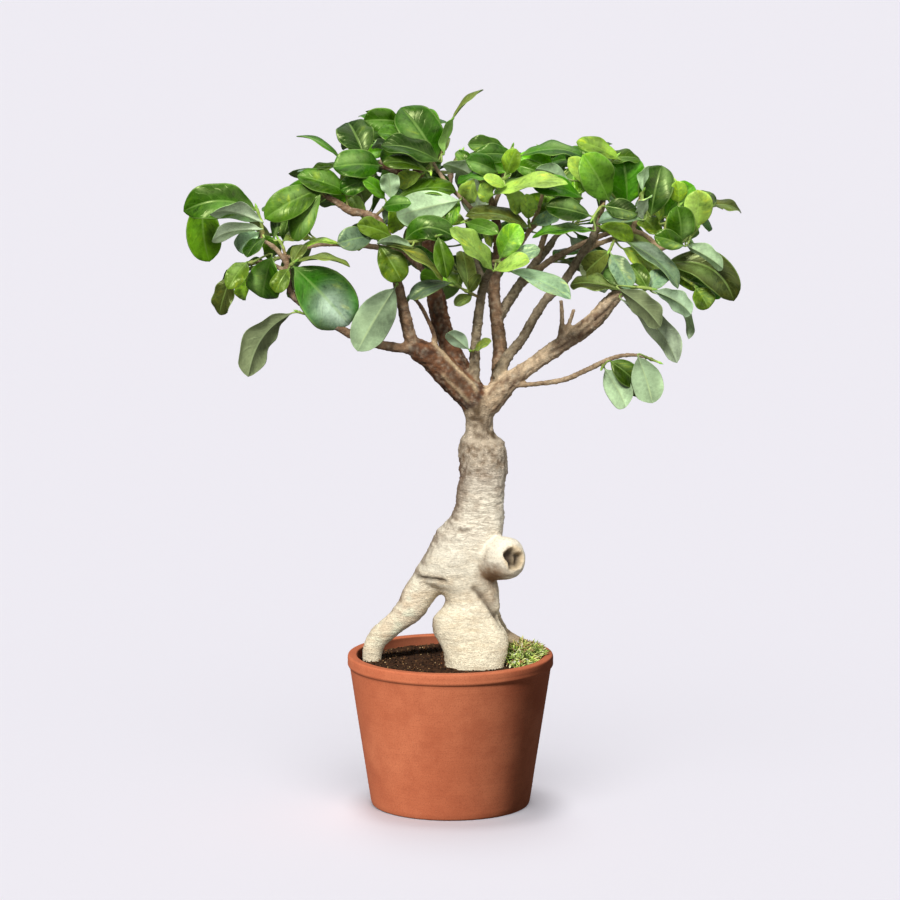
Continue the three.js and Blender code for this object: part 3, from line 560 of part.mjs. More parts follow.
      [[153.43,72.22,427.07], [158.63,67.69,427.56], [189.09,41.19,417.68], [0.445,0.185,0.876], [23.25, 0.36, 0], [1.3,0.54,2.55], 2],
      [[151.34,71.46,426.11], [155.79,78.09,424.86], [180.64,115.09,404.86], [0.296,0.293,0.909], [24.9, 0.174, 4], [1.01,1,3.11], 2],
      [[149.24,70.71,425.15], [156.68,66.91,428.56], [198.3,45.6,435.03], [-0.034,0.229,0.973], [25.29, 0.163, 5], [-0.11,0.76,3.21], 2],
      [[145.06,69.21,423.12], [150.61,71.57,419.6], [188.82,87.79,383.99], [0.676,0.025,0.737], [27.67, 0.271, 4], [2.59,0.1,2.82], 2],
      [[142.97,68.46,422.06], [146.61,75.32,421.42], [164.08,108.21,407.56], [0.549,0.059,0.833], [20.29, 0.334, 6], [1.53,0.17,2.32], 2],
    ],
  },
  spray_back_15: {
    stem: [[107.23,71.2,410.86,1.27], [112.42,74.19,416.8,1.05], [118.38,77.64,423.26,0.8]],
    leaves: [
      [[118.38,77.64,423.26], [123.47,79.07,428.36], [158.77,88.99,452.1], [-0.375,-0.513,0.772], [23.46, 0.338, 4], [-1.15,-1.57,2.36], 2],
      [[116,76.26,420.68], [121.6,82.27,421.57], [157.24,120.46,413.1], [-0.073,0.28,0.957], [26.87, 0.283, 5], [-0.27,1.04,3.55], 2],
      [[113.62,74.89,418.1], [111.03,77.83,424.11], [86.42,105.79,465.74], [0.856,-0.015,0.516], [26.04, 0.27, 4], [3.35,-0.06,2.02], 2],
      [[112.42,74.19,416.8], [117.15,74.18,414.78], [155.49,74.04,386.26], [0.59,0.153,0.793], [23.42, 0.212, 0], [1.97,0.51,2.65], 2],
      [[111.24,73.52,415.45], [112.7,80.28,417.64], [120.99,118.67,420.53], [-0.199,-0.031,0.979], [18.79, 0.193, 1], [-0.55,-0.08,2.7], 2],
    ],
  },
  spray_back_16: {
    stem: [[82.94,83.34,450,1.35], [73.84,89.23,462.2,1.05], [66.25,94.15,471.8,0.8]],
    leaves: [
      [[69.28,92.18,467.96], [66.74,98.81,465.73], [52.2,136.64,440.88], [-0.008,0.547,0.837], [25.61, 0.197, 0], [-0.03,1.82,2.79], 2],
      [[70.8,91.2,466.05], [72.71,99.15,466.38], [83.36,143.26,458.75], [0.032,0.163,0.986], [23.65, 0.181, 0], [0.1,0.52,3.18], 2],
      [[73.84,89.23,462.2], [72.17,97.64,463.1], [64.19,137.82,459.12], [0.321,0.156,0.934], [20.81, 0.266, 0], [0.92,0.45,2.69], 2],
      [[75.33,88.27,460.2], [70.35,94.81,457.7], [50.02,121.52,438.25], [-0.028,0.574,0.818], [19.89, 0.357, 0], [-0.08,1.56,2.22], 2],
      [[76.84,87.29,458.18], [69.75,86.64,459.26], [22.03,82.24,450.83], [-0.188,0.202,0.961], [23.22, 0.259, 1], [-0.64,0.69,3.27], 2],
    ],
  },
  spray_back_17: {
    stem: [[79.77,85.75,440.34,1.15], [81.01,86.97,447.29,0.95], [81.94,87.88,452.42,0.8]],
    leaves: [
      [[81.94,87.88,452.42], [85.67,87.04,456.49], [118.51,79.66,477.87], [-0.514,0.155,0.843], [20.8, 0.23, 0], [-1.44,0.43,2.35], 2],
      [[81.63,87.58,450.71], [87.18,82.27,456.12], [114.05,56.58,470.59], [-0.113,0.395,0.912], [20.13, 0.22, 1], [-0.32,1.1,2.55], 2],
      [[80.71,86.67,445.58], [72.45,84.8,447.05], [31.76,75.62,443.35], [-0.134,0.203,0.97], [20.8, 0.163, 0], [-0.39,0.6,2.84], 2],
      [[80.4,86.36,443.85], [77.83,79.1,448.48], [61.69,33.53,465.8], [0.099,0.323,0.941], [26.25, 0.251, 0], [0.35,1.16,3.38], 2],
    ],
  },
  spray_back_18: {
    stem: [[15.39,104.61,392.71,1.26], [11.7,110.63,396.31,1.05], [7.2,117.96,400.33,0.8]],
    leaves: [
      [[7.2,117.96,400.33], [0.57,121.94,404.24], [-29.13,139.8,414.09], [0.392,0.151,0.908], [17.54, 0.348, 5], [0.99,0.38,2.29], 2],
      [[9,115.03,398.72], [1.69,116.98,397.07], [-41.66,128.55,377.73], [-0.252,0.471,0.846], [23.97, 0.197, 1], [-0.86,1.61,2.89], 2],
      [[9.9,113.57,397.92], [13.05,117.63,396.19], [36.21,147.44,368.92], [0.069,0.644,0.762], [23.15, 0.2, 1], [0.22,2.1,2.48], 2],
      [[10.8,112.1,397.12], [4.13,112.91,403.8], [-35.64,117.7,429.54], [0.545,0.28,0.79], [25.75, 0.288, 0], [1.82,0.93,2.63], 2],
      [[11.7,110.63,396.31], [16.57,113.7,398.97], [58.3,140,406.95], [-0.222,0.057,0.973], [24, 0.214, 5], [-0.78,0.2,3.41], 2],
      [[12.59,109.18,395.44], [9.51,114.86,390.94], [-7.96,147.07,355.2], [-0.098,0.715,0.692], [27.53, 0.202, 0], [-0.35,2.56,2.48], 2],
    ],
  },
  spray_back_19: {
    stem: [[18.37,74.88,382.05,1.3], [9.3,78.19,382.29,1.05], [0.23,81.5,382.11,0.8]],
    leaves: [
      [[0.23,81.5,382.11], [-4.62,81.9,379.35], [-38.93,84.78,349], [-0.664,-0.091,0.742], [25, 0.225, 1], [-2.13,-0.29,2.38], 2],
      [[3.86,80.17,382.18], [-0.22,83.32,386.66], [-30.71,106.84,406.13], [0.329,-0.311,0.891], [23.27, 0.189, 1], [1,-0.94,2.69], 2],
      [[7.49,78.85,382.25], [2.4,77.92,388.71], [-40.82,70.02,422.51], [0.572,0.236,0.786], [27.31, 0.288, 4], [2.22,0.91,3.05], 2],
      [[11.11,77.53,382.24], [9.31,85.57,381.99], [-1.17,132.43,366.73], [-0.041,0.301,0.953], [26.18, 0.293, 1], [-0.14,1.06,3.36], 2],
    ],
  },
  spray_back_20: {
    stem: [[119.94,11.9,416.54,1.33], [124.39,21.62,424.46,1.05], [128.34,30.22,430.97,0.8]],
    leaves: [
      [[128.34,30.22,430.97], [133.05,32.73,434.27], [165.85,50.23,446.38], [-0.316,-0.062,0.947], [18.17, 0.289, 4], [-0.87,-0.17,2.59], 2],
      [[125.97,25.07,427.07], [123.01,31.79,431.48], [107.6,66.74,441.7], [0.352,-0.116,0.929], [20.01, 0.359, 1], [0.98,-0.32,2.57], 2],
      [[124.39,21.62,424.46], [127.43,25.06,420.67], [150.79,51.51,377.42], [0.605,0.491,0.627], [26.86, 0.271, 6], [2.36,1.92,2.45], 2],
      [[122.83,18.22,421.69], [121.09,25.66,423.64], [111.97,64.68,420.93], [0.019,0.074,0.997], [22.06, 0.344, 6], [0.05,0.21,2.8], 2],
    ],
  },
  spray_back_21: {
    stem: [[-18.91,27.16,422.98,1.26], [-22.97,35.12,428.25,1.05], [-27.71,44.39,433.92,0.8]],
    leaves: [
      [[-27.71,44.39,433.92], [-31.77,51.45,437.18], [-49.52,82.33,441.32], [0.007,-0.129,0.992], [16.92, 0.228, 4], [0.02,-0.32,2.49], 2],
      [[-25.82,40.68,431.65], [-21.83,44.92,437.43], [0.9,69.11,459.26], [-0.517,-0.252,0.818], [18.92, 0.307, 5], [-1.44,-0.7,2.27], 2],
      [[-23.92,36.98,429.39], [-23.41,42.93,423.87], [-20.73,73.75,384.27], [-0.206,0.779,0.592], [24.81, 0.268, 5], [-0.72,2.74,2.08], 2],
      [[-22.04,33.29,427.04], [-26.48,32.52,432.18], [-62.88,26.29,457.39], [0.576,-0.065,0.815], [23.29, 0.173, 0], [1.8,-0.2,2.55], 2],
    ],
  },
};

// ---- helpers ----
const V3 = (a) => new THREE.Vector3(a[0], a[1], a[2]);

function solidFrom(positions, index) {
  // A closed shell of shared vertices, turned the right way out.
  let volume = 0;
  for (let i = 0; i < index.length; i += 3) {
    const [a, b, c] = [index[i], index[i + 1], index[i + 2]].map((k) => V3(positions[k]));
    volume += a.dot(b.cross(c));
  }
  if (volume < 0) for (let i = 0; i < index.length; i += 3) [index[i], index[i + 2]] = [index[i + 2], index[i]];
  return new wasm.Manifold(
    new wasm.Mesh({ numProp: 3, vertProperties: new Float32Array(positions.flat()), triVerts: new Uint32Array(index) }),
  );
}

function toManifold(geometry) {
  const bare = geometry.clone();
  bare.deleteAttribute("normal");
  bare.deleteAttribute("uv");
  const g = mergeVertices(bare, 1e-4);
  return new wasm.Manifold(
    new wasm.Mesh({ numProp: 3, vertProperties: new Float32Array(g.attributes.position.array), triVerts: new Uint32Array(g.index.array) }),
  );
}

function toGeometry(manifold) {
  const mesh = manifold.getMesh();
  const g = new THREE.BufferGeometry();
  g.setAttribute("position", new THREE.BufferAttribute(new Float32Array(mesh.vertProperties), 3));
  g.setIndex(new THREE.BufferAttribute(new Uint32Array(mesh.triVerts), 1));
  g.computeVertexNormals();
  return g;
}

// A limb: a round section carried along its centre line, with its own radius at each point.
function limb(line, sides, grow = 0, extend = 0) {
  const c = line.map(V3);
  const r = line.map((p) => p[3] + grow);
  const n = c.length;
  if (extend) {
    c[0].add(c[0].clone().sub(c[1]).normalize().multiplyScalar(extend));
    c[n - 1].add(c[n - 1].clone().sub(c[n - 2]).normalize().multiplyScalar(extend));
  }
  const positions = [];
  const index = [];
  let side = null;
  for (let i = 0; i < n; i++) {
    const t = c[Math.min(i + 1, n - 1)].clone().sub(c[Math.max(i - 1, 0)]).normalize();
    const a = side ?? (Math.abs(t.z) < 0.8 ? new THREE.Vector3(0, 0, 1) : new THREE.Vector3(1, 0, 0));
    side = a.clone().addScaledVector(t, -a.dot(t)).normalize();
    const across = t.clone().cross(side);
    for (let k = 0; k < sides; k++) {
      const w = (2 * Math.PI * k) / sides;
      const p = c[i].clone().addScaledVector(side, r[i] * Math.cos(w)).addScaledVector(across, r[i] * Math.sin(w));
      positions.push(p.toArray());
    }
  }
  for (let i = 0; i < n - 1; i++) {
    for (let k = 0; k < sides; k++) {
      const k2 = (k + 1) % sides;
      const [a, b] = [i * sides, (i + 1) * sides];
      index.push(a + k, a + k2, b + k2, a + k, b + k2, b + k);
    }
  }
  positions.push(c[0].toArray(), c[n - 1].toArray());
  const [first, last] = [positions.length - 2, positions.length - 1];
  for (let k = 0; k < sides; k++) {
    const k2 = (k + 1) % sides;
    index.push(first, k2, k, last, (n - 1) * sides + k, (n - 1) * sides + k2);
  }
  return solidFrom(positions, index);
}

// The trunk: level oval rings joined one above the other.
function stack(rings, sides, grow = 0) {
  const positions = [];
  const index = [];
  rings.forEach(([x, y, z, rx, ry], i) => {
    const drop = i === 0 ? -grow : 0;
    for (let k = 0; k < sides; k++) {
      const w = (2 * Math.PI * k) / sides;
      positions.push([x + (rx + grow) * Math.cos(w), y + (ry + grow) * Math.sin(w), z + drop]);
    }
  });
  for (let i = 0; i < rings.length - 1; i++) {
    for (let k = 0; k < sides; k++) {
      const k2 = (k + 1) % sides;
      const [a, b] = [i * sides, (i + 1) * sides];
      index.push(a + k, a + k2, b + k2, a + k, b + k2, b + k);
    }
  }
  const low = rings[0];
  const top = rings[rings.length - 1];
  positions.push([low[0], low[1], low[2] - grow], [top[0], top[1], top[2]]);
  const [first, last] = [positions.length - 2, positions.length - 1];
  for (let k = 0; k < sides; k++) {
    const k2 = (k + 1) % sides;
    index.push(first, k2, k, last, (rings.length - 1) * sides + k, (rings.length - 1) * sides + k2);
  }
  return solidFrom(positions, index);
}

// How wide the blade is along its length, as a share of its full width.
const SECTIONS = { 2: [0.3, 0.74], 3: [0.2, 0.5, 0.82] };
const BLADE_U = [0, 0.04, 0.12, 0.22, 0.35, 0.5, 0.65, 0.78, 0.88, 0.95, 1];
const BLADE_H = [0.05, 0.14, 0.42, 0.68, 0.9, 1, 0.98, 0.86, 0.64, 0.36, 0];
function bladeShare(u) {
  for (let i = 1; i < BLADE_U.length; i++) {
    if (u <= BLADE_U[i]) {
      const w = (u - BLADE_U[i - 1]) / (BLADE_U[i] - BLADE_U[i - 1]);
      return BLADE_H[i - 1] + (BLADE_H[i] - BLADE_H[i - 1]) * w;
    }
  }
  return 0;
}

// A leaf: a thin stalk that widens into a folded blade with sharp edges and a pointed tip.
function leaf([foot, base, tip, up, [width, fold], bow], stations) {
  const [p0, b, t, a] = [foot, base, tip, bow].map(V3);
  const d = t.clone().sub(b).normalize();
  const n = V3(up);
  n.addScaledVector(d, -n.dot(d)).normalize();
  const s = d.clone().cross(n);
  const positions = [];
  const rings = [];
  const ring = (c, sv, nv, h, f, th) => {
    rings.push(positions.length);
    const lift = h * Math.sin(f);
    const out = h * Math.cos(f);
    positions.push(
      c.clone().addScaledVector(sv, out).addScaledVector(nv, lift).toArray(),
      c.clone().addScaledVector(nv, th).toArray(),
      c.clone().addScaledVector(sv, -out).addScaledVector(nv, lift).toArray(),
      c.clone().addScaledVector(nv, -th).toArray(),
    );
  };
  const dp = b.clone().sub(p0).normalize();
  const sp = dp.clone().cross(n);
  if (sp.length() > 1e-3) sp.normalize();
  else sp.copy(s);
  const np = sp.clone().cross(dp);
  ring(p0, sp, np, PETIOLE_RADIUS, 0, PETIOLE_RADIUS);
  ring(b, s.clone().add(sp).normalize(), n.clone().add(np).normalize(), PETIOLE_RADIUS, 0, PETIOLE_RADIUS);
  for (const u of stations) {
    const c = b.clone().addScaledVector(t.clone().sub(b), u).addScaledVector(a, 4 * u * (1 - u));
    ring(c, s, n, (width / 2) * bladeShare(u), fold, LEAF_HALF_THICKNESS);
  }
  positions.push(t.toArray());
  const point = positions.length - 1;
  const index = [rings[0], rings[0] + 1, rings[0] + 2, rings[0], rings[0] + 2, rings[0] + 3];
  for (let i = 0; i < rings.length - 1; i++) {
    for (let k = 0; k < 4; k++) {
      const k2 = (k + 1) % 4;
      index.push(rings[i] + k, rings[i + 1] + k, rings[i + 1] + k2, rings[i] + k, rings[i + 1] + k2, rings[i] + k2);
    }
  }
  const end = rings[rings.length - 1];
  for (let k = 0; k < 4; k++) index.push(end + k, point, end + ((k + 1) % 4));
  return solidFrom(positions, index);
}

// ---- materials ----
const paint = (color, roughness) => new THREE.MeshStandardMaterial({ color, roughness, metalness: 0 });
const TERRACOTTA = paint(0xc9744c, 0.85);
const SOIL = paint(0x352920, 0.95);
const MOSS = paint(0x93ac4c, 0.9);
const BARK = paint(0xc4b292, 0.8);
const LEAF = [0x2f6a10, 0x417d1a, 0x55904a, 0x9ccc4a, 0x74b44a, 0x6b7440, 0x5f8a66, 0x98b08a, 0xaebf92, 0x747c54].map((c) => paint(c, 0.45));

// ---- pot ----
const innerRadius = (z) => BODY_FOOT_RADIUS - WALL + ((BODY_TOP_RADIUS - BODY_FOOT_RADIUS) * z) / (POT_HEIGHT - RIM_BAND) + 0.15;
const potProfile = [
  [DRAIN_RADIUS, 0],
  [BODY_FOOT_RADIUS - 1, 0],
  [BODY_FOOT_RADIUS - 0.1, 0.9],
  [BODY_FOOT_RADIUS + 0.35, 2.4],
  [BODY_TOP_RADIUS, POT_HEIGHT - RIM_BAND],
  [RIM_RADIUS - 0.7, POT_HEIGHT - RIM_BAND],
  [RIM_RADIUS, POT_HEIGHT - RIM_BAND + 0.8],
  [RIM_RADIUS, POT_HEIGHT - 1.3],
  [RIM_RADIUS - 1, POT_HEIGHT],
  [RIM_INNER + 0.8, POT_HEIGHT],
  [RIM_INNER, POT_HEIGHT - 0.9],
  [innerRadius(100), 100],
  [innerRadius(FLOOR + 2), FLOOR + 2],
  [innerRadius(FLOOR) - 2, FLOOR],
  [DRAIN_RADIUS, FLOOR],
  [DRAIN_RADIUS, 0],
].map(([r, z]) => new THREE.Vector2(r, z));
function turned(profile, segments) {
  const g = new THREE.LatheGeometry(profile, segments);
  g.rotateX(Math.PI / 2); // the lathe's own axis is Y
  let solid = toManifold(g);
  if (solid.volume() < 0) {
    const idx = g.index.array;
    for (let i = 0; i < idx.length; i += 3) [idx[i], idx[i + 2]] = [idx[i + 2], idx[i]];
    solid = toManifold(g);
  }
  return solid;
}
const potSolid = turned(potProfile, 36);

// ---- wood: everything that grew as one piece ----
const woodPieces = [stack(TRUNK_RINGS, 12)];
for (const { sides, line } of Object.values(LIMBS)) woodPieces.push(limb(line, sides));
let woodSolid = woodPieces.reduce((a, b) => a.add(b));
// the hollow in the end of the sawn stub
const stub = LIMBS.knob.line;
const stubEnd = V3(stub[stub.length - 1]);
const stubAxis = stubEnd.clone().sub(V3(stub[stub.length - 2])).normalize();
const hollowEnds = [stubEnd.clone().addScaledVector(stubAxis, 2), stubEnd.clone().addScaledVector(stubAxis, -2.5), stubEnd.clone().addScaledVector(stubAxis, -6)];
const hollow = limb(hollowEnds.map((p, i) => [p.x, p.y, p.z, [5.6, 4.6, 2.2][i]]), 7);
woodSolid = woodSolid.subtract(hollow);
// the buried wood with room round it, to cut its sockets in the soil and the moss
const buried = [stack(TRUNK_RINGS.slice(0, 7), 12, GAP)];
for (const name of ["root_left", "root_right"]) buried.push(limb(LIMBS[name].line, LIMBS[name].sides, GAP + 0.1, GAP));
const sockets = buried.reduce((a, b) => a.add(b));

// ---- soil ----
const soilProfile = [
  [0, FLOOR + GAP],
  [innerRadius(FLOOR) - 2 - GAP * 1.5, FLOOR + GAP],
  [innerRadius(FLOOR + 2) - GAP, FLOOR + 2 + GAP],
  [innerRadius(100) - GAP, 100],
  [innerRadius(SOIL_EDGE_Z) - GAP - 0.4, SOIL_EDGE_Z],
  [58, SOIL_EDGE_Z + SOIL_RISE * 0.35],
  [30, SOIL_EDGE_Z + SOIL_RISE * 0.85],
  [0, SOIL_EDGE_Z + SOIL_RISE],
].map(([r, z]) => new THREE.Vector2(r, z));
const soilSolid = turned(soilProfile, 28).subtract(sockets);

// ---- moss: a low cushion against the right root, flat underneath where it lies on the soil ----
const MOSS_CENTRE = [53, -3, SOIL_EDGE_Z + 0.2];
const MOSS_RADII = [12.6, 15, 15.5];
const cushion = new THREE.SphereGeometry(1, 12, 8);
cushion.rotateX(Math.PI / 2);
cushion.scale(...MOSS_RADII);
cushion.translate(...MOSS_CENTRE);
const overSoil = turned(
  [
    [0, 60],
    [90, 60],
    [90, SOIL_EDGE_Z + GAP],
    [innerRadius(SOIL_EDGE_Z) - 0.4, SOIL_EDGE_Z + GAP],
    [58, SOIL_EDGE_Z + SOIL_RISE * 0.35 + GAP],
    [30, SOIL_EDGE_Z + SOIL_RISE * 0.85 + GAP],
    [0, SOIL_EDGE_Z + SOIL_RISE + GAP],
  ].map(([r, z]) => new THREE.Vector2(r, z)),
  28,
);
const mossSolid = toManifold(cushion).subtract(overSoil).subtract(sockets);

// ---- scene graph ----
const bonsai = new THREE.Group();
bonsai.name = "ficus_bonsai";
const onPotAxis = new THREE.Group(); // laid out from the pot's axis
onPotAxis.position.set(-CROWN_CENTRE[0], -CROWN_CENTRE[1], 0);
bonsai.add(onPotAxis);
function node(name, solid, material, parent = onPotAxis) {
  const mesh = new THREE.Mesh(toGeometry(solid), material);
  mesh.name = name;
  parent.add(mesh);
  return mesh;
}
node("pot", potSolid, TERRACOTTA);
node("soil", soilSolid, SOIL);
node("moss", mossSolid, MOSS);
node("wood", woodSolid, BARK);

const crown = new THREE.Group();
onPotAxis.add(crown);
for (const [name, { stem, leaves }] of Object.entries(SHOOTS)) {
  const foot = V3(stem[0]);
  const here = (p) => [p[0] - foot.x, p[1] - foot.y, p[2] - foot.z, ...p.slice(3)];
  let solid = limb(stem.map(here), STEM_SIDES);
  for (const [p0, base, tip, up, size, bow, sections] of leaves) {
    solid = solid.add(leaf([here(p0), here(base), here(tip), up, size, bow], SECTIONS[sections]));
  }
  const mesh = node(name, solid, LEAF[leaves[0][4][2]], crown);
  mesh.position.copy(foot);
}

export default bonsai;
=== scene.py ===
# Ficus bonsai in a terracotta pot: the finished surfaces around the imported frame.
# Tables are in millimetres from the pot's axis, as in the CAD source; metres() moves them into the row's frame.
import bpy, math
import numpy as np
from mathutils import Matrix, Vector


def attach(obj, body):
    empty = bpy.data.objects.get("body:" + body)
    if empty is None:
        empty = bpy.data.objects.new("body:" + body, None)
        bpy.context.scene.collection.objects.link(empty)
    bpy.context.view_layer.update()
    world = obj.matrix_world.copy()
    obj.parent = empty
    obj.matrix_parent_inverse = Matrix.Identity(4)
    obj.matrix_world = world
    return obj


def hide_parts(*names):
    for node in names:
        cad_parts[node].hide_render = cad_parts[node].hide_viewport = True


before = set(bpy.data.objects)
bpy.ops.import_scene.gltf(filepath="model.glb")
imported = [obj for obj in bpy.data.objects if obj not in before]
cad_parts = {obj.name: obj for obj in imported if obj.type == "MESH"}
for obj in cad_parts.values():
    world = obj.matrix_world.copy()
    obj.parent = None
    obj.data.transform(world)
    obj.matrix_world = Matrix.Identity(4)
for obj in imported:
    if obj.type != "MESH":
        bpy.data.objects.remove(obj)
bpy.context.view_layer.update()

CROWN_CENTRE = (11.5, 29.9)   # middle of the crown's footprint, from the pot's axis
POT_HEIGHT, RIM_RADIUS, RIM_INNER, RIM_BAND = 111.4, 75.0, 68.2, 8.6
BODY_TOP_RADIUS, BODY_FOOT_RADIUS, WALL, FLOOR, DRAIN_RADIUS = 73.6, 57.9, 6.0, 6.5, 7.0
SOIL_EDGE_Z, SOIL_RISE = 105.0, 2.0
MOSS_CENTRE, MOSS_RADII = (53.0, -3.0, 105.2), (12.6, 15.0, 15.5)

# trunk: rings from the buried end up to the fork: x, y, z, half width in x, half width in y
TRUNK_RINGS = [
    (17.13, -19, 80.67, 14.48, 14),
    (17.11, -19, 101.44, 19.55, 18),
    (17.84, -17, 113.6, 21.72, 19),
    (17.12, -14, 123.35, 24.62, 20.5),
    (14.23, -11, 132.36, 25.7, 21),
    (12.05, -8, 141.38, 22.44, 21),
    (15.7, -4, 151.7, 19.19, 21),
    (12.07, -1, 160, 22.44, 22),
    (4.06, 0, 169.43, 28.96, 24),
    (5.15, 0, 180.53, 26.06, 24.5),
    (10.24, 0, 190.87, 25.34, 24),
    (14.59, 0, 201.94, 23.53, 22),
    (20.02, 0, 213, 19.19, 19.5),
    (22.19, 0, 225.51, 17.38, 17.5),
    (23.62, 0, 242.42, 16.65, 17),
    (23.81, 0, 257.1, 17.16, 17.2),
    (23.22, 0, 265.9, 16.94, 16.5),
    (21.92, 0, 269.93, 14.48, 14),
    (21.41, 0, 273.22, 10.86, 10.8),
    (21.04, 0, 279.08, 9.41, 9.6),
    (20.67, 0, 289.31, 11.08, 10.8),
    (20.3, 0, 296.62, 14.48, 11.5),
    (19.93, 0, 301, 10.86, 8),
]
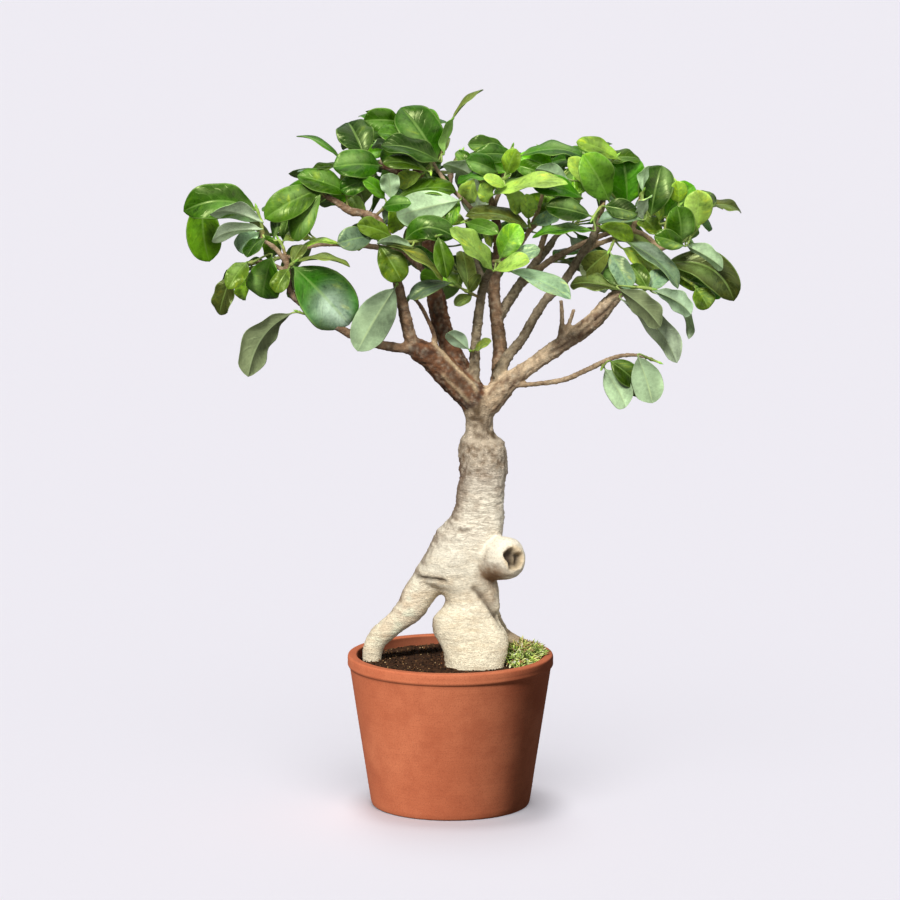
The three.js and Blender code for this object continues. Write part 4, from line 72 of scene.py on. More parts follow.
# roots, limbs and twigs: centre line points with radius: x, y, z, r
LIMBS = {
    "root_left": [(2.61, 0, 184.96, 12), (-10.48, 0, 169.43, 12.8), (-21.4, -1, 157.78, 12), (-27.97, -1, 145.92, 10.4), (-36.01, 0, 137.56, 8.9), (-44.8, 2, 129.72, 8.1), (-52.88, 4, 121.87, 7.5), (-57.31, 5, 111.23, 7.3), (-56.61, 5, 100.79, 6.8), (-52.98, 5, 89.58, 6), (-47.14, 4, 77.09, 4)],
    "root_right": [(21.56, 2, 153.49, 9), (26.7, 5, 140.27, 9), (31.87, 9, 129.05, 8.4), (38.5, 12, 120.98, 6.8), (47.35, 15, 116.25, 5.4), (54.7, 16, 113.58, 4.4), (59.87, 17, 109.85, 3.7), (60.26, 17, 101.99, 3.2), (57.71, 16, 87.96, 2.6)],
    "knob": [(24.4, -2, 180.9, 15), (33.71, -14, 184.23, 15.5), (41.52, -24, 186.45, 15.2), (45.05, -29, 187.38, 12.6)],
    "limb_left": [(19.93, 0, 296.62, 11.5), (11.98, -1, 304.79, 11.2), (-2.46, -5, 319.2, 10.3), (-13.97, -8, 330.51, 9.6), (-24.73, -11, 336.72, 8)],
    "limb_left_low": [(-18.28, -9, 333.55, 6.5), (-29.02, -13, 336.99, 3.9), (-41.17, -17, 338.97, 3.6), (-58.27, -22, 343.24, 3.3), (-71.75, -26, 349.53, 3.1), (-85.88, -30, 358.68, 2.9), (-100, -33, 367.67, 2.7), (-107.05, -34, 373.52, 2.6), (-111.97, -35, 377.94, 2.5), (-114.77, -35, 385.81, 2.3), (-115.4, -35, 397.97, 2.1), (-117.48, -35, 407.25, 1.9)],
    "tw_a1": [(-115.39, -35, 399.4, 1.9), (-123.75, -37, 411.75, 1.6), (-133.6, -38, 418.27, 1.4)],
    "tw_a2": [(-114.71, -35, 395.11, 1.8), (-126.97, -30, 399.55, 1.6), (-138.44, -28, 401.47, 1.7)],
    "limb_left_up": [(-23.3, -10, 334.41, 6.5), (-28.29, -13, 343.5, 5), (-31.82, -17, 358.47, 4.6), (-34.61, -21, 371.94, 4.2), (-37.4, -25, 384.64, 3.8), (-40.86, -30, 401.69, 3.4), (-43.64, -32, 417.63, 3.2), (-48.62, -30, 427.41, 3.1), (-54.36, -26, 434.13, 3.3)],
    "limb_left_top": [(-54.36, -26, 433.42, 3.2), (-62.93, -24, 436.07, 3), (-71.51, -22, 437.3, 2.8), (-82.16, -22, 444.44, 2.4), (-89.26, -22, 448.01, 1.8)],
    "tw_thin": [(-10.38, -6, 333.87, 2.2), (-11.8, -9, 346.6, 1.6), (-16.08, -13, 357.97, 1.4), (-21.78, -17, 369.29, 1.4), (-27.47, -20, 376.14, 1.2)],
    "limb_back": [(15.61, 3, 303.49, 9.5), (10.55, 6, 313.29, 8.2), (1.15, 12, 331.46, 7.4), (-6.82, 18, 352.59, 7), (-10.45, 22, 369.61, 6.6), (-14.08, 25, 391.15, 6), (-15.51, 24, 408.01, 5.4), (-16.93, 21, 425.03, 4.8), (-19.78, 17, 439.2, 4.2), (-22.61, 12, 452.68, 3.6), (-24.72, 8, 465.29, 3), (-28.27, 5, 477.05, 2.3)],
    "br_d": [(-21.91, 14, 448.89, 2.8), (-31.91, 8, 459.54, 2.5), (-44.74, 2, 465.83, 2.3), (-58.96, -3, 471.29, 2.1), (-70.32, -6, 475.13, 1.7)],
    "limb_mid": [(17.04, 0, 296.62, 7.6), (17.03, -1, 308.44, 4.6), (17.71, -4, 335.06, 3.9), (19.81, -9, 357.46, 3.6), (22.59, -18, 378.77, 3.3), (24.62, -30, 388.81, 3), (28.04, -44, 396.85, 2.7), (30.74, -55, 403.79, 2.2)],
    "limb_mid2": [(27.92, 4, 296.03, 7.6), (33.02, 9, 307.02, 5.7), (36, 19, 330.52, 5.4), (33.88, 28, 351.32, 5), (31.72, 33, 372.68, 4.6), (33.11, 30, 390.58, 4.1), (34.47, 24, 405.83, 3.7), (33.57, 12, 423.79, 3.2), (29.82, 0, 440.14, 2.6), (26.88, -7, 449.44, 2)],
    "limb_right": [(26.44, 0, 295.89, 10.3), (34.36, -1, 304.07, 9), (45.85, -4, 314.7, 6.9), (60.89, -7, 326.02, 5.7), (75.17, -10, 336.59, 5.9), (90.12, -13, 347.48, 6.2), (103.59, -16, 359.07, 6.1), (113.48, -18, 370.49, 5.5), (119.08, -20, 376.85, 4.4), (123.35, -20, 381.17, 3.4)],
    "limb_right_up": [(33.66, 2, 313.85, 5.2), (40.91, 6, 328.62, 4.2), (50.32, 9, 339.16, 3.8), (57.58, 12, 351.16, 3.6), (64.81, 14, 363.3, 3.5), (71.32, 15, 371.92, 3.4), (77.09, 15, 376.29, 3.3), (83.56, 15, 384.29, 3.2), (89.99, 14, 394.58, 3.2), (95.69, 13, 404.12, 3.1), (102.1, 12, 412.93, 2.9), (105.57, 10, 424.72, 2.6), (109.03, 8, 437.2, 2.3), (110.29, 5, 448.3, 1.9)],
    "tw_low_right": [(35.78, -3, 308, 3), (44.39, -6, 309.52, 2), (57.3, -9, 310.67, 1.7), (73.01, -14, 313.2, 1.8), (84.41, -17, 316.16, 1.9), (92.94, -19, 320.43, 1.9), (102.17, -21, 325.04, 1.9), (110.67, -23, 329.66, 1.7), (121.26, -26, 333.67, 1.5), (131.85, -29, 334.8, 1.3), (141.05, -31, 333.27, 1.1)],
    "tw_dead1": [(77.26, -12, 339.75, 3.2), (79.3, -15, 348.1, 2.2), (79.92, -17, 358.47, 1.7), (79.12, -18, 373.01, 1.3)],
    "tw_dead2": [(78.69, -12, 341.92, 2.4), (82.22, -13, 349.29, 1.6), (85.77, -13, 357.24, 1.4), (88.6, -13, 365.91, 1.2)],
    "tw_f1": [(93.57, 14, 401.11, 2.6), (102.16, 13, 407.75, 1.9), (112.16, 11, 412.31, 1.8), (122.15, 9, 416.14, 1.7), (131.42, 8, 423.48, 1.6), (134.9, 7, 433.69, 1.4), (136.22, 6, 443.88, 1.2)],
    "tw_f2": [(129.28, 8, 420.59, 1.8), (138.66, 8, 417.69, 1.7), (146.63, 8, 411.18, 1.8), (151.01, 8, 404.67, 2.2)],
    "tw_g1": [(150.27, 8, 406.84, 1.6), (158.73, 5, 409.34, 1.5), (167.17, 2, 413.27, 1.3)],
    "tw_f3": [(106.95, 9, 429.15, 1.7), (108.75, 0, 435.83, 1.5), (109.93, -6, 440.73, 1.3)],
    "tw_i1": [(35.29, 30, 389.12, 2.4), (41.75, 26, 399.05, 2), (50.33, 20, 408.44, 1.8), (57.41, 14, 420.68, 1.7), (62.33, 10, 432.66, 1.5), (65.14, 8, 441.52, 1.4), (66.53, 7, 449.55, 1.2)],
    "tw_i2": [(55.99, 15, 418.41, 1.5), (66.65, 9, 428.43, 1.3), (75.87, 5, 436.77, 1.2)],
    "tw_e1": [(33.6, 14, 419.96, 2), (24.15, 6, 426.57, 1.8), (14.02, -6, 438.58, 1.7), (6.84, -12, 446.34, 1.6), (-0.3, -10, 453.31, 1.5), (-7.45, -8, 462.43, 1.5), (-13.88, -6, 472.27, 1.3)],
    "tw_e2": [(30.57, 2, 437.07, 1.9), (35.62, 6, 449.64, 1.6), (39.22, 9, 463.76, 1.4), (42.8, 10, 475.19, 1.2)],
    "tw_d3": [(-23.31, 10, 457.91, 1.9), (-16.08, 4, 465.65, 1.5), (-8.88, -4, 472.81, 1.3)],
    "bk_left": [(-12.63, 24, 382.51, 4.4), (-23.64, 44, 393.39, 3.8), (-38.49, 66, 401.26, 3.2), (-53.54, 88, 407.78, 2.6), (-61.23, 104, 412.05, 1.9)],
    "bk_left2": [(-33.27, 58, 398.45, 2.6), (-54.65, 66, 401.99, 2.2), (-77.31, 62, 404.27, 1.8), (-101.31, 56, 403.81, 1.5), (-118.78, 52, 395.43, 1.3)],
    "bk_mid": [(-14.77, 22, 417.67, 3.8), (-9.77, 44, 428.52, 3.3), (-3.23, 66, 439.55, 2.8), (-0.3, 90, 450.57, 2.3), (1.18, 108, 456.36, 1.8)],
    "bk_mid2": [(-6.88, 56, 433.18, 2.4), (-23.78, 70, 445.05, 2.1), (-40.03, 80, 455.91, 1.7), (-51.88, 86, 464.23, 1.4)],
    "bk_right": [(34.62, 29, 354.12, 4.4), (45.08, 50, 367.7, 3.9), (58.66, 74, 384.1, 3.3), (72.39, 96, 397.99, 2.7), (78.7, 112, 405.24, 1.9)],
    "bk_right2": [(52.58, 62, 375.13, 2.8), (71.76, 68, 390.7, 2.5), (93.83, 70, 402.3, 2.2), (114.29, 68, 411.37, 1.9), (136.1, 64, 417.68, 1.5)],
    "bk_right3": [(63.23, 82, 389.12, 2.4), (72.04, 84, 415.61, 2.1), (80.81, 84, 437.82, 1.7), (85.13, 82, 449.83, 1.3)],
    "bk_low": [(33.9, 32, 366.94, 3.2), (26.09, 56, 375.83, 2.7), (20.39, 82, 384.67, 2.2), (17.55, 104, 391.14, 1.6)],
}
# leafy shoots: (name, kind of its first leaf in the CAD, stem points x y z r, leaves), and each leaf is
# (foot, base of blade, tip, direction of the upper face, (width, fold), bow, kind, tone step).
# A tone step makes the whole leaf lighter or darker: partly its own tone, partly painted light and shade for how
# brightly it is lit.
SHOOTS = [
    ("spray_a1", "md", [(-133.47, -38.5, 420.75, 1.25), (-133.79, -40.33, 430.37, 1.07), (-136.79, -42, 440.72, 0.9)], [
        ((-136.4, -41.78, 439.37), (-136.82, -41.67, 439.27), (-187.93, -49.67, 441.48), (0.154, -0.842, 0.517), (27.41, 0.218), (1.03, -2.25, 5.61), "md", -2),
        ((-134.47, -40.71, 432.7), (-133.08, -47.33, 432.04), (-166.82, -73.33, 443.13), (-0.277, 0.658, 0.7), (22.01, 0.167), (-0.61, 1.45, 1.54), "pw", 4),
        ((-133.69, -39.77, 427.42), (-133.28, -43.67, 426.69), (-168.37, -61.67, 422.21), (-0.41, 0.637, 0.653), (19.85, 0.238), (-0.81, 1.26, 1.3), "pw", 3),
        ((-136.79, -42, 440.72), (-175.98, -12, 447.05), (-172.24, -10, 399.45), (0.254, -0.967, -0.021), (25.35, 0.171), (-2.93, -2.29, 0.19), "gy", 2),
        ((-133.55, -38.96, 423.16), (-132.01, -41.5, 420.07), (-143.06, -63.5, 409.69), (-0.069, -0.397, 0.915), (13.36, 0.187), (-0.09, -0.53, 1.22), "dk", -5),
        ((-133.61, -39.31, 424.99), (-135.4, -38.37, 423.69), (-152.38, -32.33, 410.53), (-0.423, -0.896, 0.135), (14.91, 0.21), (-0.47, -1, 0.15), "bl", 6),
        ((-133.55, -38.96, 423.16), (-134.16, -25, 421.17), (-124.89, -11, 403.16), (0.541, -0.776, -0.324), (14.17, 0.207), (0.67, -0.96, -0.4), "gy", 1),
    ]),
    ("spray_a2", "lm", [(-140.82, -29.49, 401.38, 1.2), (-143.94, -31.39, 400.86, 1.07), (-146.75, -33, 399.17, 0.9)], [
        ((-145.1, -32.06, 400.16), (-144.48, -35.39, 402.3), (-157.27, -51.39, 385.61), (0.072, -0.747, 0.661), (14.91, 0.186), (0.1, -0.99, 0.87), "lm", -3),
        ((-146.75, -33, 399.17), (-155.6, -28, 392.87), (-165.28, -25, 363.08), (-0.302, -0.953, 0.002), (17.15, 0.319), (-0.47, -1.5, 0), "ol", -4),
        ((-141.6, -29.96, 401.25), (-143.12, -21, 390.63), (-151.01, -9, 371.92), (-0.693, -0.703, -0.159), (11.79, 0.334), (-0.82, -0.83, -0.19), "lm", 5),
        ((-141.6, -29.96, 401.25), (-126.61, -37.49, 406.81), (-134.38, -27.49, 374.88), (-0.337, -0.919, -0.206), (26.85, 0.163), (-0.58, -1.58, -0.35), "md", 0),
    ]),
    ("spray_a3", "dk", [(-118.04, -35.54, 410.1, 1.1), (-119.2, -36.06, 413.95, 0.97), (-121.63, -36, 418.06, 0.8)], [
        ((-121.63, -36, 418.06), (-125.17, -36, 418.06), (-119.14, -24, 437.5), (-0.697, -0.493, 0.52), (11.82, 0.251), (-0.82, -0.58, 0.62), "dk", -5),
        ((-120.4, -36.03, 415.98), (-119.03, -30.04, 416.7), (-100.56, -8.04, 419.38), (0.372, -0.413, 0.831), (12.7, 0.161), (0.54, -0.6, 1.2), "ol", 4),
        ((-118.59, -35.79, 411.94), (-119.76, -12.04, 414.78), (-114.38, -0.04, 433.67), (-0.137, -0.818, 0.559), (12.68, 0.254), (-0.16, -0.94, 0.64), "gy", -2),
    ]),
    ("spray_a4", "gl", [(-113.89, -37.15, 399.69, 1), (-112.19, -38.68, 401.23, 0.9), (-110.5, -40.2, 402.76, 0.8)], [
        ((-112.49, -38.41, 400.96), (-111.7, -38.68, 399.81), (-71.66, -28.68, 356.35), (0.36, -0.925, 0.119), (41.01, 0.161), (1.08, -2.77, 0.36), "gl", 1),
        ((-110.5, -40.2, 402.76), (-110.21, -40.2, 402.84), (-70.97, -50.2, 402.54), (-0.055, -0.246, 0.968), (17.82, 0.304), (-0.11, -0.5, 1.96), "ol", 2),
        ((-113.47, -37.53, 400.08), (-114.59, -38.28, 398.09), (-124.36, -44.15, 381.9), (-0.127, -0.905, 0.405), (14.17, 0.34), (-0.13, -0.9, 0.4), "lm", -4),
        ((-112.02, -38.83, 401.38), (-112.4, -38.68, 401.95), (-104.16, -28.68, 414.42), (0.012, -0.784, 0.621), (11.19, 0.295), (0.01, -0.7, 0.56), "ol", 1),
    ]),
    ("spray_a5", "op", [(-101.49, -35.07, 365.51, 1), (-104.28, -36.74, 365.48, 0.9), (-107.66, -38, 366.85, 0.8)], [
        ((-107.66, -38, 366.85), (-112.64, -38, 366.14), (-144.78, -42, 321.48), (-0.636, 0.661, 0.398), (28.14, 0.276), (-4.46, 1.7, 5.13), "op", 0),
    ]),
    ("spray_b1", "md", [(-90.89, -22.5, 449.84, 1.1), (-92.14, -23.17, 452.29, 0.97), (-91.3, -24, 455.33, 0.8)], [
        ((-91.77, -23.53, 453.63), (-93.88, -24.25, 452.72), (-131.3, -39.33, 434.77), (0.121, -0.87, 0.479), (23.12, 0.212), (0.27, -1.92, 1.06), "lg", -4),
        ((-91.2, -22.67, 450.46), (-85.85, -16, 454.58), (-118.94, -10, 445.43), (-0.256, -0.909, 0.33), (19.39, 0.169), (-0.45, -1.58, 0.58), "md", None),
        ((-91.82, -23, 451.66), (-91.9, -28.67, 450.08), (-112.68, -28.67, 417.27), (-0.371, -0.898, 0.235), (20.2, 0.176), (-0.72, -1.74, 0.46), "lg", -5),
    ]),
    ("spray_b2", "md", [(-73.41, -18.75, 440.2, 1.03), (-73.82, -15.44, 444.16, 0.93), (-73.8, -14, 449.39, 0.8)], [
        ((-73.8, -14.18, 448.74), (-71.56, -18, 449.77), (-108.25, -26, 463.35), (0.33, -0.862, 0.385), (20.76, 0.281), (0.66, -1.72, 0.77), "md", -1),
        ((-73.81, -14.57, 447.33), (-70.23, -14.52, 447.29), (-86.88, -6.52, 444.37), (-0.455, -0.827, 0.33), (12.68, 0.293), (-0.43, -0.77, 0.31), "md", 6),
        ((-73.8, -14, 449.39), (-73.78, -12, 465.65), (-99.26, -18, 466.9), (0.088, -0.171, 0.981), (13.1, 0.251), (0.12, -0.22, 1.29), "og", -2),
    ]),
    ("spray_c1", "bl", [(-46.38, -35.51, 418.65, 1.12), (-50, -41.01, 418.74, 0.97), (-54.05, -45, 421.15, 0.8)], [
        ((-54.05, -45, 421.15), (-54.76, -45, 421.86), (-79.15, -59, 418.39), (0.39, -0.795, 0.466), (17.9, 0.281), (0.55, -1.13, 0.66), "bl", -2),
        ((-47.29, -36.89, 418.67), (-41.43, -37.51, 420.35), (-65.14, -53.51, 431.25), (0.632, -0.651, 0.42), (15.92, 0.182), (0.97, -1, 0.64), "lm", -4),
        ((-51.63, -42.61, 419.71), (-50.52, -45.01, 417.6), (-4.54, -55.01, 392.43), (0.427, -0.234, 0.873), (23.48, 0.311), (1.14, -0.62, 2.33), "ol", 2),
        ((-49.24, -39.86, 418.72), (-50.63, -39.01, 414.82), (-34.3, -45.01, 389.84), (0.167, -0.928, 0.332), (20.88, 0.213), (0.25, -1.41, 0.51), "lm", -5),
        ((-53.54, -44.49, 420.84), (-77.23, -25, 413.3), (-107.3, -21, 412.15), (-0.054, -0.119, 0.991), (15.78, 0.251), (-0.08, -0.18, 1.5), "lm", 2),
    ]),
    ("spray_c2", "pl", [(-37.86, -29.74, 385.14, 1.1), (-38.05, -34.07, 385.89, 1), (-37.94, -38, 386.88, 0.9)], [
        ((-37.94, -38, 386.88), (-39.17, -38.35, 384.85), (-66.34, -46, 339.96), (-0.211, 0.977, -0.039), (27.59, 0.229), (-0.56, 2.59, -0.1), "pg", -2),
    ]),
    ("spray_c3", "dk", [(-40.42, -35.17, 416.7, 1.25), (-24.28, -44.19, 418.04, 1.02), (-9.48, -50, 422.39, 0.8)], [
        ((-34.86, -38.27, 417.16), (-32.51, -38.64, 417.42), (2.53, -45.74, 421.94), (-0.23, -0.902, 0.364), (20.13, 0.182), (-2.1, -2.3, 7.65), "dk", 0),
        ((-9.48, -50, 422.39), (-8.77, -50, 421.68), (-2.42, -56, 393.26), (0.224, -0.942, 0.249), (14.91, 0.204), (0.33, -1.4, 0.37), "og", 2),
        ((-36.24, -37.51, 417.05), (-34.38, -34.89, 412.23), (-9.56, -26.89, 397.76), (0.527, -0.653, 0.543), (14.91, 0.29), (0.79, -0.97, 0.81), "dk", None),
        ((-25.5, -43.5, 417.93), (-27.86, -48.15, 415.09), (-51.67, -60.15, 419.22), (-0.142, 0.562, 0.815), (13.49, 0.296), (-0.19, 0.76, 1.1), "pg", 3),
    ]),
    ("spray_c4", "bl", [(18.23, -18.34, 376.14, 1.04), (11.08, -23, 380.17, 0.93), (3.98, -28, 384.99, 0.8)], [
        ((3.98, -28, 384.99), (1.13, -28, 386.42), (-29.47, -34, 377.11), (-0.165, -0.489, 0.857), (16.27, 0.167), (-0.27, -0.8, 1.39), "bl", -4),
        ((5.8, -26.72, 383.76), (-0.3, -18, 383.81), (-21.82, -8, 390.57), (-0.238, -0.841, 0.485), (13.42, 0.311), (-0.29, -1.04, 0.6), "gy", 4),
        ((10.78, -23.21, 380.37), (8.28, -19, 381.05), (-3.17, -7, 391.18), (-0.184, -0.73, 0.658), (10.44, 0.215), (-0.18, -0.71, 0.64), "lm", -5),
        ((11.35, -22.83, 380.02), (13.25, -26, 379.73), (21.01, -36, 393.08), (-0.676, -0.722, -0.148), (9.57, 0.236), (-0.62, -0.66, -0.14), "ol", -1),
        ((15.77, -19.94, 377.53), (15.43, -20, 376.85), (3.26, -32, 371.13), (0.376, -0.681, 0.629), (9.69, 0.265), (0.34, -0.61, 0.57), "ol", 1),
        ((13.8, -21.23, 378.64), (12.57, -18, 380.21), (8.32, -2, 407.21), (0.352, -0.78, 0.518), (15.84, 0.17), (0.56, -1.23, 0.82), "ol", -1),
    ]),
    ("spray_c5", "pl", [(16.35, -8.65, 334.96, 0.86), (15.5, -11.25, 335.3, 0.78), (14.66, -13.84, 335.65, 0.7)], [
        ((14.66, -13.84, 335.65), (13.13, -14.95, 337.13), (-2.44, -25.84, 350.95), (-0.278, 0.882, 0.382), (12.68, 0.251), (-0.33, 1.04, 0.45), "pl", -1),
        ((16.14, -9.3, 335.04), (17.56, -10.96, 336.03), (29.03, -22.65, 344.05), (-0.775, -0.559, 0.294), (9.48, 0.331), (-0.71, -0.51, 0.27), "ol", 4),
    ]),
    ("spray_d1", "dk", [(-72.1, -8, 475.04, 1.1), (-74.3, -10.67, 474.55, 0.97), (-76.56, -14, 472.97, 0.8)], [
        ((-76.56, -14, 472.97), (-78.58, -13.74, 474.24), (-108.66, -10, 491.9), (0.459, -0.284, 0.842), (17.54, 0.185), (0.48, -0.3, 0.89), "md", -1),
        ((-72.65, -8.67, 474.92), (-49.45, -16, 468.87), (-81.67, -36, 470.64), (0.502, -0.774, 0.387), (23.86, 0.314), (0.95, -1.47, 0.73), "dk", 0),
        ((-74.97, -11.66, 474.08), (-61.41, -22, 476.52), (-73.08, -6, 500.14), (0.061, -0.812, 0.58), (27.59, 0.278), (0.09, -1.25, 0.89), "dk", -5),
        ((-76.56, -14, 472.97), (-55.76, -23, 460.94), (-78.44, -27, 452.77), (0.013, -0.912, 0.409), (16.41, 0.169), (0.02, -1.11, 0.5), "dk", 1),
        ((-72.65, -8.67, 474.92), (-72, 0, 446.62), (-62.48, -12, 432.72), (-0.032, -0.767, 0.64), (10.44, 0.226), (-0.03, -0.79, 0.66), "ly", 2),
        ((-72.65, -8.67, 474.92), (-68.24, 28, 470.75), (-48.18, 40, 475.51), (0.355, -0.791, 0.499), (11.93, 0.329), (0.42, -0.94, 0.59), "md", 4),
    ]),
    ("spray_d2", "md", [(-29.43, 4.7, 479.9, 1.22), (-32.49, 3.72, 487.36, 1.01), (-36.08, 2, 495.94, 0.8)], [
        ((-36.08, 2, 495.94), (-33.21, 2, 498.8), (-61.62, -8, 501.01), (0.334, -0.866, 0.372), (17.9, 0.214), (0.5, -1.31, 0.56), "md", -2),
        ((-30.19, 4.46, 481.76), (-20.32, -3.3, 482.06), (-51.5, -17.3, 493.2), (0.493, -0.588, 0.642), (17.26, 0.246), (0.89, -1.06, 1.15), "md", -2),
        ((-31.52, 4.04, 484.98), (-41.09, -0.78, 480.41), (-55.84, -14.78, 484.45), (-0.397, 0.615, 0.682), (10.37, 0.237), (-0.41, 0.64, 0.71), "pl", 6),
        ((-33.15, 3.41, 488.93), (-37.62, 9.06, 488.2), (-58, 25.06, 492.67), (-0.451, -0.721, 0.525), (17.9, 0.275), (-0.59, -0.95, 0.69), "dk", -4),
        ((-30.19, 4.46, 481.76), (-30.47, 10.7, 478), (-50.74, 18.7, 470.11), (-0.438, -0.864, 0.249), (14.91, 0.279), (-0.51, -1, 0.29), "md", 2),
    ]),
    ("spray_d3", "dk", [(-7.49, -4.69, 474.17, 1.22), (-3.01, -3.54, 485.88, 0.99), (0.42, 2, 497.37, 0.8)], [
        ((-6.37, -4.4, 477.1), (-8.87, -6.69, 472.33), (-34.52, -6.69, 510.17), (0.269, -0.946, 0.182), (32.81, 0.278), (0.61, -2.16, 0.42), "dk", 0),
        ((-6.09, -4.33, 477.82), (-10.35, 9.12, 478.14), (-21.95, 29.12, 506.78), (0.085, -0.8, 0.593), (19.39, 0.226), (0.16, -1.47, 1.09), "md", None),
        ((-6.37, -4.4, 477.1), (-4.58, -9, 476.82), (1.83, -17, 503.84), (-0.752, 0.561, 0.345), (14.45, 0.308), (-1.09, 0.81, 0.5), "md", 3),
        ((0.42, 2, 497.37), (1.13, 2, 500.94), (23.33, 8, 521.96), (-0.586, -0.365, 0.723), (13.71, 0.295), (-0.91, -0.57, 1.13), "ol", 3),
        ((-6.37, -4.4, 477.1), (-7.43, -12.69, 471.43), (-47.81, -26.69, 486.15), (0.449, -0.626, 0.637), (22.6, 0.328), (1.02, -1.42, 1.44), "dk", -5),
    ]),
    ("spray_d4", "pl", [(-51.08, -28.12, 436.43, 1.1), (-46.88, -30.45, 440.6, 0.97), (-42.15, -32, 446.13, 0.8)], [
        ((-42.15, -32, 446.13), (-42.15, -32, 446.84), (-44.09, -42, 466.22), (0.176, 0.868, 0.465), (14.91, 0.273), (0.19, 0.95, 0.51), "pg", 3),
        ((-43.46, -31.57, 444.61), (-38.18, -10, 446.14), (3.26, -18, 453.34), (-0.238, -0.468, 0.851), (21.41, 0.31), (-0.51, -1, 1.82), "og", 1),
        ((-45.12, -31.03, 442.66), (-46.54, -23.41, 446.01), (-61.23, -33.41, 461.19), (0.695, -0.684, 0.222), (12.15, 0.218), (0.81, -0.8, 0.26), "md", 0),
        ((-46.35, -30.62, 441.22), (-47.8, -34.45, 441.39), (-28.52, -48.45, 445.6), (-0.603, -0.74, 0.299), (12.68, 0.288), (-0.73, -0.9, 0.36), "dk", 0),
        ((-47.72, -29.99, 439.77), (-42.39, -15.69, 442.4), (-36.9, -1.69, 420.16), (0.398, -0.817, -0.416), (16.41, 0.332), (0.53, -1.1, -0.56), "lm", 6),
    ]),
    ("spray_d5", "ol", [(-13.87, -8, 471.02, 1.05), (-13.85, -13, 467.88, 0.93), (-13.83, -18, 464.76, 0.8)], [
        ((-13.83, -18, 464.76), (-16.02, -18.79, 465.35), (-47.08, -30, 473.66), (0.382, -0.466, 0.798), (14.98, 0.249), (0.65, -0.79, 1.36), "og", -2),
        ((-13.86, -9.85, 469.86), (-18.89, -6, 463.68), (-1.73, -2, 451.84), (0.353, -0.913, 0.203), (14.91, 0.334), (0.37, -0.97, 0.22), "dk", -4),
        ((-13.85, -13.19, 467.77), (-20.29, -10, 462.61), (-38.95, -4, 454.9), (-0.39, -0.884, 0.256), (13.42, 0.2), (-0.41, -0.93, 0.27), "ly", 5),
    ]),
    ("spray_e1", "lm", [(27.7, -9.44, 450.84, 1.24), (33.43, -16.93, 456.89, 1.02), (39.55, -20, 461.38, 0.8)], [
        ((30.42, -13, 453.72), (30.35, -17.44, 448.29), (82.66, -31.44, 459.59), (-0.297, -0.417, 0.859), (25.44, 0.193), (-0.82, -1.15, 2.38), "ly", -1),
        ((33.15, -16.56, 456.6), (33.17, -19.63, 452.78), (5.38, -29.63, 458), (0.261, -0.236, 0.936), (16.03, 0.178), (0.57, -0.15, 6.29), "dk", 3),
        ((37.3, -18.87, 459.73), (38.82, -22.45, 455.19), (23.78, -34.45, 462.7), (0.657, -0.742, 0.131), (9.69, 0.205), (0.68, -0.77, 0.14), "ly", 0),
        ((29.13, -11.31, 452.35), (26.06, -19.44, 443.48), (21.7, -29.44, 457.98), (0.437, -0.796, -0.418), (12.68, 0.307), (0.4, -0.72, -0.38), "ly", -1),
        ((39.37, -19.91, 461.24), (39.99, -20.7, 463.43), (46.49, -28, 482), (-0.39, -0.895, -0.215), (14.17, 0.165), (-0.41, -0.94, -0.23), "lm", 0),
        ((38.21, -19.33, 460.4), (45.63, 6, 467.63), (67.81, 2, 461.52), (-0.05, -0.909, 0.413), (13.42, 0.205), (-0.06, -1.06, 0.48), "md", -1),
        ((31.61, -14.55, 454.97), (41.97, 0, 463.14), (24.1, 6, 471.22), (-0.09, -0.885, 0.457), (14.91, 0.23), (-0.09, -0.91, 0.47), "md", 6),
        ((34.8, -17.62, 457.9), (38.93, -14.45, 454.44), (52, -4.45, 434.83), (0.484, -0.867, -0.12), (14.91, 0.313), (0.62, -1.11, -0.15), "ly", 0),
    ]),
    ("spray_e2", "md", [(25.97, -3.53, 449.58, 1.14), (19.74, -2.11, 459.39, 0.96), (14.73, -2, 465.47, 0.8)], [
        ((21.93, -2.61, 455.94), (33.3, -6.44, 463.72), (12.49, -22.44, 473.71), (0.646, -0.75, 0.145), (17.9, 0.208), (0.91, -1.05, 0.2), "dk", 0),
        ((14.73, -2, 465.47), (14.02, -2, 465.47), (5.43, 2, 478.74), (0.144, -0.918, 0.37), (11.19, 0.276), (0.12, -0.75, 0.3), "md", -2),
        ((20.76, -2.34, 457.78), (21.14, -8.26, 458.87), (-4.56, -22.26, 471.56), (-0.118, 0.777, 0.619), (15.95, 0.256), (-0.19, 1.24, 0.99), "pw", 5),
        ((19.51, -2.1, 459.67), (16.94, 8, 457.38), (10.53, 20, 438.91), (-0.451, -0.812, -0.371), (15.66, 0.339), (-0.52, -0.93, -0.43), "ly", 1),
    ]),
    ("spray_e3", "dk", [(43.25, 8.67, 476.74, 0.9), (43.85, 6.92, 478.78, 0.85), (44.45, 5.17, 480.81, 0.8)], [
        ((43.4, 8.23, 477.25), (41.18, 7.53, 477.81), (12.58, -1.33, 483.32), (0.343, -0.787, 0.514), (15.22, 0.263), (0.52, -1.2, 0.78), "md", -5),
        ((43.78, 7.13, 478.53), (44.85, 2.67, 474.38), (18.25, -9.33, 476.85), (0.404, -0.806, 0.432), (15.22, 0.287), (0.59, -1.18, 0.63), "dk", -2),
        ((43.4, 8.23, 477.25), (47.12, 10.67, 473.69), (73.89, 16.67, 465.96), (0.294, -0.901, 0.318), (16.41, 0.261), (0.42, -1.28, 0.45), "md", 6),
        ((44.32, 5.55, 480.37), (49.83, 0.67, 474.56), (95.13, 6.67, 476.19), (0.014, -0.361, 0.932), (22.87, 0.215), (-0.53, -0.75, 2.51), "dk", 0),
    ]),
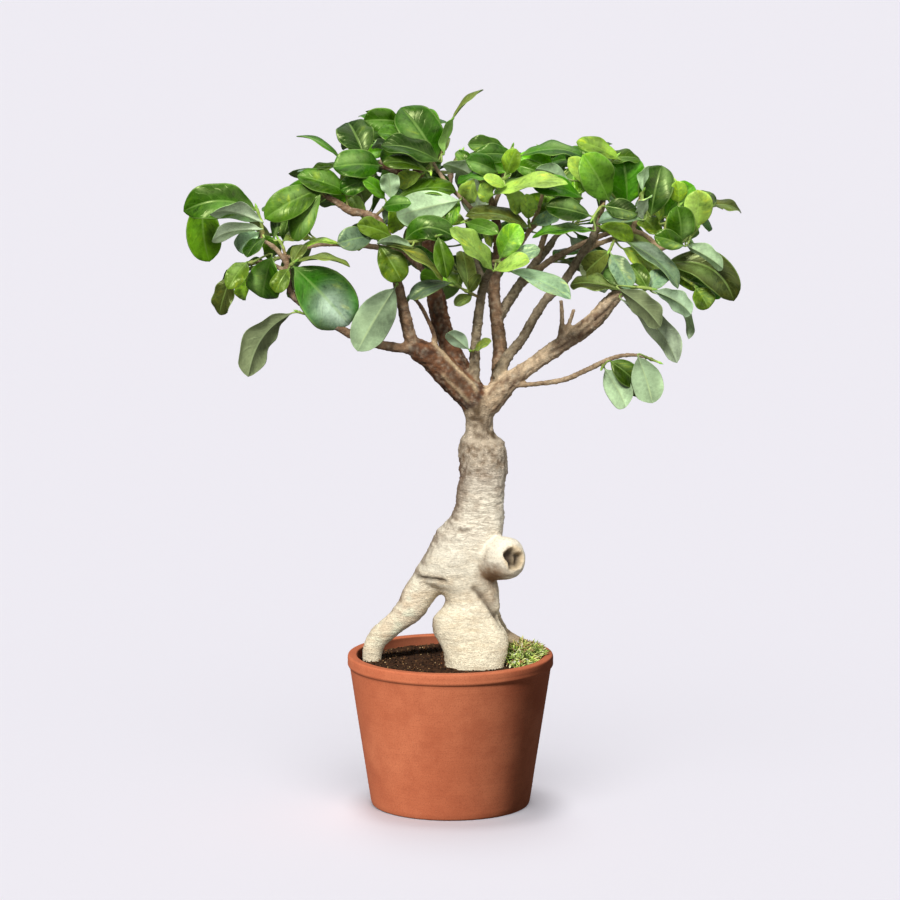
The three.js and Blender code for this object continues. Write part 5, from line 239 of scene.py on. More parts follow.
    ("spray_e4", "pl", [(7.58, -14.07, 445.58, 1.05), (7.46, -18.78, 445.44, 0.93), (6.82, -22, 445.16, 0.8)], [
        ((6.82, -22, 445.16), (6.81, -26, 445.55), (-38.55, -38, 435.35), (-0.262, 0.965, 0.028), (25.35, 0.275), (-0.63, 2.32, 0.07), "pg", 2),
        ((7.55, -15.25, 445.55), (6.5, -16.72, 443.97), (-1.01, -27.78, 428.61), (-0.268, -0.715, 0.646), (10.59, 0.168), (-0.27, -0.73, 0.66), "lg", -3),
    ]),
    ("spray_f1", "lm", [(109.62, 4.3, 451.17, 1.24), (110.1, 2.3, 464.1, 1.02), (118.59, 1, 473.81, 0.8)], [
        ((118.59, 1, 473.81), (121.47, 1, 471.66), (90.42, -5, 485.77), (0.413, -0.661, 0.627), (15.93, 0.314), (0.71, -1.14, 1.09), "lm", -1),
        ((109.74, 3.8, 454.4), (103.57, -2.06, 451.84), (84.5, -14.06, 474.4), (0.495, -0.868, -0.043), (14.91, 0.269), (0.79, -1.38, -0.07), "ly", 0),
        ((109.74, 3.8, 454.4), (113.67, -1.7, 442.47), (94.93, -21.7, 477.2), (0.49, -0.843, -0.221), (28.34, 0.211), (1.08, -1.87, -0.49), "lg", -1),
        ((109.74, 3.8, 454.4), (127.62, 22.3, 436.51), (123.67, 20.3, 475.02), (0.259, -0.966, -0.024), (29.83, 0.265), (0.5, -1.87, -0.05), "dk", 5),
        ((109.85, 3.33, 457.42), (84.28, 1, 458.02), (61.03, -13, 467.17), (-0.247, 0.783, 0.57), (14.32, 0.287), (-0.35, 1.12, 0.82), "pg", 2),
        ((110.05, 2.49, 462.83), (107.45, 8.3, 463.83), (83.24, 18.3, 477.36), (-0.092, -0.872, 0.48), (16.41, 0.237), (-0.14, -1.29, 0.71), "md", -2),
        ((111.81, 2.04, 466.05), (107.47, 9.83, 470.89), (136.74, 21.83, 471.28), (0.262, -0.663, 0.701), (15.82, 0.32), (0.41, -1.05, 1.11), "gy", -3),
        ((109.99, 2.78, 461), (109.39, 22.16, 464.03), (73, 40.16, 468.24), (-0.098, -0.411, 0.906), (20.41, 0.317), (-0.2, -0.84, 1.85), "dk", 0),
    ]),
    ("spray_f2", "pl", [(136.85, 4.53, 445.43, 1.05), (137.62, 2.71, 447.35, 0.98), (138.39, 0.9, 449.27, 0.9)], [
        ((137.44, 3.13, 446.91), (137.9, 2.31, 449.12), (140.54, -5.29, 468.63), (-0.595, 0.719, 0.36), (10.55, 0.19), (-0.63, 0.76, 0.38), "pg", 3),
        ((137.04, 4.08, 445.91), (137.77, -9.47, 429.59), (141.06, -27.47, 449.25), (-0.65, 0.503, 0.569), (13.43, 0.294), (-0.87, 0.68, 0.76), "pw", 3),
        ((137.04, 4.08, 445.91), (144.35, 8.53, 430.65), (151.56, 14.53, 466.87), (-0.234, -0.951, 0.204), (26.85, 0.221), (-0.44, -1.78, 0.38), "dk", -5),
        ((137.57, 2.84, 447.22), (136.78, -15.47, 430.2), (105.44, -13.47, 430), (-0.039, -0.517, 0.855), (15.7, 0.266), (-0.06, -0.81, 1.34), "bl", 0),
    ]),
    ("spray_f3", "md", [(76.62, 3.21, 437.87, 1.06), (80.29, -3.06, 441.68, 0.93), (86.95, -8, 444.52, 0.8)], [
        ((86.95, -8, 444.52), (94.04, -10, 445.43), (60.17, -22, 456.57), (0.433, -0.591, 0.68), (19.56, 0.275), (0.82, -1.11, 1.28), "dk", 4),
        ((77.54, 1.64, 438.83), (80.38, 12.94, 439.6), (51.74, 22.94, 437.17), (-0.33, -0.838, 0.434), (15.21, 0.323), (-0.5, -1.28, 0.66), "gy", 2),
        ((85.69, -7.06, 443.98), (88.55, -2, 446.09), (100.33, 10, 462.23), (0.014, -0.807, 0.59), (16.41, 0.172), (0.02, -0.94, 0.69), "gy", 6),
    ]),
    ("spray_f3b", "dk", [(108.68, -7.71, 439.76, 1.06), (104.79, -12.78, 436.23, 0.93), (101.77, -16, 431.69, 0.8)], [
        ((102.31, -15.42, 432.51), (100.08, -16.08, 433.1), (68.68, -25.36, 441.2), (0.343, -0.885, 0.315), (18.64, 0.276), (0.58, -1.49, 0.53), "dk", -5),
        ((101.77, -16, 431.69), (102.53, -16, 422.37), (58.15, -22, 419.42), (-0.01, -0.384, 0.923), (23.34, 0.232), (-0.02, -0.86, 2.07), "md", 0),
        ((107.52, -9.21, 438.71), (109.73, -11.71, 439.86), (133.88, -15.71, 434.53), (-0.061, -0.911, 0.409), (16.41, 0.188), (-0.08, -1.14, 0.51), "dk", -5),
        ((106.07, -11.11, 437.39), (105.87, -2, 424.51), (132.11, 6, 415.01), (0.408, -0.787, 0.464), (14.52, 0.315), (0.59, -1.14, 0.67), "lm", 2),
    ]),
    ("spray_f4", "lm", [(151.89, 9.36, 409.21, 1.25), (157.21, 13.56, 428.96, 1.02), (164.74, 14, 437.33, 0.8)], [
        ((164.74, 14, 437.33), (164.42, 13.27, 439.59), (162.81, 8, 455.94), (0.284, -0.92, -0.269), (14.17, 0.316), (0.24, -0.79, -0.23), "lm", 0),
        ((157.21, 13.56, 428.96), (154.17, 17.56, 429.73), (176.21, 27.56, 451.23), (-0.036, -0.891, 0.452), (19.39, 0.208), (-0.06, -1.44, 0.73), "md", 2),
        ((156.22, 12.78, 425.3), (150.77, 20.89, 425.05), (160.63, 34.89, 457.08), (-0.164, -0.884, 0.437), (19.39, 0.211), (-0.3, -1.61, 0.79), "ly", 1),
        ((153.99, 11.02, 417.02), (153.15, 23.45, 414.61), (137.03, 37.45, 428.45), (-0.149, -0.777, 0.612), (15.66, 0.22), (-0.19, -0.99, 0.78), "lm", -2),
    ]),
    ("spray_g1", "lm", [(168.64, 0.41, 414.25, 1.14), (172.67, -3.72, 417.56, 0.97), (176.61, -7, 422.87, 0.8)], [
        ((176.61, -7, 422.87), (176.6, -7, 423.59), (176.59, -15, 451.63), (0.24, -0.934, -0.266), (21.63, 0.247), (0.35, -1.36, -0.39), "ly", 3),
        ((174.91, -5.59, 420.58), (173.57, 3, 426.88), (188.49, 15, 447.35), (-0.031, -0.852, 0.522), (16.41, 0.32), (-0.04, -1.19, 0.73), "og", -4),
        ((170.96, -1.97, 416.15), (165.09, -9.59, 413.8), (162.06, -21.59, 440.12), (0.304, -0.88, -0.366), (22.37, 0.189), (0.44, -1.28, -0.53), "md", -1),
        ((169.65, -0.63, 415.08), (169.14, -1.59, 410.77), (195.54, -17.59, 395.99), (0.57, 0.81, 0.141), (17.11, 0.319), (0.97, 1.39, 0.24), "pg", 1),
        ((172.67, -3.72, 417.56), (166.92, -15.59, 411.57), (145.74, -23.59, 419.59), (0.425, -0.868, 0.256), (14.91, 0.252), (0.51, -1.04, 0.31), "md", -4),
        ((176.43, -6.85, 422.63), (181.7, 20, 435.28), (211.59, 34, 432.44), (0.252, -0.356, 0.9), (14.6, 0.231), (0.42, -0.57, 2.21), "ol", -1),
    ]),
    ("spray_g2", "ol", [(151.03, 8, 401.77, 1.3), (158.25, 3.44, 392.6, 1.05), (175.25, 0, 381.69, 0.8)], [
        ((155.53, 5.15, 396.05), (153.57, 0.49, 396.83), (204.47, -5.51, 372.22), (0.196, -0.779, 0.596), (26.84, 0.167), (5.65, -2.1, 9.74), "ol", -5),
        ((175.25, 0, 381.69), (176.31, -0.5, 379.6), (185.95, -4, 365.52), (0.16, -0.926, 0.34), (17.9, 0.282), (0.14, -0.81, 0.3), "lm", -4),
        ((170.32, 1, 384.85), (171.3, 6.94, 384.5), (198.03, 16.94, 373.14), (0.45, -0.832, 0.326), (15.36, 0.26), (0.69, -1.28, 0.5), "dk", 4),
        ((155.12, 5.42, 396.58), (156.94, 9.96, 395.76), (180.56, 15.96, 377.63), (0.367, -0.913, 0.176), (16.41, 0.298), (0.56, -1.39, 0.27), "lm", 1),
    ]),
    ("spray_h1", "bl", [(118.31, 6.83, 414.49, 1.17), (116.47, -8, 412.91, 1), (113.18, -20, 408.46, 0.8)], [
        ((113.18, -20, 408.46), (114.35, -20.88, 406.56), (127.82, -32, 382.6), (0.101, -0.88, 0.465), (17.15, 0.299), (0.15, -1.3, 0.69), "bl", 0),
        ((117.45, -0.1, 413.75), (126.79, -1.17, 412.89), (164.34, -15.17, 382.76), (0.393, -0.544, 0.742), (25.07, 0.307), (0.98, -1.36, 1.86), "bl", -1),
        ((117.85, 3.12, 414.1), (123.43, 3.71, 408.03), (147.88, 15.71, 392.2), (0.502, -0.855, 0.128), (16.41, 0.178), (0.79, -1.35, 0.2), "ly", 4),
        ((115.86, -10.24, 412.08), (114.36, -8, 407.15), (95.55, 6, 388.23), (-0.565, -0.824, -0.048), (17.9, 0.176), (-0.85, -1.24, -0.07), "ol", 1),
    ]),
    ("spray_h2", "dk", [(126.51, -23, 382.42, 1.27), (132.78, -27, 383.36, 1.11), (143.48, -32, 382.6, 0.9)], [
        ((128.08, -24, 382.66), (120.92, -27, 381.29), (85.59, -15, 384.9), (-0.097, -0.539, 0.837), (18.74, 0.307), (-0.18, -1.01, 1.57), "ol", -3),
        ((130.39, -25.48, 383.01), (128.67, -24.34, 384.24), (111.3, -15, 395.69), (-0.113, -0.847, 0.519), (17.9, 0.234), (-0.13, -0.97, 0.59), "dk", -5),
        ((136.68, -28.82, 383.08), (139.69, -22, 380.69), (156.14, -6, 393.23), (0.22, -0.732, 0.645), (14.91, 0.209), (0.29, -0.96, 0.84), "bl", 1),
        ((132.78, -27, 383.36), (119.21, -51, 384.85), (149.22, -63, 360.02), (0.501, 0.843, 0.198), (20.38, 0.329), (1.02, 1.72, 0.4), "op", -1),
        ((130.57, -25.59, 383.03), (121.05, -42, 376.64), (163.07, -46, 333.51), (0.65, 0.481, 0.588), (30.18, 0.191), (1.96, 1.45, 1.78), "pw", 4),
        ((142.9, -31.73, 382.64), (144.81, -32.78, 381.64), (171.88, -48, 367.39), (0.58, 0.762, 0.288), (17.08, 0.22), (0.99, 1.3, 0.49), "pl", 0),
        ((141.41, -31.03, 382.75), (146.24, -20, 378.29), (171.79, -16, 345.34), (0.661, 0.485, 0.572), (21.74, 0.302), (5.34, 1.03, 4.39), "pw", 6),
        ((128.08, -24, 382.66), (125.95, -9, 381.31), (93.32, 5, 395.59), (0.37, 0.927, -0.063), (19.39, 0.334), (0.71, 1.77, -0.12), "op", None),
        ((139.48, -30.13, 382.88), (140.88, -27, 382), (128.36, -17, 398.8), (0.025, -0.851, 0.525), (14.91, 0.275), (0.03, -0.99, 0.61), "og", 0),
    ]),
    ("spray_i1", "lg", [(31.99, -57.69, 405.2, 1.18), (34.2, -60.51, 405.37, 1.01), (38.42, -62, 401.04, 0.8)], [
        ((32.54, -58.39, 405.24), (30, -59.69, 398.65), (0.4, -69.69, 430.1), (0.663, -0.614, 0.428), (21.28, 0.258), (1.47, -1.36, 0.95), "ly", -3),
        ((33.68, -59.85, 405.33), (34.81, -60.31, 407.39), (48.13, -66, 431.84), (-0.368, -0.93, -0.016), (18.64, 0.236), (-0.52, -1.32, -0.02), "lg", 0),
        ((35.13, -60.84, 404.41), (37.28, -61.47, 405.26), (62.9, -66.89, 415.01), (-0.316, -0.886, 0.339), (12.85, 0.288), (-0.44, -1.24, 0.47), "bl", 2),
        ((36.25, -61.23, 403.26), (30.64, -65.69, 399.33), (54.81, -87.69, 408.87), (-0.632, -0.409, 0.658), (15.66, 0.284), (-1.08, -0.7, 1.12), "ly", 0),
        ((38.42, -62, 401.04), (41.21, -64, 399.14), (84.56, -76, 381.47), (0.211, -0.486, 0.848), (23.2, 0.309), (0.51, -1.18, 2.05), "bl", 2),
    ]),
    ("spray_i2", "ol", [(57.08, 10.93, 422.72, 1.05), (56.43, 3.72, 425.76, 0.93), (56.36, -2, 428.11, 0.8)], [
        ((56.41, 1.5, 426.68), (57.13, -0.07, 422.87), (12.53, -20.07, 436.4), (0.443, -0.472, 0.762), (22.32, 0.229), (1.12, -1.2, 1.93), "ol", -1),
        ((56.39, 0.28, 427.17), (56.06, -0.76, 429.31), (54.73, -9.74, 447.55), (0.284, -0.868, -0.407), (12.68, 0.333), (0.29, -0.88, -0.41), "ly", 2),
        ((56.67, 6.37, 424.64), (58.69, 6.38, 425.09), (78.69, 2.38, 431.99), (-0.287, -0.907, 0.308), (11.93, 0.207), (-0.31, -0.98, 0.33), "bl", 6),
    ]),
    ("spray_i3", "lg", [(18.16, -2.7, 431.18, 1.06), (13.11, -13.84, 430.4, 0.93), (8.96, -22, 429.44, 0.8)], [
        ((8.96, -22, 429.44), (10.97, -23.23, 428.97), (33.7, -40, 423.46), (-0.374, -0.705, 0.602), (13.81, 0.299), (-0.54, -1.01, 0.87), "lg", -4),
        ((14.61, -10.53, 430.63), (11.15, -8.78, 428.09), (-7.47, -2.78, 431.79), (-0.196, -0.878, 0.438), (11.93, 0.167), (-0.19, -0.87, 0.44), "ly", 2),
        ((16.07, -7.33, 430.86), (11.17, -4.78, 426.24), (18.43, 7.22, 400.41), (0.583, -0.787, -0.202), (14.69, 0.309), (0.86, -1.16, -0.3), "dk", None),
        ((16.9, -5.48, 430.99), (16.97, 8.11, 427.8), (31.61, 28.11, 408.29), (0.836, -0.545, 0.068), (16.4, 0.329), (1.32, -0.86, 0.11), "ly", 6),
    ]),
    ("spray_j1", "pg", [(142.77, -31.49, 332.27, 0.9), (145.27, -32.19, 331.35, 0.85), (147.76, -32.9, 330.43, 0.8)], [
        ((143.4, -31.66, 332.04), (133.38, -42.49, 335.9), (144.01, -48.49, 303.01), (0.235, 0.967, -0.1), (23.12, 0.334), (0.41, 1.7, -0.18), "pg", 0),
        ((143.4, -31.66, 332.04), (139.47, -19.49, 329.9), (132.13, -11.49, 301.94), (-0.337, -0.925, -0.176), (16.41, 0.329), (-0.51, -1.39, -0.26), "ol", None),
    ]),
    ("spray_j2", "pg", [(109.69, -24, 327.14, 0.93), (109.01, -26.52, 326.28, 0.87), (108.32, -29.04, 325.41, 0.8)], [
        ((109.35, -25.26, 326.71), (110.43, -25.81, 324.64), (126.17, -34, 297.99), (0.267, 0.954, -0.135), (21.63, 0.286), (0.43, 1.53, -0.22), "pg", 2),
        ((108.86, -27.05, 326.1), (113.98, -30, 330.61), (134.37, -24, 313.17), (0.388, -0.911, 0.141), (17.9, 0.179), (0.53, -1.25, 0.19), "og", -1),
    ]),
    ("spray_back_01", "ol", [(-62.12, 104.39, 414.95, 1.28), (-65.93, 109.85, 421.36, 1.05), (-70.13, 115.89, 428.05, 0.8)], [
        ((-70.13, 115.89, 428.05), (-74.1, 118.83, 430.19), (-109.32, 144.91, 433.42), (0.421, 0.473, 0.774), (21.5, 0.353), (1.3, 1.46, 2.38), "ol", None),
        ((-68.45, 113.48, 425.38), (-73.4, 113.67, 429.43), (-119.91, 115.45, 452.9), (0.411, 0.476, 0.778), (25.04, 0.235), (1.5, 1.74, 2.84), "md", None),
        ((-67.61, 112.27, 424.04), (-66.14, 113.93, 430.93), (-51.78, 130.13, 478.44), (-0.924, -0.176, 0.339), (26.72, 0.353), (-3.38, -0.64, 1.24), "ol", None),
        ((-66.77, 111.07, 422.7), (-72.07, 108.64, 425.7), (-120.63, 86.45, 439.83), (-0.013, 0.558, 0.83), (27.34, 0.204), (-0.05, 2.16, 3.21), "ol", None),
        ((-65.1, 108.66, 419.96), (-65.07, 107.95, 426.9), (-64.84, 102.26, 470.75), (-1, -0.027, 0.002), (24.12, 0.277), (-3.09, -0.08, 0.01), "bl", None),
        ((-64.26, 107.46, 418.55), (-65.37, 115.29, 415.51), (-69.8, 146.57, 392.5), (-0.363, 0.518, 0.774), (18.61, 0.23), (-0.99, 1.42, 2.12), "dk", None),
    ]),
    ("spray_back_02", "dk", [(-48.96, 77.75, 408.76, 1.22), (-53.64, 81.53, 413.25, 1.05), (-60.7, 87.23, 419.64, 0.8)], [
        ((-60.7, 87.23, 419.64), (-65.05, 87.22, 423.84), (-93.66, 87.11, 439.97), (0.489, 0.089, 0.868), (16.85, 0.289), (1.12, 0.2, 1.99), "dk", None),
        ((-57.88, 84.96, 417.09), (-63.06, 81.66, 423.7), (-92.01, 63.27, 449.25), (0.275, 0.605, 0.747), (21.87, 0.165), (0.82, 1.81, 2.24), "ol", None),
        ((-56.47, 83.82, 415.82), (-60.3, 80.95, 419.37), (-94.32, 55.42, 438.84), (0.186, 0.427, 0.885), (23.73, 0.165), (0.61, 1.4, 2.9), "dk", None),
        ((-53.64, 81.53, 413.25), (-48.98, 87.5, 418.38), (-25.89, 117.02, 433.36), (-0.463, -0.085, 0.882), (20.5, 0.247), (-1.31, -0.24, 2.49), "bl", None),
        ((-52.25, 80.4, 411.91), (-49.73, 87.87, 414), (-31.94, 140.62, 416.28), (-0.274, 0.051, 0.96), (27.38, 0.188), (-1.07, 0.2, 3.75), "md", None),
    ]),
    ("spray_back_03", "bl", [(-57.32, 91.57, 412.26, 1.3), (-62.54, 92.97, 421.3, 1.05), (-67.75, 94.38, 429.91, 0.8)], [
        ((-67.75, 94.38, 429.91), (-73.4, 93.32, 435.42), (-111.33, 86.22, 458.43), (0.422, 0.394, 0.817), (23.99, 0.179), (1.33, 1.24, 2.57), "bl", None),
        ((-65.67, 93.82, 426.47), (-65.96, 90.55, 432.05), (-68.9, 57.52, 470.79), (-0.178, 0.756, 0.631), (27.8, 0.333), (-0.63, 2.7, 2.25), "bl", None),
        ((-63.59, 93.26, 423.03), (-64.25, 87.68, 430.11), (-68.86, 48.52, 461.36), (0.008, 0.623, 0.782), (28.05, 0.193), (0.03, 2.19, 2.75), "ly", 5),
        ((-62.54, 92.97, 421.3), (-58.34, 95.72, 428.12), (-30.2, 114.09, 461.13), (-0.802, 0.3, 0.517), (23.77, 0.168), (-2.64, 0.99, 1.7), "md", None),
        ((-61.52, 92.7, 419.53), (-58.56, 92.59, 424.43), (-29.76, 91.48, 455.45), (-0.708, 0.237, 0.665), (22.14, 0.266), (-2.1, 0.7, 1.97), "md", None),
    ]),
    ("spray_back_04", "dk", [(-120.95, 52.08, 396.17, 1.25), (-127.63, 51.34, 395.05, 1.05), (-135.99, 50.41, 393.31, 0.8)], [
        ((-135.99, 50.41, 393.31), (-141.74, 54.09, 391.12), (-168.41, 71.18, 372.26), (-0.54, 0.082, 0.838), (20.52, 0.316), (-1.39, 0.21, 2.16), "dk", None),
        ((-132.64, 50.78, 394), (-137.71, 53.82, 390.82), (-170.04, 73.22, 359.77), (-0.582, 0.261, 0.77), (24.36, 0.161), (-1.99, 0.89, 2.63), "md", None),
        ((-130.97, 50.97, 394.35), (-135.64, 45.78, 394.18), (-160.24, 18.49, 383.24), (-0.525, 0.136, 0.84), (18.51, 0.29), (-1.41, 0.36, 2.26), "dk", None),
        ((-127.63, 51.34, 395.05), (-132.31, 48.97, 402.34), (-161.92, 33.98, 434.72), (0.62, 0.321, 0.716), (23.45, 0.303), (2.01, 1.04, 2.32), "ol", None),
        ((-125.96, 51.53, 395.33), (-128.84, 44.85, 393.94), (-143.35, 11.31, 377.6), (-0.444, -0.23, 0.866), (19.55, 0.212), (-1.25, -0.64, 2.43), "lg", None),
    ]),
    ("spray_back_05", "md", [(-90.54, 61.29, 405.82, 1.25), (-97.33, 62.92, 407.29, 1.05), (-105.81, 64.95, 408.79, 0.8)], [
        ((-105.81, 64.95, 408.79), (-114.41, 66.59, 409.1), (-157.95, 74.86, 402.1), (-0.136, 0.114, 0.984), (20.82, 0.209), (-0.43, 0.36, 3.09), "md", None),
        ((-102.42, 64.14, 408.19), (-106.96, 67.55, 412.76), (-137.92, 90.78, 431.58), (0.123, -0.521, 0.845), (20.71, 0.286), (0.37, -1.57, 2.55), "md", None),
        ((-100.72, 63.73, 407.89), (-104.07, 65.8, 400.93), (-117.36, 73.97, 362.87), (-0.934, 0.093, 0.346), (22.68, 0.275), (-2.69, 0.27, 1), "dk", None),
        ((-97.33, 62.92, 407.29), (-101.67, 58.99, 411.13), (-133.6, 30.06, 427.24), (0.04, 0.452, 0.891), (21.49, 0.224), (0.13, 1.46, 2.87), "dk", None),
        ((-95.64, 62.52, 406.92), (-99.48, 66.79, 404.5), (-121.38, 91.16, 379.31), (-0.408, 0.453, 0.793), (21.02, 0.226), (-1.18, 1.31, 2.29), "md", None),
    ]),
    ("spray_back_06", "md", [(2.1, 110.37, 457.87, 1.28), (4.26, 120.41, 462.28, 1.05), (6.62, 131.36, 466.6, 0.8)], [
        ((5.68, 126.98, 464.87), (11.47, 127.83, 464.04), (47.06, 133.06, 447.21), (0.415, 0.089, 0.905), (21.43, 0.31), (1.15, 0.25, 2.52), "md", None),
        ((5.2, 124.79, 464.01), (10.38, 126.48, 461.14), (43.34, 137.22, 432.91), (0.435, 0.546, 0.716), (23.69, 0.301), (1.36, 1.71, 2.24), "md", None),
        ((4.73, 122.6, 463.14), (7.11, 124.99, 458.39), (23.17, 141.18, 413.36), (0.225, 0.888, 0.4), (26.9, 0.215), (0.8, 3.14, 1.41), "pw", 6),
        ((3.79, 118.23, 461.32), (10.07, 120.17, 463), (47.16, 131.6, 461.77), (-0.042, 0.24, 0.97), (20.05, 0.349), (-0.11, 0.65, 2.64), "md", None),
        ((3.32, 116.05, 460.36), (-0.79, 120.32, 457.92), (-23.27, 143.7, 433.09), (-0.502, 0.355, 0.789), (18.99, 0.195), (-1.43, 1.02, 2.26), "md", None),
    ]),
    ("spray_back_07", "dk", [(-3.96, 75.06, 447.21, 1.32), (-10.36, 78.16, 459.06, 1.05), (-16.37, 81.08, 469.68, 0.8)], [
        ((-16.37, 81.08, 469.68), (-21.41, 83.32, 474.54), (-54.63, 98.11, 495.21), (0.435, -0.237, 0.869), (20.33, 0.183), (1.27, -0.69, 2.54), "dk", None),
        ((-13.97, 79.92, 465.44), (-16.73, 74.73, 470.21), (-39.31, 32.19, 491.65), (0.114, 0.398, 0.91), (28.45, 0.258), (0.42, 1.47, 3.36), "dk", None),
        ((-11.57, 78.75, 461.19), (-11.63, 85.23, 465.02), (-12.05, 129.59, 480.82), (0.223, -0.325, 0.919), (21.82, 0.184), (0.74, -1.07, 3.03), "ol", None),
        ((-9.18, 77.59, 456.87), (-13.67, 74.54, 460.14), (-54.11, 47.04, 475.02), (0.332, 0.021, 0.943), (27.46, 0.268), (1.19, 0.08, 3.37), "md", None),
        ((-7.98, 77.01, 454.66), (-10.6, 85.59, 455.56), (-23.34, 127.24, 449.97), (-0.054, 0.116, 0.992), (20.26, 0.19), (-0.17, 0.36, 3.05), "dk", None),
    ]),
    ("spray_back_08", "dk", [(1.93, 96.14, 455.76, 1.27), (4.97, 100.62, 461.92, 1.05), (8.5, 105.82, 468.71, 0.8)], [
        ((7.09, 103.74, 466), (12.45, 104.74, 466.19), (52.83, 112.27, 455.76), (0.231, 0.102, 0.968), (23.49, 0.28), (0.68, 0.3, 2.87), "dk", None),
        ((6.39, 102.7, 464.64), (10.02, 106.3, 462.83), (32.98, 129, 439.15), (0.296, 0.529, 0.795), (18.49, 0.178), (0.83, 1.48, 2.23), "lg", None),
        ((4.97, 100.62, 461.92), (11.46, 96.96, 463.8), (59.48, 69.92, 464.91), (0.124, 0.259, 0.958), (29.14, 0.219), (0.48, 1, 3.7), "md", None),
        ((4.28, 99.6, 460.51), (11.7, 102.49, 460.71), (47.91, 116.58, 453.5), (0.157, 0.099, 0.983), (21.89, 0.352), (0.44, 0.27, 2.72), "md", None),
    ]),
    ("spray_back_09", "md", [(-50.45, 86.56, 466.29, 1.31), (-51.82, 90.75, 475.58, 1.05), (-53.14, 94.82, 484.24, 0.8)], [
        ((-53.14, 94.82, 484.24), (-54.46, 101.38, 487.79), (-61.9, 138.53, 494.68), (-0.138, -0.207, 0.968), (19.46, 0.267), (-0.37, -0.56, 2.61), "md", None),
        ((-52.61, 93.19, 480.78), (-49.29, 99.55, 479.71), (-33.29, 130.09, 463.61), (0.046, 0.447, 0.894), (17.78, 0.32), (0.12, 1.19, 2.38), "ol", None),
        ((-52.08, 91.57, 477.32), (-48.34, 96.51, 480.85), (-24.82, 127.57, 489.98), (-0.259, -0.087, 0.962), (20.16, 0.327), (-0.72, -0.24, 2.69), "lg", None),
        ((-51.82, 90.75, 475.58), (-54.82, 95.95, 477.42), (-76.4, 133.3, 477.32), (-0.136, -0.076, 0.988), (20.95, 0.305), (-0.41, -0.23, 2.98), "md", None),
        ((-51.55, 89.95, 473.8), (-53.57, 94.61, 474.9), (-75.25, 144.72, 470.09), (-0.208, 0.004, 0.978), (27.62, 0.324), (-0.8, 0.02, 3.75), "md", None),
    ]),
    ("spray_back_10", "md", [(-31.76, 77.17, 453.89, 1.33), (-30.04, 83.46, 465.7, 1.05), (-28.49, 89.14, 475.91, 0.8)], [
        ((-28.49, 89.14, 475.91), (-25.68, 95.21, 480.1), (-8.17, 133.01, 493.09), (0.113, -0.369, 0.922), (23.52, 0.176), (0.35, -1.13, 2.82), "md", None),
        ((-29.11, 86.87, 471.83), (-27.36, 92.85, 470.72), (-13.61, 139.97, 450.48), (-0.128, 0.423, 0.897), (27.72, 0.292), (-0.48, 1.57, 3.33), "dk", None),
        ((-29.73, 84.6, 467.76), (-32.75, 83.08, 472.84), (-60.27, 69.19, 503.66), (0.498, 0.532, 0.685), (24.39, 0.309), (1.52, 1.62, 2.09), "md", None),
        ((-30.35, 82.34, 463.61), (-34.23, 90.22, 463.76), (-52.7, 127.74, 453), (-0.319, 0.113, 0.941), (22.49, 0.206), (-0.97, 0.34, 2.84), "md", None),
        ((-30.66, 81.21, 461.49), (-34.19, 82.34, 467.23), (-59.43, 90.39, 496.13), (0.761, 0.065, 0.646), (20.3, 0.18), (2.09, 0.18, 1.77), "ol", None),
    ]),
    ("spray_back_11", "md", [(81.03, 113.79, 406.07, 1.28), (87.67, 122.62, 409.85, 1.05), (94.76, 132.07, 413.38, 0.8)], [
        ((94.76, 132.07, 413.38), (102.1, 133.19, 414.59), (141.76, 139.23, 408.62), (0.147, 0.012, 0.989), (22.64, 0.256), (0.42, 0.03, 2.81), "md", None),
        ((91.93, 128.29, 411.97), (99.19, 127.81, 412.74), (148.24, 124.52, 402.31), (0.217, 0.27, 0.938), (23.18, 0.257), (0.76, 0.95, 3.3), "md", None),
        ((90.51, 126.41, 411.26), (93.74, 127.48, 419.33), (116.53, 135.01, 461.24), (-0.814, 0.455, 0.361), (22.61, 0.313), (-2.75, 1.54, 1.22), "lg", None),
        ((89.09, 124.52, 410.56), (93.61, 126.39, 406.2), (123.7, 138.86, 362.45), (0.559, 0.612, 0.559), (25.92, 0.211), (2.14, 2.34, 2.13), "dk", None),
        ((86.26, 120.75, 409.05), (95.07, 119.52, 408.57), (140.07, 113.27, 396.23), (0.282, 0.165, 0.945), (22.59, 0.355), (0.93, 0.54, 3.11), "lg", None),
        ((84.84, 118.86, 408.24), (88.34, 119.81, 404.63), (117.13, 127.57, 361.87), (0.545, 0.68, 0.491), (28.74, 0.206), (1.99, 2.48, 1.79), "pl", 6),
    ]),
    ("spray_back_12", "md", [(68.49, 89.7, 398.74, 1.31), (68.84, 91.07, 411.48, 1.05), (69.19, 92.42, 423.49, 0.8)], [
        ((69.19, 92.42, 423.49), (72.53, 97.29, 429.82), (92.77, 126.8, 455.33), (-0.13, -0.596, 0.792), (24.49, 0.289), (-0.4, -1.83, 2.44), "md", None),
        ((69.05, 91.88, 418.7), (66.44, 99.29, 422.85), (52.57, 138.61, 430.92), (0.572, 0.034, 0.82), (19.8, 0.227), (1.7, 0.1, 2.44), "md", None),
        ((68.91, 91.34, 413.9), (69.8, 83.97, 419.32), (75.86, 33.27, 438.99), (-0.109, 0.348, 0.931), (26.59, 0.296), (-0.42, 1.33, 3.57), "md", None),
        ((68.84, 91.07, 411.48), (74.52, 94.16, 418.18), (111.02, 114, 445.18), (-0.651, 0.205, 0.731), (25.15, 0.172), (-2.26, 0.71, 2.53), "md", None),
        ((68.78, 90.81, 409.04), (63.6, 92.91, 409.63), (18.07, 111.43, 402.83), (-0.104, 0.108, 0.989), (27.23, 0.331), (-0.36, 0.37, 3.43), "dk", None),
    ]),
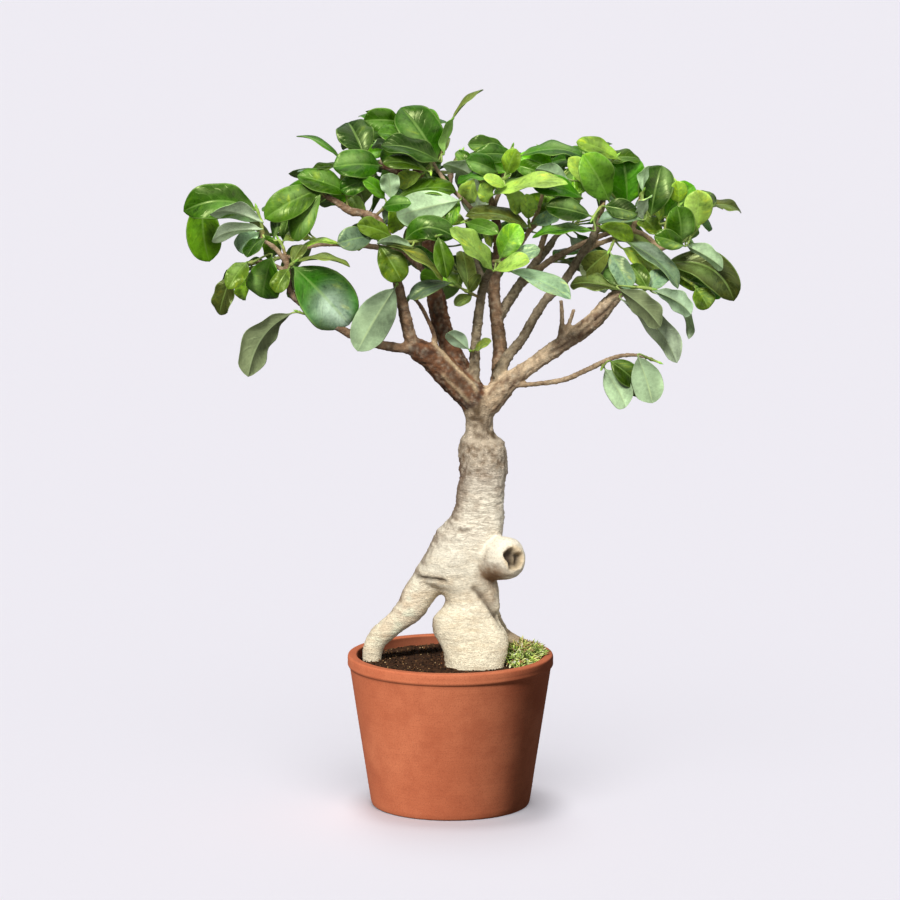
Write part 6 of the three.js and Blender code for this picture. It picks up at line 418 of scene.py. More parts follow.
    ("spray_back_13", "bl", [(63.56, 73.65, 386.16, 1.27), (71.88, 73.06, 389.52, 1.05), (81.32, 72.4, 392.94, 0.8)], [
        ((81.32, 72.4, 392.94), (85.94, 72.57, 391.68), (122.28, 73.94, 369.32), (0.455, 0.453, 0.767), (23.04, 0.18), (1.36, 1.35, 2.29), "bl", None),
        ((77.54, 72.66, 391.57), (82.26, 76.77, 391.3), (116.93, 106.94, 374.13), (0.042, 0.458, 0.888), (27.45, 0.36), (0.14, 1.57, 3.05), "dk", None),
        ((73.77, 72.93, 390.2), (78.74, 77.41, 389.6), (109.2, 104.87, 373.03), (0.224, 0.31, 0.924), (23.95, 0.233), (0.69, 0.96, 2.86), "ol", None),
        ((70, 73.2, 388.76), (75.37, 80.06, 390.57), (100.98, 112.79, 390.55), (0.026, -0.02, 0.999), (22.47, 0.343), (0.08, -0.06, 2.91), "md", None),
    ]),
    ("spray_back_14", "ol", [(136.65, 66.19, 418.86, 1.3), (147.14, 69.96, 424.18, 1.05), (157.62, 73.72, 429, 0.8)], [
        ((157.62, 73.72, 429), (162.7, 76.69, 432.02), (190.04, 92.72, 438.95), (-0.007, -0.387, 0.922), (17.75, 0.302), (-0.02, -0.88, 2.09), "ol", None),
        ((153.43, 72.22, 427.07), (158.63, 67.69, 427.56), (189.09, 41.19, 417.68), (0.445, 0.185, 0.876), (23.25, 0.36), (1.3, 0.54, 2.55), "dk", None),
        ((151.34, 71.46, 426.11), (155.79, 78.09, 424.86), (180.64, 115.09, 404.86), (0.296, 0.293, 0.909), (24.9, 0.174), (1.01, 1, 3.11), "lg", None),
        ((149.24, 70.71, 425.15), (156.68, 66.91, 428.56), (198.3, 45.6, 435.03), (-0.034, 0.229, 0.973), (25.29, 0.163), (-0.11, 0.76, 3.21), "ol", None),
        ((145.06, 69.21, 423.12), (150.61, 71.57, 419.6), (188.82, 87.79, 383.99), (0.676, 0.025, 0.737), (27.67, 0.271), (2.59, 0.1, 2.82), "lg", None),
        ((142.97, 68.46, 422.06), (146.61, 75.32, 421.42), (164.08, 108.21, 407.56), (0.549, 0.059, 0.833), (20.29, 0.334), (1.53, 0.17, 2.32), "bl", None),
    ]),
    ("spray_back_15", "lg", [(107.23, 71.2, 410.86, 1.27), (112.42, 74.19, 416.8, 1.05), (118.38, 77.64, 423.26, 0.8)], [
        ((118.38, 77.64, 423.26), (123.47, 79.07, 428.36), (158.77, 88.99, 452.1), (-0.375, -0.513, 0.772), (23.46, 0.338), (-1.15, -1.57, 2.36), "lg", None),
        ((116, 76.26, 420.68), (121.6, 82.27, 421.57), (157.24, 120.46, 413.1), (-0.073, 0.28, 0.957), (26.87, 0.283), (-0.27, 1.04, 3.55), "ol", None),
        ((113.62, 74.89, 418.1), (111.03, 77.83, 424.11), (86.42, 105.79, 465.74), (0.856, -0.015, 0.516), (26.04, 0.27), (3.35, -0.06, 2.02), "lg", None),
        ((112.42, 74.19, 416.8), (117.15, 74.18, 414.78), (155.49, 74.04, 386.26), (0.59, 0.153, 0.793), (23.42, 0.212), (1.97, 0.51, 2.65), "dk", None),
        ((111.24, 73.52, 415.45), (112.7, 80.28, 417.64), (120.99, 118.67, 420.53), (-0.199, -0.031, 0.979), (18.79, 0.193), (-0.55, -0.08, 2.7), "md", None),
    ]),
    ("spray_back_16", "dk", [(82.94, 83.34, 450, 1.35), (73.84, 89.23, 462.2, 1.05), (66.25, 94.15, 471.8, 0.8)], [
        ((69.28, 92.18, 467.96), (66.74, 98.81, 465.73), (52.2, 136.64, 440.88), (-0.008, 0.547, 0.837), (25.61, 0.197), (-0.03, 1.82, 2.79), "dk", None),
        ((70.8, 91.2, 466.05), (72.71, 99.15, 466.38), (83.36, 143.26, 458.75), (0.032, 0.163, 0.986), (23.65, 0.181), (0.1, 0.52, 3.18), "dk", None),
        ((73.84, 89.23, 462.2), (72.17, 97.64, 463.1), (64.19, 137.82, 459.12), (0.321, 0.156, 0.934), (20.81, 0.266), (0.92, 0.45, 2.69), "dk", None),
        ((75.33, 88.27, 460.2), (70.35, 94.81, 457.7), (50.02, 121.52, 438.25), (-0.028, 0.574, 0.818), (19.89, 0.357), (-0.08, 1.56, 2.22), "dk", None),
        ((76.84, 87.29, 458.18), (69.75, 86.64, 459.26), (22.03, 82.24, 450.83), (-0.188, 0.202, 0.961), (23.22, 0.259), (-0.64, 0.69, 3.27), "md", None),
    ]),
    ("spray_back_17", "dk", [(79.77, 85.75, 440.34, 1.15), (81.01, 86.97, 447.29, 0.95), (81.94, 87.88, 452.42, 0.8)], [
        ((81.94, 87.88, 452.42), (85.67, 87.04, 456.49), (118.51, 79.66, 477.87), (-0.514, 0.155, 0.843), (20.8, 0.23), (-1.44, 0.43, 2.35), "dk", None),
        ((81.63, 87.58, 450.71), (87.18, 82.27, 456.12), (114.05, 56.58, 470.59), (-0.113, 0.395, 0.912), (20.13, 0.22), (-0.32, 1.1, 2.55), "md", None),
        ((80.71, 86.67, 445.58), (72.45, 84.8, 447.05), (31.76, 75.62, 443.35), (-0.134, 0.203, 0.97), (20.8, 0.163), (-0.39, 0.6, 2.84), "dk", None),
        ((80.4, 86.36, 443.85), (77.83, 79.1, 448.48), (61.69, 33.53, 465.8), (0.099, 0.323, 0.941), (26.25, 0.251), (0.35, 1.16, 3.38), "dk", None),
    ]),
    ("spray_back_18", "ol", [(15.39, 104.61, 392.71, 1.26), (11.7, 110.63, 396.31, 1.05), (7.2, 117.96, 400.33, 0.8)], [
        ((7.2, 117.96, 400.33), (0.57, 121.94, 404.24), (-29.13, 139.8, 414.09), (0.392, 0.151, 0.908), (17.54, 0.348), (0.99, 0.38, 2.29), "ol", None),
        ((9, 115.03, 398.72), (1.69, 116.98, 397.07), (-41.66, 128.55, 377.73), (-0.252, 0.471, 0.846), (23.97, 0.197), (-0.86, 1.61, 2.89), "md", None),
        ((9.9, 113.57, 397.92), (13.05, 117.63, 396.19), (36.21, 147.44, 368.92), (0.069, 0.644, 0.762), (23.15, 0.2), (0.22, 2.1, 2.48), "md", None),
        ((10.8, 112.1, 397.12), (4.13, 112.91, 403.8), (-35.64, 117.7, 429.54), (0.545, 0.28, 0.79), (25.75, 0.288), (1.82, 0.93, 2.63), "dk", None),
        ((11.7, 110.63, 396.31), (16.57, 113.7, 398.97), (58.3, 140, 406.95), (-0.222, 0.057, 0.973), (24, 0.214), (-0.78, 0.2, 3.41), "ol", None),
        ((12.59, 109.18, 395.44), (9.51, 114.86, 390.94), (-7.96, 147.07, 355.2), (-0.098, 0.715, 0.692), (27.53, 0.202), (-0.35, 2.56, 2.48), "dk", None),
    ]),
    ("spray_back_19", "md", [(18.37, 74.88, 382.05, 1.3), (9.3, 78.19, 382.29, 1.05), (0.23, 81.5, 382.11, 0.8)], [
        ((0.23, 81.5, 382.11), (-4.62, 81.9, 379.35), (-38.93, 84.78, 349), (-0.664, -0.091, 0.742), (25, 0.225), (-2.13, -0.29, 2.38), "md", None),
        ((3.86, 80.17, 382.18), (-0.22, 83.32, 386.66), (-30.71, 106.84, 406.13), (0.329, -0.311, 0.891), (23.27, 0.189), (1, -0.94, 2.69), "md", None),
        ((7.49, 78.85, 382.25), (2.4, 77.92, 388.71), (-40.82, 70.02, 422.51), (0.572, 0.236, 0.786), (27.31, 0.288), (2.22, 0.91, 3.05), "lg", None),
        ((11.11, 77.53, 382.24), (9.31, 85.57, 381.99), (-1.17, 132.43, 366.73), (-0.041, 0.301, 0.953), (26.18, 0.293), (-0.14, 1.06, 3.36), "md", None),
    ]),
    ("spray_back_20", "lg", [(119.94, 11.9, 416.54, 1.33), (124.39, 21.62, 424.46, 1.05), (128.34, 30.22, 430.97, 0.8)], [
        ((128.34, 30.22, 430.97), (133.05, 32.73, 434.27), (165.85, 50.23, 446.38), (-0.316, -0.062, 0.947), (18.17, 0.289), (-0.87, -0.17, 2.59), "lg", None),
        ((125.97, 25.07, 427.07), (123.01, 31.79, 431.48), (107.6, 66.74, 441.7), (0.352, -0.116, 0.929), (20.01, 0.359), (0.98, -0.32, 2.57), "md", None),
        ((124.39, 21.62, 424.46), (127.43, 25.06, 420.67), (150.79, 51.51, 377.42), (0.605, 0.491, 0.627), (26.86, 0.271), (2.36, 1.92, 2.45), "ly", 3),
        ((122.83, 18.22, 421.69), (121.09, 25.66, 423.64), (111.97, 64.68, 420.93), (0.019, 0.074, 0.997), (22.06, 0.344), (0.05, 0.21, 2.8), "bl", None),
    ]),
    ("spray_back_21", "lg", [(-18.91, 27.16, 422.98, 1.26), (-22.97, 35.12, 428.25, 1.05), (-27.71, 44.39, 433.92, 0.8)], [
        ((-27.71, 44.39, 433.92), (-31.77, 51.45, 437.18), (-49.52, 82.33, 441.32), (0.007, -0.129, 0.992), (16.92, 0.228), (0.02, -0.32, 2.49), "lg", None),
        ((-25.82, 40.68, 431.65), (-21.83, 44.92, 437.43), (0.9, 69.11, 459.26), (-0.517, -0.252, 0.818), (18.92, 0.307), (-1.44, -0.7, 2.27), "ol", None),
        ((-23.92, 36.98, 429.39), (-23.41, 42.93, 423.87), (-20.73, 73.75, 384.27), (-0.206, 0.779, 0.592), (24.81, 0.268), (-0.72, 2.74, 2.08), "ol", None),
        ((-22.04, 33.29, 427.04), (-26.48, 32.52, 432.18), (-62.88, 26.29, 457.39), (0.576, -0.065, 0.815), (23.29, 0.173), (1.8, -0.2, 2.55), "dk", None),
    ]),
]

DX, DY = CROWN_CENTRE


def metres(P):
    P = np.asarray(P, float)
    return (P - np.array([DX, DY, 0.0])) / 1000.0


# ---------------------------------------------------------------- small maths
def unit(v):
    v = np.asarray(v, float)
    n = np.linalg.norm(v, axis=-1, keepdims=True)
    return v / np.maximum(n, 1e-12)


def ramp(x, a, b):
    t = np.clip((np.asarray(x, float) - a) / (b - a), 0, 1)
    return t * t * (3 - 2 * t)


def spline(pts, per):
    """Catmull-Rom through every point."""
    P = np.asarray(pts, float)
    n = len(P)
    out = []
    for i in range(n - 1):
        p1, p2 = P[i], P[i + 1]
        p0 = P[i - 1] if i > 0 else 2 * P[0] - P[1]
        p3 = P[i + 2] if i + 2 < n else 2 * P[n - 1] - P[n - 2]
        t0, t1 = 0.5 * (p2 - p0), 0.5 * (p3 - p1)
        for k in range(per):
            w = k / per
            out.append(p1 + t0 * w + (-3 * p1 + 3 * p2 - 2 * t0 - t1) * w * w + (2 * p1 - 2 * p2 + t0 + t1) * w ** 3)
    out.append(P[-1])
    return np.array(out)


def lattice(i, j, k, seed):
    n = (i * 374761393 + j * 668265263 + k * 1440662683 + seed * 1274126177) & 0xFFFFFFFF
    n = ((n ^ (n >> 13)) * 1274126177) & 0xFFFFFFFF
    n = ((n ^ (n >> 16)) * 2246822519) & 0xFFFFFFFF
    return ((n ^ (n >> 15)) & 0xFFFFFF) / float(0xFFFFFF)


def noise3(P, seed=0):
    """Smooth value noise from -1 to 1 at points P (n, 3)."""
    P = np.asarray(P, float)
    F = np.floor(P)
    I = F.astype(np.int64)
    t = P - F
    t = t * t * t * (t * (6 * t - 15) + 10)
    x, y, z = t[:, 0], t[:, 1], t[:, 2]
    c = [[[lattice(I[:, 0] + a, I[:, 1] + b, I[:, 2] + d, seed) for d in (0, 1)] for b in (0, 1)] for a in (0, 1)]
    u = [[c[a][b][0] * (1 - z) + c[a][b][1] * z for b in (0, 1)] for a in (0, 1)]
    w = [u[a][0] * (1 - y) + u[a][1] * y for a in (0, 1)]
    return 2 * (w[0] * (1 - x) + w[1] * x) - 1


def fbm(P, seed=0, octaves=3, gain=0.5):
    total, amp, size = 0.0, 1.0, 0.0
    P = np.asarray(P, float)
    for o in range(octaves):
        total = total + amp * noise3(P * (2.03 ** o) + 17.3 * o, seed + 31 * o)
        size += amp
        amp *= gain
    return total / size


def lin(*rgb):
    """sRGB bytes to a linear colour."""
    c = np.array(rgb, float) / 255
    return np.where(c <= 0.04045, c / 12.92, ((c + 0.055) / 1.055) ** 2.4)


# ---------------------------------------------------------------- mesh helpers
def build(name, verts_mm, faces, nodes=(), attrs=None, smooth=True):
    """A mesh object from points in pot millimetres and a list of index arrays (triangles or quads)."""
    me = bpy.data.meshes.new(name)
    V = metres(verts_mm)
    me.vertices.add(len(V))
    me.vertices.foreach_set("co", V.astype(np.float32).ravel())
    loops = np.concatenate([np.asarray(f, np.int32).ravel() for f in faces])
    sizes = np.concatenate([np.full(len(f), np.asarray(f).shape[1], np.int32) for f in faces])
    me.loops.add(len(loops))
    me.loops.foreach_set("vertex_index", loops)
    me.polygons.add(len(sizes))
    starts = np.concatenate([[0], np.cumsum(sizes)[:-1]]).astype(np.int32)
    me.polygons.foreach_set("loop_start", starts)
    me.polygons.foreach_set("loop_total", sizes)
    me.polygons.foreach_set("use_smooth", np.full(len(sizes), smooth))
    me.update(calc_edges=True)
    me.validate()
    for key, data in (attrs or {}).items():
        data = np.asarray(data, np.float32)
        if data.ndim == 1:
            a = me.attributes.new(key, "FLOAT", "POINT")
            a.data.foreach_set("value", data)
        elif key.startswith("c_"):
            a = me.attributes.new(key, "FLOAT_COLOR", "POINT")
            a.data.foreach_set("color", np.concatenate([data, np.ones((len(data), 1), np.float32)], 1).ravel())
        else:
            a = me.attributes.new(key, "FLOAT_VECTOR", "POINT")
            a.data.foreach_set("vector", data.ravel())
    ob = bpy.data.objects.new(name, me)
    bpy.context.scene.collection.objects.link(ob)
    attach(ob, "root")
    if nodes:
        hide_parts(*nodes)
    return ob


def ring_faces(rows, cols, closed=True):
    """Quads between successive rings of cols points."""
    a = np.arange(rows - 1)[:, None] * cols
    k = np.arange(cols if closed else cols - 1)[None, :]
    k2 = (k + 1) % cols
    return np.stack([a + k, a + k2, a + cols + k2, a + cols + k], -1).reshape(-1, 4)


def frames(C):
    """Tangent and two side vectors along a line, without twist."""
    t = unit(np.gradient(C, axis=0))
    side = np.zeros_like(t)
    a = np.array([0, 0, 1.0]) if abs(t[0, 2]) < 0.8 else np.array([1.0, 0, 0])
    side[0] = unit(a - t[0] * (a @ t[0]))
    for i in range(1, len(C)):
        side[i] = unit(side[i - 1] - t[i] * (side[i - 1] @ t[i]))
    return t, side, np.cross(t, side)


def tube(line, sides=12, per=4):
    """Closed tube: points (x, y, z, r)."""
    S = spline(line, per)
    C, R = S[:, :3], S[:, 3]
    t, a, b = frames(C)
    w = 2 * np.pi * np.arange(sides) / sides
    V = C[:, None] + R[:, None, None] * (np.cos(w)[None, :, None] * a[:, None] + np.sin(w)[None, :, None] * b[:, None])
    # rounded ends
    n = len(C)
    V0 = C[0] - t[0] * R[0] * 0.35
    V1 = C[-1] + t[-1] * R[-1] * 0.35
    V = np.concatenate([V.reshape(-1, 3), V0[None], V1[None]])
    q = ring_faces(n, sides)
    k = np.arange(sides)
    k2 = (k + 1) % sides
    t0 = np.stack([np.full(sides, n * sides), k2, k], 1)
    t1 = np.stack([np.full(sides, n * sides + 1), (n - 1) * sides + k, (n - 1) * sides + k2], 1)
    return V, [q, np.concatenate([t0, t1])]


class Mat:
    """A small helper for node materials."""

    def __init__(self, name):
        self.m = bpy.data.materials.new(name)
        self.m.use_nodes = True
        self.t = self.m.node_tree
        self.bsdf = next(n for n in self.t.nodes if n.type == "BSDF_PRINCIPLED")
        self.out = next(n for n in self.t.nodes if n.type == "OUTPUT_MATERIAL")

    def node(self, kind, **props):
        n = self.t.nodes.new(kind)
        for k, v in props.items():
            setattr(n, k, v)
        return n

    def put(self, socket, value):
        if isinstance(value, bpy.types.NodeSocket):
            self.t.links.new(value, socket)
        elif isinstance(value, (tuple, list, np.ndarray)):
            v = [float(x) for x in value]
            if len(v) == 3 and len(socket.default_value) == 4:
                v.append(1.0)
            socket.default_value = v
        else:
            socket.default_value = value

    def attr(self, name, out="Vector"):
        return self.node("ShaderNodeAttribute", attribute_name=name).outputs[out]

    def coords(self):
        return self.node("ShaderNodeTexCoord").outputs["Object"]

    def noise(self, scale, detail=3.0, rough=0.55, vector=None, out="Fac", dims="3D", distortion=0.0):
        n = self.node("ShaderNodeTexNoise", noise_dimensions=dims)
        self.put(n.inputs["Vector"], vector if vector is not None else self.coords())
        n.inputs["Scale"].default_value = scale
        n.inputs["Detail"].default_value = detail
        n.inputs["Roughness"].default_value = rough
        n.inputs["Distortion"].default_value = distortion
        return n.outputs[out]

    def voronoi(self, scale, vector=None, out="Distance", feature="F1", rand=1.0):
        n = self.node("ShaderNodeTexVoronoi", feature=feature)
        self.put(n.inputs["Vector"], vector if vector is not None else self.coords())
        n.inputs["Scale"].default_value = scale
        n.inputs["Randomness"].default_value = rand
        return n.outputs[out]

    def math(self, op, a, b=None, c=None, clamp=False):
        n = self.node("ShaderNodeMath", operation=op, use_clamp=clamp)
        for s, v in zip(n.inputs, (a, b, c)):
            if v is not None:
                self.put(s, v)
        return n.outputs[0]

    def span(self, value, a, b, lo=0.0, hi=1.0, smooth=True):
        n = self.node("ShaderNodeMapRange", interpolation_type="SMOOTHSTEP" if smooth else "LINEAR")
        self.put(n.inputs["Value"], value)
        for k, v in zip(("From Min", "From Max", "To Min", "To Max"), (a, b, lo, hi)):
            n.inputs[k].default_value = v
        return n.outputs["Result"]

    def mix(self, fac, a, b, kind="MIX"):
        n = self.node("ShaderNodeMix", data_type="RGBA", blend_type=kind, clamp_factor=True)
        self.put(n.inputs[0], fac)
        self.put(n.inputs[6], a)
        self.put(n.inputs[7], b)
        return n.outputs[2]

    def scaled(self, vector, xyz):
        n = self.node("ShaderNodeMapping", vector_type="POINT")
        self.put(n.inputs["Vector"], vector)
        n.inputs["Scale"].default_value = xyz
        return n.outputs["Vector"]

    def bump(self, height, strength, distance, normal=None):
        n = self.node("ShaderNodeBump")
        self.put(n.inputs["Height"], height)
        n.inputs["Strength"].default_value = strength
        n.inputs["Distance"].default_value = distance
        if normal is not None:
            self.put(n.inputs["Normal"], normal)
        return n.outputs["Normal"]


# ---------------------------------------------------------------- camera: the photograph's angle
EL = math.radians(9.0)
DIST, MM_PER_PX = 3.0, 0.724
FWD = np.array([0, math.cos(EL), -math.sin(EL)])
UPV = np.array([0, math.sin(EL), math.cos(EL)])
AIM = np.array([-0.3, 0.0, 261.5])
EYE = AIM - FWD * DIST * 1000


def to_px(P):
    """Where points in pot millimetres fall in the 900 x 900 picture."""
    q = np.asarray(P, float) - EYE
    f = q @ FWD
    return np.stack([450 + q[:, 0] / f * DIST * 1000 / MM_PER_PX, 450 - (q @ UPV) / f * DIST * 1000 / MM_PER_PX], 1)


cam = bpy.data.objects.new("camera", bpy.data.cameras.new("camera"))
bpy.context.scene.collection.objects.link(cam)
cam.data.sensor_width = 36.0
cam.data.lens = 36.0 * DIST / (900 * MM_PER_PX / 1000)
cam.data.clip_start, cam.data.clip_end = 0.05, 200.0
cam.location = metres(EYE)
cam.rotation_mode = "QUATERNION"
cam.rotation_quaternion = Vector(FWD).to_track_quat("-Z", "Y")
bpy.context.scene.camera = cam

# ---------------------------------------------------------------- leaves
# full width along the blade, as a share of the widest part
BLADE_U = np.array([0, .025, .06, .11, .18, .27, .38, .50, .61, .71, .80, .87, .925, .965, .988, 1.0])
BLADE_H = np.array([.055, .075, .17, .34, .54, .74, .90, .985, 1.0, .965, .87, .735, .56, .36, .17, 0.0])
ACROSS = np.array([-1, -.955, -.86, -.70, -.48, -.26, -.09, 0, .09, .26, .48, .70, .86, .955, 1])

LEAF_TOP = {  # upper faces
    "dk": lin(46, 98, 3), "md": lin(72, 130, 7), "gl": lin(60, 122, 26), "lm": lin(142, 184, 48),
    "lg": lin(118, 180, 48), "ly": lin(188, 228, 96), "gy": lin(88, 134, 16), "og": lin(66, 100, 12),
    "ol": lin(98, 110, 44), "bl": lin(126, 156, 120), "pl": lin(148, 184, 116), "pg": lin(132, 170, 94), "op": lin(92, 124, 42)}
LEAF_UNDER = {  # lower faces
    "dk": lin(106, 140, 66), "md": lin(120, 156, 78), "gl": lin(122, 158, 94), "lm": lin(188, 218, 104),
    "lg": lin(148, 188, 100), "ly": lin(190, 224, 120), "gy": lin(130, 160, 84), "og": lin(112, 138, 76),
    "ol": lin(122, 136, 74), "bl": lin(144, 174, 140), "pl": lin(172, 198, 162), "pg": lin(168, 194, 152),
    "op": lin(130, 142, 102), "pw": lin(188, 206, 172)}
LEAF_TOP["pw"] = LEAF_TOP["pl"]
# one step of a leaf's colour: partly its own tone, partly painted light and shade for how brightly it is lit
TONE_AND_LIGHT_STEP = 1.2   # how much lighter one tone step is
STEM_YOUNG, STEM_OLD = lin(150, 172, 88), lin(158, 132, 96)
PETIOLE = lin(160, 182, 100)


def leaf(rnd, foot, base, tip, normal, size, bow, kind, tone, fine):
    """One leaf: a stalk and a blade as one closed skin. Returns points, quads, triangles and attributes.
    tone is a step lighter or darker than the kind's own colour, 0 for none: partly the leaf's own tone, partly painted
    light and shade for how brightly it is lit."""
    foot, base, tip, bow = [np.asarray(v, float) for v in (foot, base, tip, bow)]
    W, fold = size
    L = np.linalg.norm(tip - base)
    d = (tip - base) / L
    N0 = unit(np.asarray(normal, float) - d * (np.asarray(normal, float) @ d))
    cols = ACROSS if fine else ACROSS[[0, 1, 3, 5, 7, 9, 11, 13, 14]]
    nu = 26 if fine else 15
    # blade stations, closer together at both ends
    w = np.linspace(0, 1, nu)
    U = 0.5 - 0.5 * np.cos(np.pi * (0.06 + 0.94 * w))
    U = (U - U[0]) / (U[-1] - U[0])
    U = 0.45 * U + 0.55 * w
    U[-1] = 0.9965
    peak = rnd.uniform(-0.05, 0.05)
    h = np.interp(U + peak * np.sin(np.pi * U), BLADE_U, BLADE_H) * W / 2
    # a short drawn-out tip
    h = np.where(U > 0.9, h * (1 - 0.10 * ramp(U, 0.9, 0.985)), h)
    recurve = rnd.uniform(0.02, 0.09) * L
    wave = rnd.uniform(0.025, 0.095) * W
    phase, turns = rnd.uniform(0, 6.28, 2), rnd.uniform(1.1, 2.6)
    twist = rnd.uniform(-0.34, 0.34)
    C = base + (tip - base) * U[:, None] + bow * (4 * U * (1 - U))[:, None]
    C = C - N0 * (recurve * np.clip((U - 0.55) / 0.45, 0, 1) ** 2)[:, None]
    C = C + N0 * (recurve * 0.45 * np.sin(np.pi * U))[:, None]
    # stalk: a smooth curve from the foot to the blade
    gap = np.linalg.norm(base - foot)
    npet = 7 if fine else 5
    p = np.linspace(0, 1, npet, endpoint=False)
    m0 = (base - foot) * 0.9
    m1 = unit(C[1] - C[0]) * max(gap, 0.5) * 0.9
    S = ((2 * p**3 - 3 * p**2 + 1)[:, None] * foot + (p**3 - 2 * p**2 + p)[:, None] * m0
         + (-2 * p**3 + 3 * p**2)[:, None] * base + (p**3 - p**2)[:, None] * m1)
    rp = 0.78 - 0.16 * p + 0.35 * np.exp(-p * 9)
    line = np.concatenate([S, C])
    T = unit(np.gradient(line, axis=0))
    N = np.repeat(N0[None], len(line), 0)
    N = unit(N - T * (N * T).sum(1)[:, None])
    X = np.cross(T, N)
    Uall = np.concatenate([(p - 1) * 0.2, U])
    ang = twist * np.clip(Uall, 0, 1)
    N, X = N * np.cos(ang)[:, None] + X * np.sin(ang)[:, None], X * np.cos(ang)[:, None] - N * np.sin(ang)[:, None]
    K = len(cols)
    v = cols[None, :]
    u = U[:, None]
    hh = h[:, None]
    f = fold * (1 - 0.35 * u)
    av = np.abs(v)
    rise = np.sqrt(av**2 + 0.0036) - 0.06          # a rounded valley along the midrib
    belly = (0.10 + 0.16 * rnd.random()) * np.sin(np.pi * np.clip(av, 0, 1)) * (0.6 + 0.4 * rnd.random())
    ripple = np.where(v > 0, np.sin(2 * np.pi * turns * u + phase[0]), np.sin(2 * np.pi * turns * u * 0.93 + phase[1]))
    x = hh * v * np.cos(f * rise)
    n = hh * rise * np.sin(f) * 1.0 + hh * belly * 0.5 + wave * ripple * av**2.2 * ramp(u, 0.03, 0.3) * ramp(1 - u, 0.0, 0.15)
    curl = np.where(v > 0, rnd.uniform(-0.6, 2.2), rnd.uniform(-0.6, 2.2))
    n = n - hh * 0.20 * np.clip(av - 0.5, 0, 1) ** 2 * curl
    thick = 0.30 * np.clip(1 - av**2, 0, 1) ** 0.4 * np.clip(hh / 2.0, 0.35, 1)
    rib = np.exp(-((v * hh) / 0.75) ** 2)
    top = n + thick - 0.16 * rib * ramp(u, 0.02, 0.12)
    low = n - thick - (0.62 * (1 - u) ** 0.8 + 0.08) * rib
    round_top = 0.62 * np.cos(v * np.pi / 2)
    k = ramp(u, 0.0, 0.11)
    xs = 0.62 * np.sin(v * np.pi / 2)
    rt, rb = round_top * (1 - k) + top * k, -round_top * (1 - k) + low * k
    xx = np.where(k < 1, xs * (1 - k) + x * k, x)
    xx = np.where(np.abs(xx) < np.abs(x), x * k + xx * (1 - k), xx)
    mid = np.arange(K - 2, 0, -1)
    ringX = np.concatenate([xx, xx[:, mid]], 1)
    ringN = np.concatenate([rt, rb[:, mid]], 1)
    a = np.concatenate([cols * np.pi / 2, np.pi - cols[mid] * np.pi / 2])
    petX = rp[:, None] * np.sin(a)[None]
    petN = rp[:, None] * np.cos(a)[None]
    RX, RN = np.concatenate([petX, ringX]), np.concatenate([petN, ringN])
    V = line[:, None] + RX[:, :, None] * X[:, None] + RN[:, :, None] * N[:, None]
    R, M = V.shape[:2]
    side = np.concatenate([np.ones(K), -np.ones(K - 2)])
    side[0] = side[K - 1] = 0
    lv = np.concatenate([cols, cols[mid]])
    A = np.zeros((R, M, 3))
    A[:, :, 0] = Uall[:, None]
    A[:, :, 1] = lv[None]
    A[:, :, 2] = side[None]
    V = V.reshape(-1, 3)
    A = A.reshape(-1, 3)
    endp = line[-1] + T[-1] * (0.0035 * L + 0.15)
    V = np.concatenate([V, line[:1] - T[:1] * 0.2, endp[None]])
    A = np.concatenate([A, [[-0.2, 0, 1]], [[1.0, 0, 1]]])
    quads = ring_faces(R, M)[:, ::-1]
    j = np.arange(M)
    j2 = (j + 1) % M
    tri = np.concatenate([np.stack([np.full(M, R * M), j, j2], 1), np.stack([np.full(M, R * M + 1), (R - 1) * M + j2, (R - 1) * M + j], 1)])
    # colours
    light = rnd.normal(0, 0.15) if tone is None else rnd.normal(0, 0.03)
    warm = rnd.normal(0, 0.08) if tone is None else rnd.normal(0, 0.03)
    # the tone step paints the leaf lighter or darker: partly its own tone, partly painted light and shade
    step = TONE_AND_LIGHT_STEP ** (tone or 0)
    vary = np.array([1 + light + warm, 1 + light, 1 + light - warm]) * step
    ct, cu = LEAF_TOP[kind] * vary, LEAF_UNDER[kind] * (1 + 0.6 * light) * step
    ct, cu = ct * min(1, 0.84 / ct.max()), cu * min(1, 0.84 / cu.max())
    # painted sheen: a pale reflection of the sky painted onto one half of each blade, with painted shade on the other
    # half and towards the blade's base
    uu, vv = A[:, 0], A[:, 1]
    half = 1 if rnd.random() < 0.5 else -1
    at, wide = rnd.uniform(0.25, 0.75), rnd.uniform(0.22, 0.40)
    amp = rnd.uniform(0.05, 0.70) if kind in ("dk", "md") else rnd.uniform(0.0, 0.40)
    sheen = amp * np.exp(-((vv * half - 0.42) / 0.34) ** 2) * np.exp(-((uu - at) / wide) ** 2)
    # the glossy kind gets a broad painted reflection along the middle of the blade
    if kind == "gl":
        sheen = 0.72 * np.exp(-((vv - 0.16) / 0.60) ** 2) * ramp(uu, 0.30, 0.62)
    # painted shade: the other half of the blade and its base and stalk darker
    shade = rnd.uniform(0.10, 0.60) * np.exp(-((vv * half + 0.5) / 0.45) ** 2) * np.exp(-((uu - at) / 0.5) ** 2)
    shade = shade + 0.22 * ramp(-uu, -0.30, 0.0)
    painted_sheen_colour = lin(214, 234, 214) if kind in ("gl", "bl", "pl", "pg") else (lin(196, 226, 150) if kind in ("lg", "ly", "lm") else lin(166, 204, 116))
    ct = ct * (1 - shade)[:, None] * (1 - sheen)[:, None] + painted_sheen_colour * sheen[:, None]
    # the lower face gets the same painted shade, weaker
    cu = cu * (1 - 0.7 * shade)[:, None]
    w_ = ramp(A[:, 0], -0.03, 0.03)[:, None]
    top_c = PETIOLE * (1 - w_) + ct * w_
    low_c = PETIOLE * (1 - w_) + cu * w_
    return V, quads, tri, A, top_c, low_c


